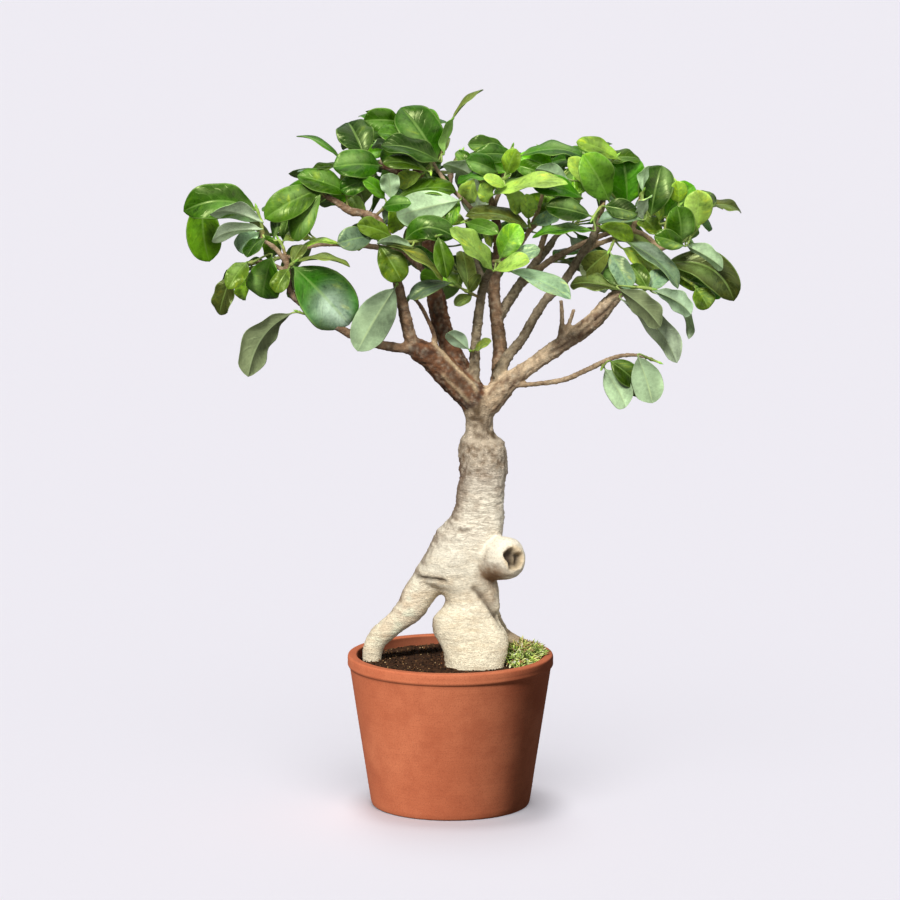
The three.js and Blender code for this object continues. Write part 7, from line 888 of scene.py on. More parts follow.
def shoot_piece(index, name, stem, leaves):
    rnd = np.random.default_rng(500 + index)
    fine = not name.startswith("spray_back")
    st = np.asarray(stem, float)
    d0 = unit(st[0, :3] - st[1, :3])
    start = np.concatenate([st[0, :3] + d0 * 2.6, [st[0, 3] * 1.15]])
    pts = [start] + list(st)
    pts[-1] = pts[-1].copy()
    S = spline(pts, 5)
    ln = np.linalg.norm(np.diff(S[:, :3], axis=0), axis=1).sum()
    s = np.concatenate([[0], np.cumsum(np.linalg.norm(np.diff(S[:, :3], axis=0), axis=1))]) / ln
    # nodes swell a little where the leaves leave the stem
    for q in leaves:
        k = np.argmin(np.linalg.norm(S[:, :3] - np.asarray(q[0]), axis=1))
        S[:, 3] += 0.32 * np.exp(-((s - s[k]) * ln / 1.3) ** 2)
    # a pointed bud closes the shoot
    end, dirn = S[-1, :3], unit(S[-1, :3] - S[-2, :3])
    bud = [np.concatenate([end + dirn * a, [r]]) for a, r in ((0.7, 0.62), (1.5, 0.98), (2.6, 0.80), (3.7, 0.42), (4.6, 0.10))]
    S = np.concatenate([S, bud])
    V, F = tube(S, 10, 1)
    nS = len(V)
    par = np.concatenate([np.repeat(np.concatenate([s, np.full(5, 1.1)]), 10), [0, 1.2]])
    k = ramp(par, 0.0, 0.7)[:, None]
    col = STEM_OLD * (1 - k) + STEM_YOUNG * k
    budc = lin(150, 196, 84)
    kb = ramp(par, 1.0, 1.1)[:, None]
    col = col * (1 - kb) + budc * kb
    A = np.stack([np.full(nS, -1.0), par * 0, np.ones(nS)], 1)
    Vs, Q, Tr, As, Ct, Cu = [V], [F[0]], [F[1]], [A], [col], [col]
    off = nS
    for q in leaves:
        v, quads, tri, a, ct, cu = leaf(rnd, q[0], q[1], q[2], q[3], q[4], q[5], q[6], q[7], fine)
        Vs.append(v); Q.append(quads + off); Tr.append(tri + off); As.append(a); Ct.append(ct); Cu.append(cu)
        off += len(v)
    return build(name.replace("spray", "shoot"), np.concatenate(Vs), [np.concatenate(Q), np.concatenate(Tr)],
                 [name], {"leaf": np.concatenate(As), "c_top": np.concatenate(Ct), "c_low": np.concatenate(Cu)})


def leaf_material():
    M = Mat("leaf_finish")
    sep = M.node("ShaderNodeSeparateXYZ")
    M.put(sep.inputs[0], M.attr("leaf"))
    u, v, side = sep.outputs
    av = M.math("ABSOLUTE", v)
    blade = M.span(u, 0.0, 0.03)
    is_top = M.math("GREATER_THAN", side, 0.0)
    top, low = M.attr("c_top", "Color"), M.attr("c_low", "Color")
    # broad change of tone over each leaf, and a finer mottle
    broad = M.noise(45, 2, 0.5)
    fine = M.noise(420, 3, 0.6)
    tone = M.math("ADD", M.span(broad, 0.3, 0.7, 0.56, 1.40, False), M.span(fine, 0.3, 0.7, -0.17, 0.17, False))
    comb = M.node("ShaderNodeCombineColor")
    for s in comb.inputs[:3]:
        M.put(s, tone)
    # side veins: pairs that run forward from the midrib
    ph = M.math("SUBTRACT", M.math("MULTIPLY", u, 9.0), M.math("MULTIPLY", av, 2.4))
    ph = M.math("ADD", ph, M.math("MULTIPLY", M.noise(110, 2, 0.5), 1.3))
    fr = M.math("ABSOLUTE", M.math("SUBTRACT", M.math("FRACT", ph), 0.5))
    vein = M.math("MULTIPLY", M.span(fr, 0.36, 0.5), M.math("MULTIPLY", M.span(av, 0.05, 0.14), M.span(av, 0.98, 0.80)))
    vein = M.math("MULTIPLY", vein, blade)
    rib = M.math("MULTIPLY", M.span(av, 0.085, 0.02), blade)
    rib = M.math("MULTIPLY", rib, M.span(u, 1.02, 0.80, 0.25, 1.0))
    edge = M.math("MULTIPLY", M.span(av, 0.88, 1.0), blade)
    c = M.mix(1.0, top, comb.outputs[0], "MULTIPLY")
    # uneven growth: yellower and darker streaks that follow the side veins
    along = M.node("ShaderNodeCombineXYZ")
    M.put(along.inputs[0], M.math("ADD", M.math("MULTIPLY", M.math("SUBTRACT", u, M.math("MULTIPLY", av, 0.26)), 7.0), M.math("MULTIPLY", v, 0.9)))
    M.put(along.inputs[1], M.math("MULTIPLY", v, 1.1))
    M.put(along.inputs[2], M.math("MULTIPLY", M.noise(9, 0, 0.5), 40.0))
    streak = M.noise(1.0, 3, 0.62, vector=along.outputs[0])
    yellow = M.math("MULTIPLY", M.span(streak, 0.52, 0.70), M.span(M.noise(38, 2, 0.5), 0.40, 0.60))
    dark = M.math("MULTIPLY", M.span(streak, 0.50, 0.34), M.span(M.noise(52, 2, 0.5), 0.62, 0.42))
    c = M.mix(M.math("MULTIPLY", yellow, 0.75), c, M.mix(1.0, c, (2.3, 1.65, 0.8), "MULTIPLY"))
    c = M.mix(M.math("MULTIPLY", dark, 0.72), c, M.mix(1.0, c, (0.36, 0.44, 0.45), "MULTIPLY"))
    c = M.mix(M.math("MULTIPLY", vein, 0.10), c, M.mix(0.45, c, (0.36, 0.56, 0.12)))
    c = M.mix(M.math("MULTIPLY", rib, 0.30), c, (0.34, 0.54, 0.13))
    c = M.mix(M.math("MULTIPLY", edge, 0.44), c, (0.42, 0.64, 0.16))
    c = M.mix(M.math("MULTIPLY", M.span(u, 0.22, 0.0), M.math("MULTIPLY", blade, 0.35)), c, (0.30, 0.50, 0.12))
    b = M.mix(1.0, low, comb.outputs[0], "MULTIPLY")
    b = M.mix(M.math("MULTIPLY", vein, 0.20), b, M.mix(0.5, b, (0.42, 0.54, 0.30)))
    b = M.mix(M.math("MULTIPLY", rib, 0.55), b, (0.42, 0.54, 0.26))
    b = M.mix(M.math("MULTIPLY", edge, 0.30), b, (0.45, 0.58, 0.32))
    M.put(M.bsdf.inputs["Base Color"], M.mix(is_top, b, c))
    M.bsdf.inputs["Specular IOR Level"].default_value = 0.40
    M.bsdf.inputs["Specular Tint"].default_value = (0.86, 1.0, 0.45, 1.0)
    rough_top = M.span(fine, 0.3, 0.7, 0.25, 0.36, False)
    rough = M.math("ADD", M.math("MULTIPLY", rough_top, is_top), M.math("MULTIPLY", M.math("SUBTRACT", 1.0, is_top), 0.58))
    rough = M.math("ADD", rough, M.math("MULTIPLY", M.math("SUBTRACT", 1.0, blade), 0.15))
    M.put(M.bsdf.inputs["Roughness"], rough)
    h = M.math("ADD", M.math("MULTIPLY", vein, -0.5), M.math("MULTIPLY", fine, 0.25))
    h = M.math("SUBTRACT", h, M.math("MULTIPLY", rib, 0.35))
    M.put(M.bsdf.inputs["Normal"], M.bump(h, 0.45, 0.0003))
    return M.m


leaf_mat = leaf_material()
for i, (nm, slot_kind, stem, leaves) in enumerate(SHOOTS):
    shoot_piece(i, nm, stem, leaves).data.materials.append(leaf_mat)


# ---------------------------------------------------------------- wood
def z_of(py):
    """Height at which a picture row meets the trunk's own plane."""
    d = FWD * 1.0 + UPV * ((450 - py) * MM_PER_PX / (DIST * 1000))
    return float(EYE[2] + d[2] * (-EYE[1] / d[1]))


def trunk_skin():
    """The trunk as a lofted skin with soft lobes."""
    R = spline(TRUNK_RINGS, 6)
    # the rings are joined by a Catmull-Rom spline, which can overshoot at the sharp shoulder
    sides = 64
    w = 2 * np.pi * np.arange(sides) / sides
    z = R[:, 2][:, None]
    foot = ramp(-z, -200, -110)
    lobes = 1 + (0.015 + 0.05 * foot) * np.cos(3 * w[None] + 0.9 + z * 0.006) + 0.02 * np.cos(5 * w[None] - 0.5 + z * 0.02)
    V = np.stack([R[:, 0][:, None] + R[:, 3][:, None] * lobes * np.cos(w), R[:, 1][:, None] + R[:, 4][:, None] * lobes * np.sin(w),
                  np.repeat(z, sides, 1)], -1).reshape(-1, 3)
    n = len(R)
    q = ring_faces(n, sides)
    k = np.arange(sides)
    k2 = (k + 1) % sides
    V = np.concatenate([V, [R[0, :3]], [R[-1, :3]]])
    t = np.concatenate([np.stack([np.full(sides, n * sides), k2, k], 1),
                        np.stack([np.full(sides, n * sides + 1), (n - 1) * sides + k, (n - 1) * sides + k2], 1)])
    return V, [q, t]


LIMB_TONE = {}   # bark colour by limb: (main, dark)
RED = (lin(124, 78, 46), lin(52, 27, 11))
GREY = (lin(172, 154, 130), lin(92, 74, 54))
OLIVE = (lin(170, 152, 124), lin(86, 70, 48))
TAN = (lin(198, 172, 138), lin(110, 82, 56))
CREAM = (lin(216, 186, 146), lin(150, 118, 84))
for key in LIMBS:
    LIMB_TONE[key] = TAN
for key in ("limb_left", "limb_back", "br_d"):
    LIMB_TONE[key] = RED
for key in ("limb_left_low", "limb_left_up", "limb_left_top", "tw_thin", "bk_left", "bk_mid", "limb_mid2"):
    LIMB_TONE[key] = (lin(168, 134, 102), lin(82, 54, 34))
for key in ("limb_mid", "limb_right_up", "bk_low", "bk_right"):
    LIMB_TONE[key] = OLIVE
for key in ("limb_right", "tw_dead1", "tw_dead2"):
    LIMB_TONE[key] = (lin(214, 188, 154), lin(96, 66, 42))
for key in ("tw_f1", "tw_f2", "tw_f3", "tw_i1", "tw_i2", "tw_d3"):
    LIMB_TONE[key] = CREAM

# furrows seen in the photograph: picture points, half width in mm, depth in mm, darkness of the painted shade along
# each furrow
FURROWS = [
    ([(470, 586), (478, 592), (485, 600), (493, 611), (503, 623), (513, 635)], 1.9, 3.0, 0.85),
    ([(414, 576), (424, 578), (436, 580), (449, 583)], 1.3, 2.2, 1.0),
    ([(458, 529), (463, 531), (470, 530)], 1.1, 1.8, 1.0),
    ([(546, 355), (563, 346), (580, 334), (598, 319), (612, 305), (619, 297)], 1.1, 1.5, 0.85),
    ([(452, 372), (461, 384), (468, 391)], 2.4, 1.0, 0.75),
    ([(470, 609), (476, 620)], 0.7, 0.5, 0.35),
    ([(444, 640), (460, 643), (476, 641), (492, 643)], 0.7, 0.5, 0.30),
    ([(450, 622), (468, 620), (484, 622)], 0.6, 0.4, 0.20),
]
RIDGES = [  # raised strands: picture points, half width in mm, height in mm, lightness
    ([(430, 336), (438, 348), (450, 361), (462, 373), (473, 384), (478, 394)], 1.2, 1.0, 0.8),
    ([(440, 372), (452, 385), (463, 396), (470, 403)], 1.1, 0.5, 0.7),
    ([(455, 551), (449, 561), (441, 571)], 2.0, 0.5, 0.0),
]


def near_path(px, path):
    """Distance in px to a path, and the place along it from 0 to 1."""
    path = np.asarray(path, float)
    best, at = np.full(len(px), 1e9), np.zeros(len(px))
    n = len(path) - 1
    for i in range(n):
        a, b = path[i], path[i + 1]
        ab = b - a
        t = np.clip(((px - a) @ ab) / (ab @ ab), 0, 1)
        dd = np.linalg.norm(px - a - t[:, None] * ab, axis=1)
        m = dd < best
        best[m] = dd[m]
        at[m] = (i + t[m]) / n
    return best, at


def make_wood():
    V, Q, T, off = [], [], [], 0
    v, f = trunk_skin()
    V.append(v); Q.append(f[0]); T.append(f[1]); off = len(v)
    for key, line in LIMBS.items():
        L = np.asarray(line, float).copy()
        L[:, 3] += np.where(L[:, 3] < 3.0, 0.28, 0.1)     # the smoothing below takes this off again
        v, f = tube(L, 18 if L[:, 3].max() > 4 else 12, 6)
        V.append(v); Q.append(f[0] + off); T.append(f[1] + off); off += len(v)
    V = np.concatenate(V)
    me = bpy.data.meshes.new("wood_block")
    me.from_pydata((V / 1000).tolist(), [], [list(q) for q in np.concatenate(Q)] + [list(t) for t in np.concatenate(T)])
    ob = bpy.data.objects.new("wood_block", me)
    bpy.context.scene.collection.objects.link(ob)
    m = ob.modifiers.new("skin", "REMESH")
    m.mode = "VOXEL"
    m.voxel_size = 0.00116
    bpy.context.view_layer.update()
    dg = bpy.context.evaluated_depsgraph_get()
    done = bpy.data.meshes.new_from_object(ob.evaluated_get(dg))
    bpy.data.objects.remove(ob)
    n = len(done.vertices)
    P = np.empty(n * 3, np.float32)
    done.vertices.foreach_get("co", P)
    P = P.reshape(-1, 3).astype(float) * 1000
    E = np.empty(len(done.edges) * 2, np.int32)
    done.edges.foreach_get("vertices", E)
    E = E.reshape(-1, 2)
    nl = len(done.loops)
    LV = np.empty(nl, np.int32)
    done.loops.foreach_get("vertex_index", LV)
    LT = np.empty(len(done.polygons), np.int32)
    done.polygons.foreach_get("loop_total", LT)
    assert (LT == 4).all()
    F = LV.reshape(-1, 4)
    bpy.data.meshes.remove(done)
    bpy.data.meshes.remove(me)
    deg = np.bincount(E.ravel(), minlength=n).astype(float)

    def average(X):
        out = np.zeros_like(X)
        for c in range(X.shape[1]):
            out[:, c] = np.bincount(E[:, 0], X[E[:, 1], c], n) + np.bincount(E[:, 1], X[E[:, 0], c], n)
        return out / deg[:, None]

    # nearest limb for each point
    seg, tone_main, tone_dark, kind, along = [], [], [], [], []
    R = spline(TRUNK_RINGS, 3)
    for a, b in zip(R[:-1], R[1:]):
        seg.append(np.concatenate([a[:3], [min(a[3], a[4])], b[:3], [min(b[3], b[4])]]))
        tone_main.append((0, 0, 0)); tone_dark.append((0, 0, 0)); kind.append(0); along.append((a[2], b[2]))
    names = list(LIMBS)
    for li, key in enumerate(names):
        C = spline(LIMBS[key], 3)
        ds = np.concatenate([[0], np.cumsum(np.linalg.norm(np.diff(C[:, :3], axis=0), axis=1))])
        for i in range(len(C) - 1):
            seg.append(np.concatenate([C[i], C[i + 1]]))
            m_, d_ = LIMB_TONE[key]
            tone_main.append(m_); tone_dark.append(d_); kind.append(li + 1); along.append((ds[i], ds[i + 1]))
    seg = np.array(seg); tone_main = np.array(tone_main); tone_dark = np.array(tone_dark)
    kind = np.array(kind); along = np.array(along)

    def nearest(P):
        best = np.full(len(P), 1e9); idx = np.zeros(len(P), np.int32); tt = np.zeros(len(P))
        P32 = P.astype(np.float32)
        for s in range(len(seg)):
            a, ra, b, rb = seg[s, :3], seg[s, 3], seg[s, 4:7], seg[s, 7]
            lo, hi = np.minimum(a, b) - 26, np.maximum(a, b) + 26
            near = np.nonzero(((P32 > lo) & (P32 < hi)).all(1))[0]
            if not len(near):
                continue
            ab = b - a
            q = P32[near] - a
            t = np.clip((q @ ab) / max(ab @ ab, 1e-9), 0, 1)
            dd = np.linalg.norm(q - t[:, None] * ab, axis=1) - (ra + (rb - ra) * t)
            m = dd < best[near]
            w = near[m]
            best[w] = dd[m]; idx[w] = s; tt[w] = t[m]
        return best, idx, tt

    _, idx, tt = nearest(P)
    rad = seg[idx, 3] + (seg[idx, 7] - seg[idx, 3]) * tt
    # joints melt into each other: more smoothing where the wood is thick, little on the twigs
    for it in range(7):
        A = average(P)
        k = np.clip((rad - 1.2) / 6.0, 0.0, 1.0)[:, None] * 0.62 + (0.22 if it < 2 else 0.0)
        P = P + (A - P) * k
    dist, idx, tt = nearest(P)
    rad = seg[idx, 3] + (seg[idx, 7] - seg[idx, 3]) * tt
    centre = seg[idx, :3] + (seg[idx, 4:7] - seg[idx, :3]) * tt[:, None]
    axis = unit(seg[idx, 4:7] - seg[idx, :3])
    s_along = along[idx, 0] + (along[idx, 1] - along[idx, 0]) * tt
    is_trunk = kind[idx] == 0
    limb_names = np.array(["trunk"] + names)[kind[idx]]

    def normals(P):
        a, b, c, d = P[F[:, 0]], P[F[:, 1]], P[F[:, 2]], P[F[:, 3]]
        fn = np.cross(c - a, d - b)
        nn = np.zeros_like(P)
        for col in range(4):
            for c_ in range(3):
                nn[:, c_] += np.bincount(F[:, col], fn[:, c_], n)
        return unit(nn)

    N = normals(P)
    px = to_px(P)
    front = (N @ -FWD) > 0.05
    z = P[:, 2]
    Zs = {k: z_of(k) for k in (384, 402, 412, 437, 440, 460, 475, 500, 530, 560, 590, 640, 660)}
    seed_shift = kind[idx][:, None] * 37.7
    # local coordinates that follow each limb: across stays in mm, along is squeezed, so that patterns stretch lengthwise
    lateral = P - centre
    lateral = lateral - axis * (lateral * axis).sum(1)[:, None]
    flow = lateral + axis * (s_along * 0.28)[:, None] + seed_shift * 0.13
    trunk_w = np.clip(np.where(is_trunk, 1.0, 0.0), 0, 1)
    knob = np.isin(limb_names, ["knob"])
    roots = np.isin(limb_names, ["root_left", "root_right"])
    body = is_trunk | knob | roots

    rough_zone = ramp(z, Zs[475] - 6, Zs[475] + 4) * ramp(-z, -Zs[437], -Zs[440] + 2) * is_trunk
    neck_zone = ramp(z, Zs[440], Zs[437] + 2) * np.where(body, 1.0, 0.0)
    wrinkle_zone = ramp(z, Zs[560], Zs[530] + 6) * ramp(-z, -Zs[460], -Zs[475]) * is_trunk
    cream_zone = ramp(-z, -Zs[530] - 2, -Zs[560] + 14) * np.where(body, 1.0, 0.0)

    d = np.zeros(n)
    # broad unevenness
    d += fbm(P / 19.0, 3, 2) * np.clip(rad * 0.075, 0.06, 1.5)
    d += fbm(P / 7.0, 5, 2) * np.clip(rad * 0.035, 0.05, 0.55)
    # bark of the limbs: lengthwise strands and joints
    strand = fbm(flow / np.clip(rad * 0.55, 0.9, 3.0)[:, None], 11, 2)
    groove = np.clip(np.abs(fbm(flow / np.clip(rad * 0.45, 0.8, 2.6)[:, None], 111, 2)) * 3.0, 0, 1)   # narrow furrows where it is near 0
    d += np.where(body, 0, strand * np.clip(rad * 0.11, 0.08, 0.8) - (1 - groove) * np.clip(rad * 0.10, 0.06, 0.7))
    node_gap = 9.0 + 2.2 * np.sin(kind[idx] * 1.7)
    joint = np.exp(-((((s_along / node_gap + fbm(P / 30.0, 2, 1) * 0.4) % 1.0) - 0.5) * node_gap / 0.8) ** 2)
    d += np.where(body, 0, joint * np.clip(rad * 0.11, 0.16, 0.45))
    # trunk: rings of fine wrinkles, then rough plates, then the pitted neck
    wob = fbm(P / 14.0, 21, 2)
    ringp = P * np.array([0.060, 0.060, 0.42]) + wob[:, None] * 0.7
    wr = 1 - np.abs(fbm(ringp, 9, 2)) * 2.6
    d += np.clip(wr, -0.6, 1) * (0.58 * wrinkle_zone + 0.26 * cream_zone + 0.20 * rough_zone)
    fine_r = fbm(P * np.array([0.11, 0.11, 0.95]) + wob[:, None], 15, 2)
    d += fine_r * (0.20 * wrinkle_zone + 0.13 * cream_zone)
    plates = fbm(P / 3.1, 13, 3, 0.6)
    d += (plates * 1.30 - 0.6 * np.clip(-fbm(P / 5.0, 19, 2) - 0.12, 0, 1) * 3) * rough_zone
    d += (fbm(P / 3.6, 23, 3, 0.6) * 1.0 + fbm(flow / 2.2, 29, 2) * 0.4) * neck_zone
    # furrows and strands that the photograph shows
    # the furrows get painted shade, the strands a lighter colour
    shade = np.zeros(n)
    lift = np.zeros(n)
    for path, half, deep, dark in FURROWS:
        dd, at = near_path(px + fbm(P / 4.0, 41, 2)[:, None] * 0.8, path)
        g = np.exp(-(dd * MM_PER_PX / half) ** 2) * np.where(front, 1, 0) * ramp(at, -0.01, 0.12) * ramp(1 - at, -0.01, 0.12)
        d -= g * deep
        shade = np.maximum(shade, np.exp(-(dd * MM_PER_PX / (half * 0.85)) ** 2) * np.where(front, 1, 0) * dark * ramp(at, 0, 0.1) * ramp(1 - at, 0, 0.1))
    for path, half, high, lightness in RIDGES:
        dd, at = near_path(px + fbm(P / 5.0, 43, 2)[:, None] * 0.6, path)
        g = np.exp(-(dd * MM_PER_PX / half) ** 2) * np.where(front, 1, 0) * ramp(at, -0.01, 0.1) * ramp(1 - at, -0.01, 0.1)
        d += g * high
        lift = np.maximum(lift, g * lightness)
    P = P + N * d[:, None]
    # the sawn stub: a flattish face with a rim of callus and a torn hollow
    K = spline(LIMBS["knob"], 8)
    ke, kd = K[-1, :3], unit(K[-1, :3] - K[-6, :3])
    q = P - ke
    out = q @ kd
    rad_k = np.linalg.norm(q - out[:, None] * kd, axis=1)
    near_k = (rad_k < 15) & (out > -11) & knob
    e1 = unit(np.cross(kd, [0, 0, 1.0]))
    e2 = np.cross(e1, kd)
    a1, a2 = q @ e1, q @ e2
    # a crooked hollow, taller than wide
    ang = np.arctan2(a2 + 0.6, a1 - 0.4)
    ho = np.hypot((a1 - 0.4) / 1.0, (a2 + 0.6) / 1.25) / (6.9 + 1.2 * np.sin(2 * ang + 0.8) + 0.8 * np.sin(3 * ang - 1.1) + 0.6 * np.sin(5 * ang))
    lump = np.exp(-(((a1 + 0.9) / 1.2) ** 2 + ((a2 + 1.8) / 3.2) ** 2))
    hollow = np.where(near_k, ramp(-ho, -1.10, -0.66), 0) * (1 - 0.50 * lump)
    face = np.where(near_k, ramp(-rad_k, -10.5, -8.0), 0)
    P = P - kd * (hollow * (6.6 + 1.6 * fbm(P / 2.0, 49, 2)))[:, None]
    P = P - kd * (face * (1 - hollow) * np.clip(out - 1.6, 0, 9) * 0.75)[:, None]
    P = P + kd * (np.where(near_k, np.exp(-((rad_k - 8.6) / 2.2) ** 2), 0) * (0.5 + 0.5 * fbm(P / 3.0, 47, 2)))[:, None]
    N2 = normals(P)

    # colour
    base = np.zeros((n, 3))
    mott = fbm(P / 2.3, 51, 3, 0.6)
    mott2 = fbm(P / 6.5, 53, 2)
    speck = ramp(fbm(P / 1.25, 55, 2), 0.20, 0.48)
    darkmix = np.clip(0.26 + 0.60 * strand + 0.55 * mott + 0.55 * (1 - groove), 0, 1)
    base = tone_main[idx] * (1 - darkmix[:, None]) + tone_dark[idx] * darkmix[:, None]
    top_light = ramp(N2[:, 2], -0.2, 0.9) * ramp(rad, 2.0, 4.0)
    base = base * (1 + 0.22 * top_light[:, None])
    # trunk tones by height
    stops = [(-20, lin(246, 234, 204)), (Zs[640], lin(249, 238, 210)), (Zs[590], lin(247, 237, 213)), (Zs[560], lin(246, 238, 218)),
             (Zs[530], lin(249, 239, 219)), (Zs[500], lin(248, 238, 217)), (Zs[475], lin(232, 219, 200)), (Zs[460], lin(204, 189, 168)),
             (Zs[440], lin(200, 184, 162)), (Zs[412], lin(176, 156, 130)), (Zs[384], lin(162, 138, 108)), (400, lin(158, 134, 102))]
    zz = [s[0] for s in stops]
    tc = np.stack([np.interp(z, zz, [s[1][c] for s in stops]) for c in range(3)], 1)
    brown = lin(112, 86, 58)
    furrow_shade_brown = lin(74, 54, 36)
    k1 = np.clip(rough_zone * (0.18 + 1.5 * np.clip(mott, -0.4, 1) - 0.5 * plates) + rough_zone * speck * 0.6, 0, 0.9)
    tc = tc * (1 - k1[:, None]) + brown * k1[:, None]
    blot = np.exp(-(((px[:, 0] - 477) / 9) ** 2 + ((px[:, 1] - 412) / 17) ** 2)) * np.where(front, 1, 0)
    k2 = np.clip(neck_zone * (0.10 + 1.2 * mott2 + 1.0 * mott + blot * (0.35 + 1.2 * np.clip(mott, -0.3, 1))), 0, 0.92)
    tc = tc * (1 - k2[:, None]) + lin(84, 62, 34) * k2[:, None]
    # wrinkle zone: speckle and blotches, with painted shade in the creases between wrinkles and on the left-facing side
    wrinkle_marks_and_shade = np.clip(wrinkle_zone * (np.clip(-wr, 0, 1) * 0.46 + speck * 0.20 + np.clip(mott2, 0, 1) * 0.30 + 0.35 * ramp(-N2[:, 0], 0.35, 0.95)), 0, 0.75)
    tc = tc * (1 - wrinkle_marks_and_shade[:, None]) + lin(164, 134, 108) * wrinkle_marks_and_shade[:, None]
    streak = fbm(P * np.array([0.05, 0.05, 0.7]) + wob[:, None] * 0.8, 61, 2)
    k4 = np.clip(cream_zone * (0.06 + 0.75 * np.clip(streak, 0, 1) + 0.40 * np.clip(mott2, 0, 1)), 0, 0.6)
    tc = tc * (1 - k4[:, None]) + lin(222, 196, 158) * k4[:, None]
    # the left root: lightened higher up, and browner on its outer and lower sides, partly its own colour and partly
    # painted shade
    rl = np.where(body, 1.0, 0.0) * ramp(-px[:, 0], -432, -404) * ramp(px[:, 1], 560, 585)
    left_root_brown_and_shade = np.clip(rl * (0.30 + 0.55 * ramp(-N2[:, 0] - 0.3 * N2[:, 2], 0.1, 0.95) + 0.7 * np.clip(mott2, -0.3, 1) + 0.6 * np.clip(streak, 0, 1)) * ramp(z, 116, 136), 0, 0.85)
    left_root_brown_and_shade = left_root_brown_and_shade * 0.36
    tc = tc * (1 + 0.20 * rl * ramp(z, 112, 130))[:, None]
    tc = tc * (1 - left_root_brown_and_shade[:, None]) + lin(168, 128, 98) * left_root_brown_and_shade[:, None]
    # painted shade: a thin brown line along the trunk's left outline, where its surface turns away to the left
    left_outline_shade = np.clip(np.where(body, 1.0, 0.0) * ramp(-N2[:, 0], 0.70, 0.97) * ramp(px[:, 1], 440, 470) * ramp(-px[:, 1], -640, -625) * 0.75, 0, 0.75)
    tc = tc * (1 - left_outline_shade[:, None]) + lin(122, 88, 62) * left_outline_shade[:, None]
    # the right root darkens towards the moss
    rr = np.where(limb_names == "root_right", 1.0, 0.0) * ramp(px[:, 0], 492, 510)
    k6 = np.clip(rr * (0.62 + 0.5 * mott2), 0, 0.9)
    tc = tc * (1 - k6[:, None]) + lin(148, 120, 88) * k6[:, None]
    # painted shade on the trunk just under the stub
    shade_below_stub = np.clip(np.where(body, 1, 0) * np.exp(-(((px[:, 0] - 493) / 11) ** 2 + ((px[:, 1] - 578) / 8) ** 2)) * np.where(front, 1, 0) * 0.85, 0, 1)
    tc = tc * (1 - shade_below_stub[:, None]) + lin(136, 98, 62) * shade_below_stub[:, None]
    # painted shade in the recess between the front root and the stub
    recess_shade = np.clip(np.where(body & front, 1.0, 0.0) * np.exp(-(((px[:, 0] - 490) / 12) ** 2 + ((px[:, 1] - 596) / 11) ** 2)) * (0.45 + 0.9 * np.clip(mott, -0.4, 1)), 0, 0.8)
    tc = tc * (1 - recess_shade[:, None]) + lin(126, 92, 62) * recess_shade[:, None]
    base = np.where(body[:, None], tc, base)
    # painted shade on the stub's underside, where it faces down
    stub_underside_shade = np.clip(np.where(knob & front, 1.0, 0.0) * ramp(-N2[:, 2], -0.15, 0.55) * ramp(-px[:, 0], -512, -494) * (0.75 + 0.8 * mott), 0, 0.8)
    base = base * (1 - stub_underside_shade[:, None]) + lin(136, 98, 62) * stub_underside_shade[:, None]
    # pale lichen flecks on the limbs
    fleck = ramp(fbm(P / 0.95, 57, 2), 0.26, 0.5) * np.where(body, 0, 1) * np.where(rad > 2.2, 0.55, 0.35)
    base = base * (1 - fleck[:, None]) + lin(216, 206, 182) * fleck[:, None]
    # a soft weight across the fork, which nothing below uses
    w_f = ramp(dist, 2.5, -1.0)
    # stub: pale outside, tan saw face, and a hollow painted near black as shade
    kf = face * 0.75
    base = base * (1 - kf[:, None]) + lin(232, 204, 160) * (1 + 0.25 * mott[:, None]) * kf[:, None]
    # painted shade deep inside the hollow
    base = base * (1 - hollow[:, None] * 0.96) + lin(40, 24, 12) * hollow[:, None] * 0.96
    # painted shade: the furrows darkened to deep brown
    base = base * (1 - shade[:, None]) + furrow_shade_brown * shade[:, None]
    base = base * (1 - lift[:, None]) + lin(222, 196, 156) * lift[:, None]
    for it in range(2):
        base = base * 0.5 + average(base) * 0.5
    base = np.clip(base, 0.004, 0.95)
    ob = build("tree_wood", P, [F], ["wood"], {"c_bark": base, "rough_zone": np.clip(rough_zone + neck_zone + np.where(body, 0, 0.7), 0, 1),
                                                         "trunk_skin": np.clip(wrinkle_zone + 0.55 * cream_zone + 0.35 * rough_zone, 0, 1)})
    return ob


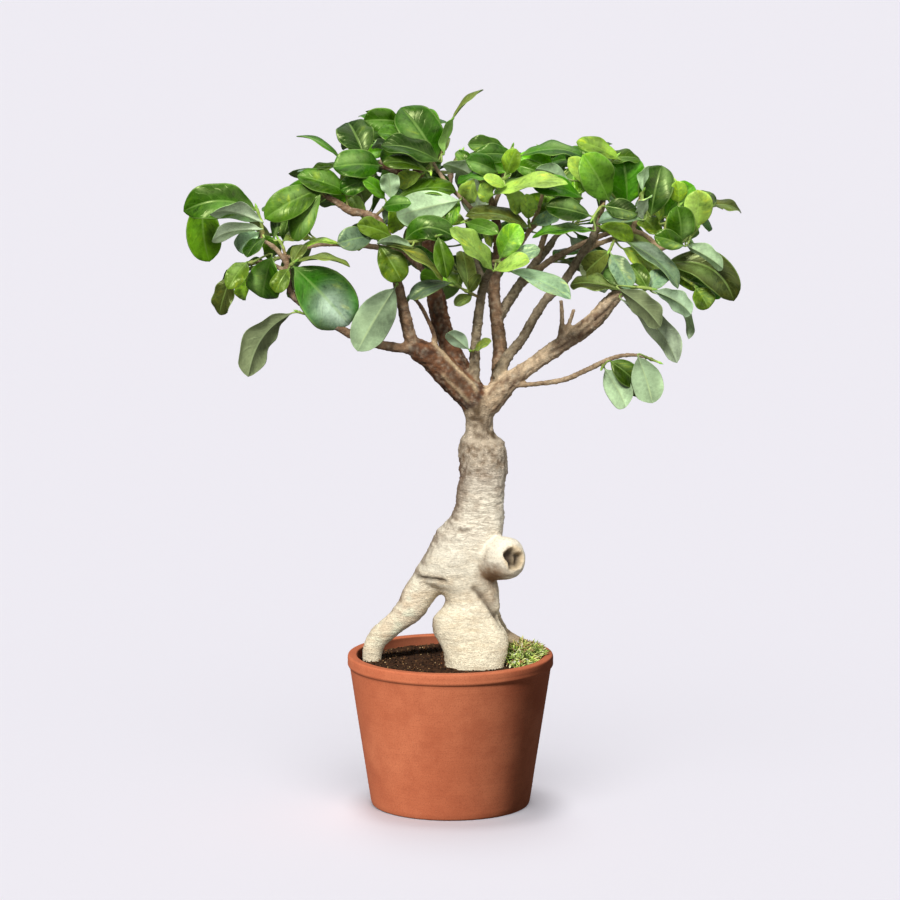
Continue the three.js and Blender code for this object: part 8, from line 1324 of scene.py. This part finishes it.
def bark_material():
    M = Mat("bark_finish")
    c = M.attr("c_bark", "Color")
    zone = M.attr("rough_zone", "Fac")
    co = M.coords()
    m1 = M.noise(520, 4, 0.62)
    m2 = M.noise(1500, 2, 0.6)
    cell = M.voronoi(620, M.scaled(co, (1, 1, 2.4)))
    body = M.attr("trunk_skin", "Fac")
    wrinkle = M.noise(1.0, 3, 0.6, M.scaled(co, (120, 120, 760)))
    crease = M.math("MULTIPLY", M.span(M.math("ABSOLUTE", M.math("SUBTRACT", wrinkle, 0.5)), 0.055, 0.0), body)
    calm = M.math("SUBTRACT", 1.0, M.math("MULTIPLY", body, 0.55))
    tone = M.math("ADD", 1.0, M.math("MULTIPLY", M.math("SUBTRACT", M.span(m1, 0.28, 0.72, 0.78, 1.20, False), 1.0), calm))
    comb = M.node("ShaderNodeCombineColor")
    for s in comb.inputs[:3]:
        M.put(s, tone)
    col = M.mix(1.0, c, comb.outputs[0], "MULTIPLY")
    pores = M.math("MULTIPLY", M.span(m2, 0.60, 0.74), M.math("ADD", M.math("MULTIPLY", zone, 0.55), 0.12))
    col = M.mix(pores, col, M.mix(0.75, col, (0.12, 0.075, 0.04)))
    flecks = M.math("MULTIPLY", M.span(M.noise(640, 2, 0.5), 0.56, 0.68), M.math("MULTIPLY", zone, 0.55))
    col = M.mix(flecks, col, M.mix(1.0, col, (1.75, 1.8, 1.9), "MULTIPLY"))
    spots = M.math("MULTIPLY", M.span(M.noise(430, 3, 0.6, M.scaled(co, (1, 1, 1.5))), 0.58, 0.68), M.math("ADD", M.math("MULTIPLY", zone, 0.62), 0.05))
    col = M.mix(spots, col, M.mix(0.8, col, (0.085, 0.05, 0.03)))
    # painted shade: the creases between wrinkles darkened
    col = M.mix(M.math("MULTIPLY", crease, 0.46), col, M.mix(0.7, col, (0.30, 0.19, 0.10)))
    M.put(M.bsdf.inputs["Base Color"], col)
    M.put(M.bsdf.inputs["Roughness"], M.span(m1, 0.3, 0.7, 0.74, 0.92, False))
    h = M.math("ADD", M.math("MULTIPLY", m1, 0.8), M.math("MULTIPLY", cell, 0.5))
    h = M.math("SUBTRACT", h, M.math("MULTIPLY", crease, 0.5))
    M.put(M.bsdf.inputs["Normal"], M.bump(h, 0.75, 0.0009))
    return M.m


wood = make_wood()
wood.data.materials.append(bark_material())


# ---------------------------------------------------------------- pot
def arc(cx, cz, r, a0, a1, n):
    a = np.radians(np.linspace(a0, a1, n))
    return [(cx + r * math.cos(t), cz + r * math.sin(t)) for t in a]


def inner_radius(z):
    return BODY_FOOT_RADIUS - WALL + (BODY_TOP_RADIUS - BODY_FOOT_RADIUS) * z / (POT_HEIGHT - RIM_BAND) + 0.15


def make_pot():
    slope = (BODY_TOP_RADIUS - BODY_FOOT_RADIUS) / (POT_HEIGHT - RIM_BAND)
    top, band = POT_HEIGHT, POT_HEIGHT - RIM_BAND
    pr = []
    pr += arc(DRAIN_RADIUS + 0.8, 0.8, 0.8, 180, 270, 4)
    pr += [(x, 0.0) for x in (12, 20, 30, 40, 48)]
    pr += arc(BODY_FOOT_RADIUS - 1.6, 1.6, 1.6, 270, 350, 6)
    zz = np.linspace(3.2, band - 1.0, 64)
    pr += [(BODY_FOOT_RADIUS + slope * z, z) for z in zz]
    xw = BODY_TOP_RADIUS
    pr += [(xw + 0.10, band - 0.62), (xw + 0.34, band - 0.30), (xw + 0.66, band - 0.02), (xw + 0.96, band + 0.32), (xw + 1.20, band + 0.72)]
    pr += [(RIM_RADIUS - 0.07, band + 1.15)]
    pr += [(RIM_RADIUS + 0.05 * math.sin(t * 3.0), band + 0.7 + t * (RIM_BAND - 2.3)) for t in np.linspace(0.1, 0.9, 7)]
    pr += arc(RIM_RADIUS - 1.7, top - 1.7, 1.7, 0, 85, 7)
    pr += [(x, top) for x in np.linspace(RIM_RADIUS - 2.2, RIM_INNER + 1.7, 6)]
    pr += arc(RIM_INNER + 1.2, top - 1.2, 1.2, 90, 178, 6)
    pr += [(RIM_INNER, z) for z in (109.4, 108.5, 107.4)]
    pr += [(inner_radius(z) + 0.05, z) for z in np.linspace(104.5, 9.5, 30)]
    pr += arc(inner_radius(8.0) - 1.8, FLOOR + 1.8, 1.8, -10, -90, 5)
    pr += [(x, FLOOR) for x in (46, 38, 30, 20, 12)]
    pr += arc(DRAIN_RADIUS + 0.6, FLOOR - 0.6, 0.6, 90, 180, 4)
    pr += [(DRAIN_RADIUS, z) for z in (4.6, 2.8)]
    pr = np.array(pr)
    sides = 224
    w = 2 * np.pi * np.arange(sides) / sides
    r, z = pr[:, 0][:, None], pr[:, 1][:, None]
    X, Y = r * np.cos(w), r * np.sin(w)
    Z = np.repeat(z, sides, 1)
    V = np.stack([X, Y, Z], -1).reshape(-1, 3)
    rr = np.hypot(V[:, 0], V[:, 1])
    radial = V * np.array([1, 1, 0]) / np.maximum(rr, 1)[:, None]
    outer = ((rr > 53) & (V[:, 2] > 3) & (V[:, 2] < top - 0.8)).astype(float)
    # hand-turned: faint turning rings and a slight unevenness
    d = 0.16 * fbm(V / 34.0, 71, 2) + 0.05 * np.sin(V[:, 2] * 1.7 + 1.2 * fbm(V / 30.0, 73, 1)) + 0.03 * fbm(V / np.array([9, 9, 1.2]), 75, 2)
    V = V + radial * (d * outer)[:, None]
    V[:, 2] += np.where(V[:, 2] > top - 0.2, 0.07 * fbm(V / 16.0, 77, 2) - 0.07, 0)
    n = len(pr)
    f = ring_faces(n, sides)
    last = np.stack([(n - 1) * sides + np.arange(sides), (n - 1) * sides + (np.arange(sides) + 1) % sides,
                     (np.arange(sides) + 1) % sides, np.arange(sides)], 1)
    F = np.concatenate([f, last])
    a, b, c_ = V[F[:, 0]], V[F[:, 1]], V[F[:, 2]]
    vol = np.einsum("ij,ij->i", a, np.cross(b, c_)).sum()
    if vol < 0:
        F = F[:, ::-1]
    row = np.arange(len(pr))
    # rows of the inner wall, which the clay finish paints darker as shade
    first = int(np.nonzero((pr[:, 0] <= RIM_INNER + 0.01) & (row > 80))[0][0])
    inner_wall_shade = np.repeat(np.where(row >= first, 1.0, 0.0), sides)
    return build("terracotta_pot", V, [F], ["pot"], {"inner_wall_shade": inner_wall_shade})


def clay_material():
    M = Mat("clay_finish")
    co = M.coords()
    z = M.node("ShaderNodeSeparateXYZ")
    M.put(z.inputs[0], co)
    broad = M.noise(16, 3, 0.55)
    cloud = M.noise(55, 3, 0.6)
    grain = M.noise(1300, 2, 0.6)
    grit = M.noise(620, 2, 0.55)
    drag = M.noise(1.0, 3, 0.6, M.scaled(co, (22, 22, 900)))
    c = M.mix(M.span(broad, 0.34, 0.66), lin(200, 108, 70), lin(216, 124, 84))
    c = M.mix(M.math("MULTIPLY", M.span(cloud, 0.38, 0.68), 0.42), c, lin(182, 92, 58))
    c = M.mix(M.math("MULTIPLY", M.span(grain, 0.48, 0.66), 0.34), c, lin(150, 70, 42))
    c = M.mix(M.math("MULTIPLY", M.span(grit, 0.60, 0.74), 0.22), c, lin(228, 146, 106))
    c = M.mix(M.math("MULTIPLY", M.span(drag, 0.45, 0.75), 0.10), c, lin(162, 78, 48))
    # painted shade on the pot's inner wall, darker than the outside
    c = M.mix(M.math("MULTIPLY", M.attr("inner_wall_shade", "Fac"), 0.55), c, lin(112, 62, 40))
    M.put(M.bsdf.inputs["Base Color"], c)
    M.put(M.bsdf.inputs["Roughness"], M.span(cloud, 0.3, 0.7, 0.80, 0.92, False))
    h = M.math("ADD", M.math("MULTIPLY", grain, 0.5), M.math("MULTIPLY", drag, 0.7))
    h = M.math("ADD", h, M.math("MULTIPLY", grit, 0.4))
    M.put(M.bsdf.inputs["Normal"], M.bump(h, 0.5, 0.00022))
    return M.m


make_pot().data.materials.append(clay_material())


# ---------------------------------------------------------------- soil
ICO_V, ICO_F = None, None


def icosphere():
    global ICO_V, ICO_F
    if ICO_V is None:
        t = (1 + 5 ** 0.5) / 2
        v = [(-1, t, 0), (1, t, 0), (-1, -t, 0), (1, -t, 0), (0, -1, t), (0, 1, t), (0, -1, -t), (0, 1, -t), (t, 0, -1), (t, 0, 1), (-t, 0, -1), (-t, 0, 1)]
        f = [(0, 11, 5), (0, 5, 1), (0, 1, 7), (0, 7, 10), (0, 10, 11), (1, 5, 9), (5, 11, 4), (11, 10, 2), (10, 7, 6), (7, 1, 8),
             (3, 9, 4), (3, 4, 2), (3, 2, 6), (3, 6, 8), (3, 8, 9), (4, 9, 5), (2, 4, 11), (6, 2, 10), (8, 6, 7), (9, 8, 1)]
        v = unit(np.array(v, float))
        f = np.array(f)
        # one subdivision
        mid, nv, nf = {}, list(v), []

        def m(a, b):
            k = (min(a, b), max(a, b))
            if k not in mid:
                mid[k] = len(nv)
                nv.append(unit((nv[a] + nv[b]) / 2))
            return mid[k]
        for a, b, c_ in f:
            ab, bc, ca = m(a, b), m(b, c_), m(c_, a)
            nf += [(a, ab, ca), (b, bc, ab), (c_, ca, bc), (ab, bc, ca)]
        ICO_V, ICO_F = np.array(nv), np.array(nf)
    return ICO_V, ICO_F


def soil_height(x, y):
    r = np.hypot(x, y)
    P = np.stack([x, y, np.zeros_like(x)], 1)
    z = SOIL_EDGE_Z + SOIL_RISE * np.clip(1 - (r / 67.0) ** 2, 0, 1)
    z = z + 0.60 * fbm(P / 11.0, 81, 2) + 0.34 * fbm(P / 3.0, 83, 2) + 0.26 * fbm(P / 1.3, 85, 2)
    # a little hollow against the wall
    return z - 0.8 * ramp(r, 60, 67)


def make_soil():
    rnd = np.random.default_rng(31)
    sides, rings = 260, 84
    R = np.linspace(1.0, inner_radius(104) - 0.12, rings)
    w = 2 * np.pi * np.arange(sides) / sides
    X = (R[:, None] * np.cos(w)).ravel()
    Y = (R[:, None] * np.sin(w)).ravel()
    Z = soil_height(X, Y)
    V = np.stack([X, Y, Z], 1)
    # walls and underside
    low = []
    for zz in (96.0, 60.0, 20.0, 7.0):
        r = inner_radius(zz) - 0.30
        low.append(np.stack([r * np.cos(w), r * np.sin(w), np.full(sides, zz)], 1))
    for r in (40.0, 20.0, 8.0):
        low.append(np.stack([r * np.cos(w), r * np.sin(w), np.full(sides, FLOOR + 0.4)], 1))
    V = np.concatenate([V] + low + [[[0, 0, soil_height(np.zeros(1), np.zeros(1))[0]]], [[0, 0, FLOOR + 0.4]]])
    n = rings + 7
    q = ring_faces(n, sides)
    k = np.arange(sides)
    k2 = (k + 1) % sides
    t = np.concatenate([np.stack([np.full(sides, n * sides), k2, k], 1), np.stack([np.full(sides, n * sides + 1), (n - 1) * sides + k, (n - 1) * sides + k2], 1)])
    if V[q[0]][:, 2].mean() > 90:   # faces must look up on top
        a, b, c_ = V[q[0][0]], V[q[0][1]], V[q[0][2]]
        if np.cross(b - a, c_ - a)[2] < 0:
            q, t = q[:, ::-1], t[:, ::-1]
    P3 = V / 2.0
    dark = lin(42, 27, 17)
    mid = lin(76, 50, 33)
    m = np.clip(0.5 + 0.9 * fbm(P3, 87, 2), 0, 1)[:, None]
    C = dark * (1 - m) + mid * m
    Vs, Fs, Cs, off = [V], [t], [C], len(V)
    Qs = [q]
    iv, if_ = icosphere()
    tones = [lin(40, 27, 19), lin(58, 40, 28), lin(84, 60, 41), lin(104, 76, 50), lin(178, 140, 92), lin(208, 178, 130), lin(150, 96, 56)]
    share = np.array([0.26, 0.30, 0.20, 0.11, 0.05, 0.04, 0.04])
    for g in range(1850):
        r = 66.0 * math.sqrt(rnd.random())
        a = rnd.random() * 2 * math.pi
        x, y = r * math.cos(a), r * math.sin(a)
        ti = rnd.choice(len(tones), p=share)
        s = rnd.uniform(0.35, 0.95) * (0.62 if ti >= 4 else 1.0)
        sc = s * rnd.uniform(0.6, 1.25, 3) * np.array([1, 1, 0.75])
        z = soil_height(np.array([x]), np.array([y]))[0] + sc[2] * rnd.uniform(-0.1, 0.55)
        bump = 1 + 0.24 * noise3(iv * 1.6 + rnd.uniform(0, 50, 3), g)[:, None]
        th, ph = rnd.uniform(0, 6.28, 2)
        ca, sa, cb, sb = math.cos(th), math.sin(th), math.cos(ph * 0.2), math.sin(ph * 0.2)
        rot = np.array([[ca, -sa, 0], [sa, ca, 0], [0, 0, 1]]) @ np.array([[1, 0, 0], [0, cb, -sb], [0, sb, cb]])
        v = (iv * bump * sc) @ rot.T + [x, y, z]
        rr = np.hypot(v[:, 0], v[:, 1]).max()
        if rr > 67.2:
            continue
        Vs.append(v); Fs.append(if_ + off); off += len(v)
        Cs.append(np.repeat((tones[ti] * rnd.uniform(0.8, 1.2))[None], len(v), 0))
    return build("potting_soil", np.concatenate(Vs), [np.concatenate(Qs), np.concatenate(Fs)], ["soil"], {"c_soil": np.concatenate(Cs)})


def soil_material():
    M = Mat("soil_finish")
    c = M.attr("c_soil", "Color")
    n1 = M.noise(900, 3, 0.6)
    tone = M.span(n1, 0.3, 0.7, 0.65, 1.35, False)
    comb = M.node("ShaderNodeCombineColor")
    for s in comb.inputs[:3]:
        M.put(s, tone)
    M.put(M.bsdf.inputs["Base Color"], M.mix(1.0, c, comb.outputs[0], "MULTIPLY"))
    M.bsdf.inputs["Specular IOR Level"].default_value = 0.12
    M.put(M.bsdf.inputs["Roughness"], M.span(n1, 0.3, 0.7, 0.82, 0.98, False))
    M.put(M.bsdf.inputs["Normal"], M.bump(n1, 0.7, 0.0005))
    return M.m


make_soil().data.materials.append(soil_material())


# ---------------------------------------------------------------- moss
def make_moss():
    rnd = np.random.default_rng(47)
    cx, cy, cz = 54.0, 1.0, 104.0
    rx, ry, rz = 17.5, 26.0, 13.0
    nu, nv = 84, 24
    w = 2 * np.pi * np.arange(nu) / nu
    el = np.linspace(0.0, math.pi / 2, nv)[:-1]
    dome = np.array([(math.cos(e) * math.cos(a), math.cos(e) * math.sin(a), math.sin(e)) for e in el for a in w])

    def surface(dirs):
        k = 1 + 0.16 * fbm(dirs * 2.4, 91, 2) + 0.09 * fbm(dirs * 7.0, 93, 2)
        d = dirs.copy()
        d[:, 2] = np.abs(d[:, 2]) ** 0.85
        q = d * k[:, None] * np.array([rx - 1.0, ry - 1.0, rz - 1.0])
        # it climbs towards the back, where it lies against the root
        q[:, 2] *= 1 + 0.22 * np.clip(q[:, 1] / ry, -1, 1)
        q = q + [cx, cy, cz]
        r = np.hypot(q[:, 0], q[:, 1])
        keep = np.minimum(1, 66.9 / r)
        q[:, 0] *= keep
        q[:, 1] *= keep
        return q
    V = surface(dome)
    top = surface(np.array([[0, 0, 1.0]]))
    rows = len(el)
    base = V[:nu].copy()
    base[:, 2] = cz - 2.2
    V = np.concatenate([base, V, top, [[cx, cy, cz - 2.2]]])
    q = ring_faces(rows + 1, nu)
    k = np.arange(nu)
    k2 = (k + 1) % nu
    n = (rows + 1) * nu
    t = np.concatenate([np.stack([np.full(nu, n), (rows) * nu + k, (rows) * nu + k2], 1), np.stack([np.full(nu, n + 1), k2, k], 1)])
    m = np.clip(0.5 + fbm(V / 3.0, 95, 2), 0, 1)[:, None]
    Cb = lin(84, 88, 34) * (1 - m) + lin(92, 74, 42) * m
    Vs, Qs, Ts, Cs, off = [V], [q], [t], [Cb], len(V)
    tones = [lin(158, 182, 86), lin(192, 212, 118), lin(108, 128, 48), lin(226, 236, 172), lin(178, 160, 104), lin(124, 92, 56)]
    share = [0.26, 0.25, 0.20, 0.15, 0.08, 0.06]
    dry_share = [0.12, 0.08, 0.16, 0.08, 0.34, 0.22]

    def strand(p, out, ln, wd, c, droop):
        nonlocal off
        sd = unit(np.cross(out, [0, 0, 1.0]) + rnd.normal(0, 0.2, 3))
        up = unit(np.cross(sd, out))
        steps = (0.0, 0.35, 0.7)
        pts, cols = [], []
        side = rnd.uniform(-0.35, 0.35) * ln
        for s_ in steps:
            m_ = p + out * (ln * s_ - 0.3) - np.array([0, 0, 1.0]) * droop * ln * s_ * s_ + sd * side * s_ * s_
            wk = 0.8 + 0.5 * s_ - 0.9 * s_ * s_
            pts += [m_ + sd * wd * wk, m_ + up * wd * 0.55 * wk, m_ - sd * wd * wk, m_ - up * wd * 0.40 * wk]
            # painted shade: each strand darker at its base, down in the cushion, and lighter towards its tip
            cols += [c * (0.60 + 0.55 * s_)] * 4
        pts.append(p + out * ln - np.array([0, 0, 1.0]) * droop * ln + sd * side)
        cols.append(c * 1.2)
        pts = np.array(pts)
        r = np.hypot(pts[:, 0], pts[:, 1])
        keep = np.where((pts[:, 2] < 112.2), np.minimum(1, 67.6 / r), 1)
        pts[:, 0] *= keep
        pts[:, 1] *= keep
        Vs.append(pts); Cs.append(np.array(cols))
        Qs.append(ring_faces(3, 4) + off)
        j = np.arange(4)
        Ts.append(np.stack([np.full(4, 12), 8 + j, 8 + (j + 1) % 4], 1) + off)
        Qs.append(np.array([[3, 2, 1, 0]]) + off)
        off += 13
    lay = unit(np.array([0.50, -0.72, -0.42]))      # most strands lean forward, down and to the right
    for g in range(1500):
        e = math.asin(rnd.uniform(0.0, 1.0) ** 0.8)
        a = rnd.random() * 2 * math.pi
        d0 = np.array([math.cos(e) * math.cos(a), math.cos(e) * math.sin(a), math.sin(e)])
        p = surface(d0[None])[0]
        nrm = unit(d0 / np.array([rx, ry, rz]))
        tuft = noise3(p[None] / 3.2, 97)[0]
        out = unit(nrm * 0.75 + lay * (0.55 + 0.5 * tuft) + rnd.normal(0, 0.42, 3))
        dry = p[2] + 0.25 * p[1] + 2.0 * tuft > 113.5        # old growth along the top
        ti = rnd.choice(len(tones), p=dry_share if dry else share)
        c = np.minimum(tones[ti] * rnd.uniform(1.0, 1.75) * (1 + 0.6 * tuft), 0.85)
        strand(p, out, rnd.uniform(3.0, 7.4) * (1.3 if rnd.random() < 0.12 else 1.0), rnd.uniform(0.50, 1.15), c, rnd.uniform(0.0, 0.35))
    # dry stalks and scraps on top, along the back and over the collar
    for g in range(46):
        u_ = rnd.random()
        p = np.array([44 + 24 * u_ + rnd.normal(0, 1.0), 15 - 6 * u_ + rnd.normal(0, 3.5), 115.0 - 1.5 * u_ + rnd.uniform(0, 2.2)])
        out = unit(np.array([1.0, -0.35, -0.05]) + rnd.normal(0, 0.35, 3))
        c = (lin(132, 102, 72), lin(96, 72, 46), lin(178, 150, 112))[rnd.integers(3)]
        strand(p, out, rnd.uniform(3.0, 7.0), rnd.uniform(0.35, 0.6), c * rnd.uniform(0.8, 1.1), rnd.uniform(0, 0.15))
    return build("moss_cushion", np.concatenate(Vs), [np.concatenate(Qs), np.concatenate(Ts)], ["moss"], {"c_moss": np.concatenate(Cs)})


def moss_material():
    M = Mat("moss_finish")
    c = M.attr("c_moss", "Color")
    n1 = M.noise(260, 3, 0.6)
    tone = M.span(n1, 0.3, 0.7, 0.78, 1.22, False)
    comb = M.node("ShaderNodeCombineColor")
    for s in comb.inputs[:3]:
        M.put(s, tone)
    M.put(M.bsdf.inputs["Base Color"], M.mix(1.0, c, comb.outputs[0], "MULTIPLY"))
    M.put(M.bsdf.inputs["Roughness"], M.span(n1, 0.3, 0.7, 0.60, 0.80, False))
    M.put(M.bsdf.inputs["Normal"], M.bump(M.noise(1500, 2, 0.5), 0.3, 0.0002))
    return M.m


make_moss().data.materials.append(moss_material())

# ---------------------------------------------------------------- floor, light
BACK = lin(239, 236, 243)
SHADOW_SHARE = 0.88      # how much of the floor's look follows the light


def make_floor():
    me = bpy.data.meshes.new("floor")
    s = 60.0
    me.from_pydata([(-s, -s, 0), (s, -s, 0), (s, s, 0), (-s, s, 0)], [], [(0, 1, 2, 3)])
    ob = bpy.data.objects.new("floor", me)
    bpy.context.scene.collection.objects.link(ob)
    M = Mat("floor_paint")
    M.t.nodes.remove(M.bsdf)
    seen = M.node("ShaderNodeBsdfDiffuse")
    glow = M.node("ShaderNodeEmission")
    bounce = M.node("ShaderNodeBsdfDiffuse")
    look, pick = M.node("ShaderNodeMixShader"), M.node("ShaderNodeMixShader")
    path = M.node("ShaderNodeLightPath")
    M.put(seen.inputs["Color"], tuple(BACK))
    M.put(glow.inputs["Color"], tuple(BACK))
    M.put(bounce.inputs["Color"], (0.13, 0.128, 0.125))
    look.inputs[0].default_value = SHADOW_SHARE
    M.put(look.inputs[1], glow.outputs[0])
    M.put(look.inputs[2], seen.outputs[0])
    M.put(pick.inputs[0], path.outputs["Is Camera Ray"])
    M.put(pick.inputs[1], bounce.outputs[0])
    M.put(pick.inputs[2], look.outputs[0])
    M.put(M.out.inputs["Surface"], pick.outputs[0])
    me.materials.append(M.m)
    return ob


floor = make_floor()

world = bpy.data.worlds.new("studio")
bpy.context.scene.world = world
world.use_nodes = True
wt = world.node_tree
wout = next(n for n in wt.nodes if n.type == "OUTPUT_WORLD")
bg = next(n for n in wt.nodes if n.type == "BACKGROUND")
bg.inputs["Color"].default_value = (*BACK, 1)
bg.inputs["Strength"].default_value = 1.0
amb = wt.nodes.new("ShaderNodeBackground")
amb.inputs["Color"].default_value = (0.93, 0.96, 1.0, 1)
AMBIENT = 0.09
amb.inputs["Strength"].default_value = AMBIENT
sheen = wt.nodes.new("ShaderNodeBackground")     # what gloss mirrors: a pale sky
sheen.inputs["Color"].default_value = (0.92, 0.97, 1.0, 1)
sheen.inputs["Strength"].default_value = 0.34
lp = wt.nodes.new("ShaderNodeLightPath")
m1 = wt.nodes.new("ShaderNodeMixShader")
m2 = wt.nodes.new("ShaderNodeMixShader")
wt.links.new(lp.outputs["Is Glossy Ray"], m1.inputs[0])
wt.links.new(amb.outputs[0], m1.inputs[1])
wt.links.new(sheen.outputs[0], m1.inputs[2])
wt.links.new(lp.outputs["Is Camera Ray"], m2.inputs[0])
wt.links.new(m1.outputs[0], m2.inputs[1])
wt.links.new(bg.outputs[0], m2.inputs[2])
wt.links.new(m2.outputs[0], wout.inputs["Surface"])


def group(name, objects):
    c = bpy.data.collections.new(name)
    for o in objects:
        c.objects.link(o)
    return c


pieces = [o for o in bpy.context.scene.objects if o.type == "MESH" and o is not floor]
below = [o for o in pieces if o.name in ("terracotta_pot", "potting_soil")]
above = [o for o in pieces if o not in below]
on_floor = group("lit_floor", [floor])
on_pot = group("lit_pot", below)
on_plant = group("lit_plant", above)
pot_only = group("floor_blockers", below)


def sun(name, towards, strength, degrees, colour, receivers=None, blockers=None):
    l = bpy.data.lights.new(name, "SUN")
    l.energy = strength
    l.angle = math.radians(degrees)
    l.color = colour
    o = bpy.data.objects.new(name, l)
    bpy.context.scene.collection.objects.link(o)
    o.rotation_mode = "QUATERNION"
    o.rotation_quaternion = Vector([-x for x in towards]).to_track_quat("-Z", "Y")
    if receivers:
        o.light_linking.receiver_collection = receivers
    if blockers:
        o.light_linking.blocker_collection = blockers
    return o


# the floor has its own soft top light, so that only the pot's shadow shows on it
FLOOR_SUN = math.pi * (1.0 - AMBIENT)
for name, towards, weight, degrees in (("floor_front", (-0.05, -0.68, 0.731), 0.50, 62), ("floor_top", (-0.06, 0.06, 0.996), 0.27, 14),
                                       ("floor_back_1", (-0.06, 0.30, 0.952), 0.10, 16), ("floor_back_2", (-0.08, 0.52, 0.850), 0.08, 20),
                                       ("floor_back_3", (-0.08, 0.68, 0.729), 0.05, 20)):
    sun(name, towards, weight * FLOOR_SUN / towards[2], degrees, (1, 1, 1), on_floor, pot_only)
# the pot is modelled by one key from the left; the tree gets a softer, more frontal set
sun("pot_key", (-0.425, -0.655, 0.625), 4.28, 12, (1.0, 0.985, 0.955), on_pot)
sun("tree_key", (-0.25, -0.74, 0.63), 3.06, 14, (1.0, 0.99, 0.955), on_plant)
sun("tree_fill", (0.66, -0.66, 0.36), 0.86, 50, (1.0, 1.0, 0.98), on_plant)
sun("tree_top", (0.10, 0.20, 0.97), 1.22, 60, (0.98, 1.0, 0.97), on_plant)
sun("tree_front", (0.0, -0.97, 0.22), 0.55, 100, (1.0, 1.0, 1.0), on_plant)

scene = bpy.context.scene
scene.view_settings.view_transform = "Standard"
scene.view_settings.look = "None"
scene.view_settings.exposure = 0.0
scene.view_settings.gamma = 1.0

bpy.context.view_layer.update()
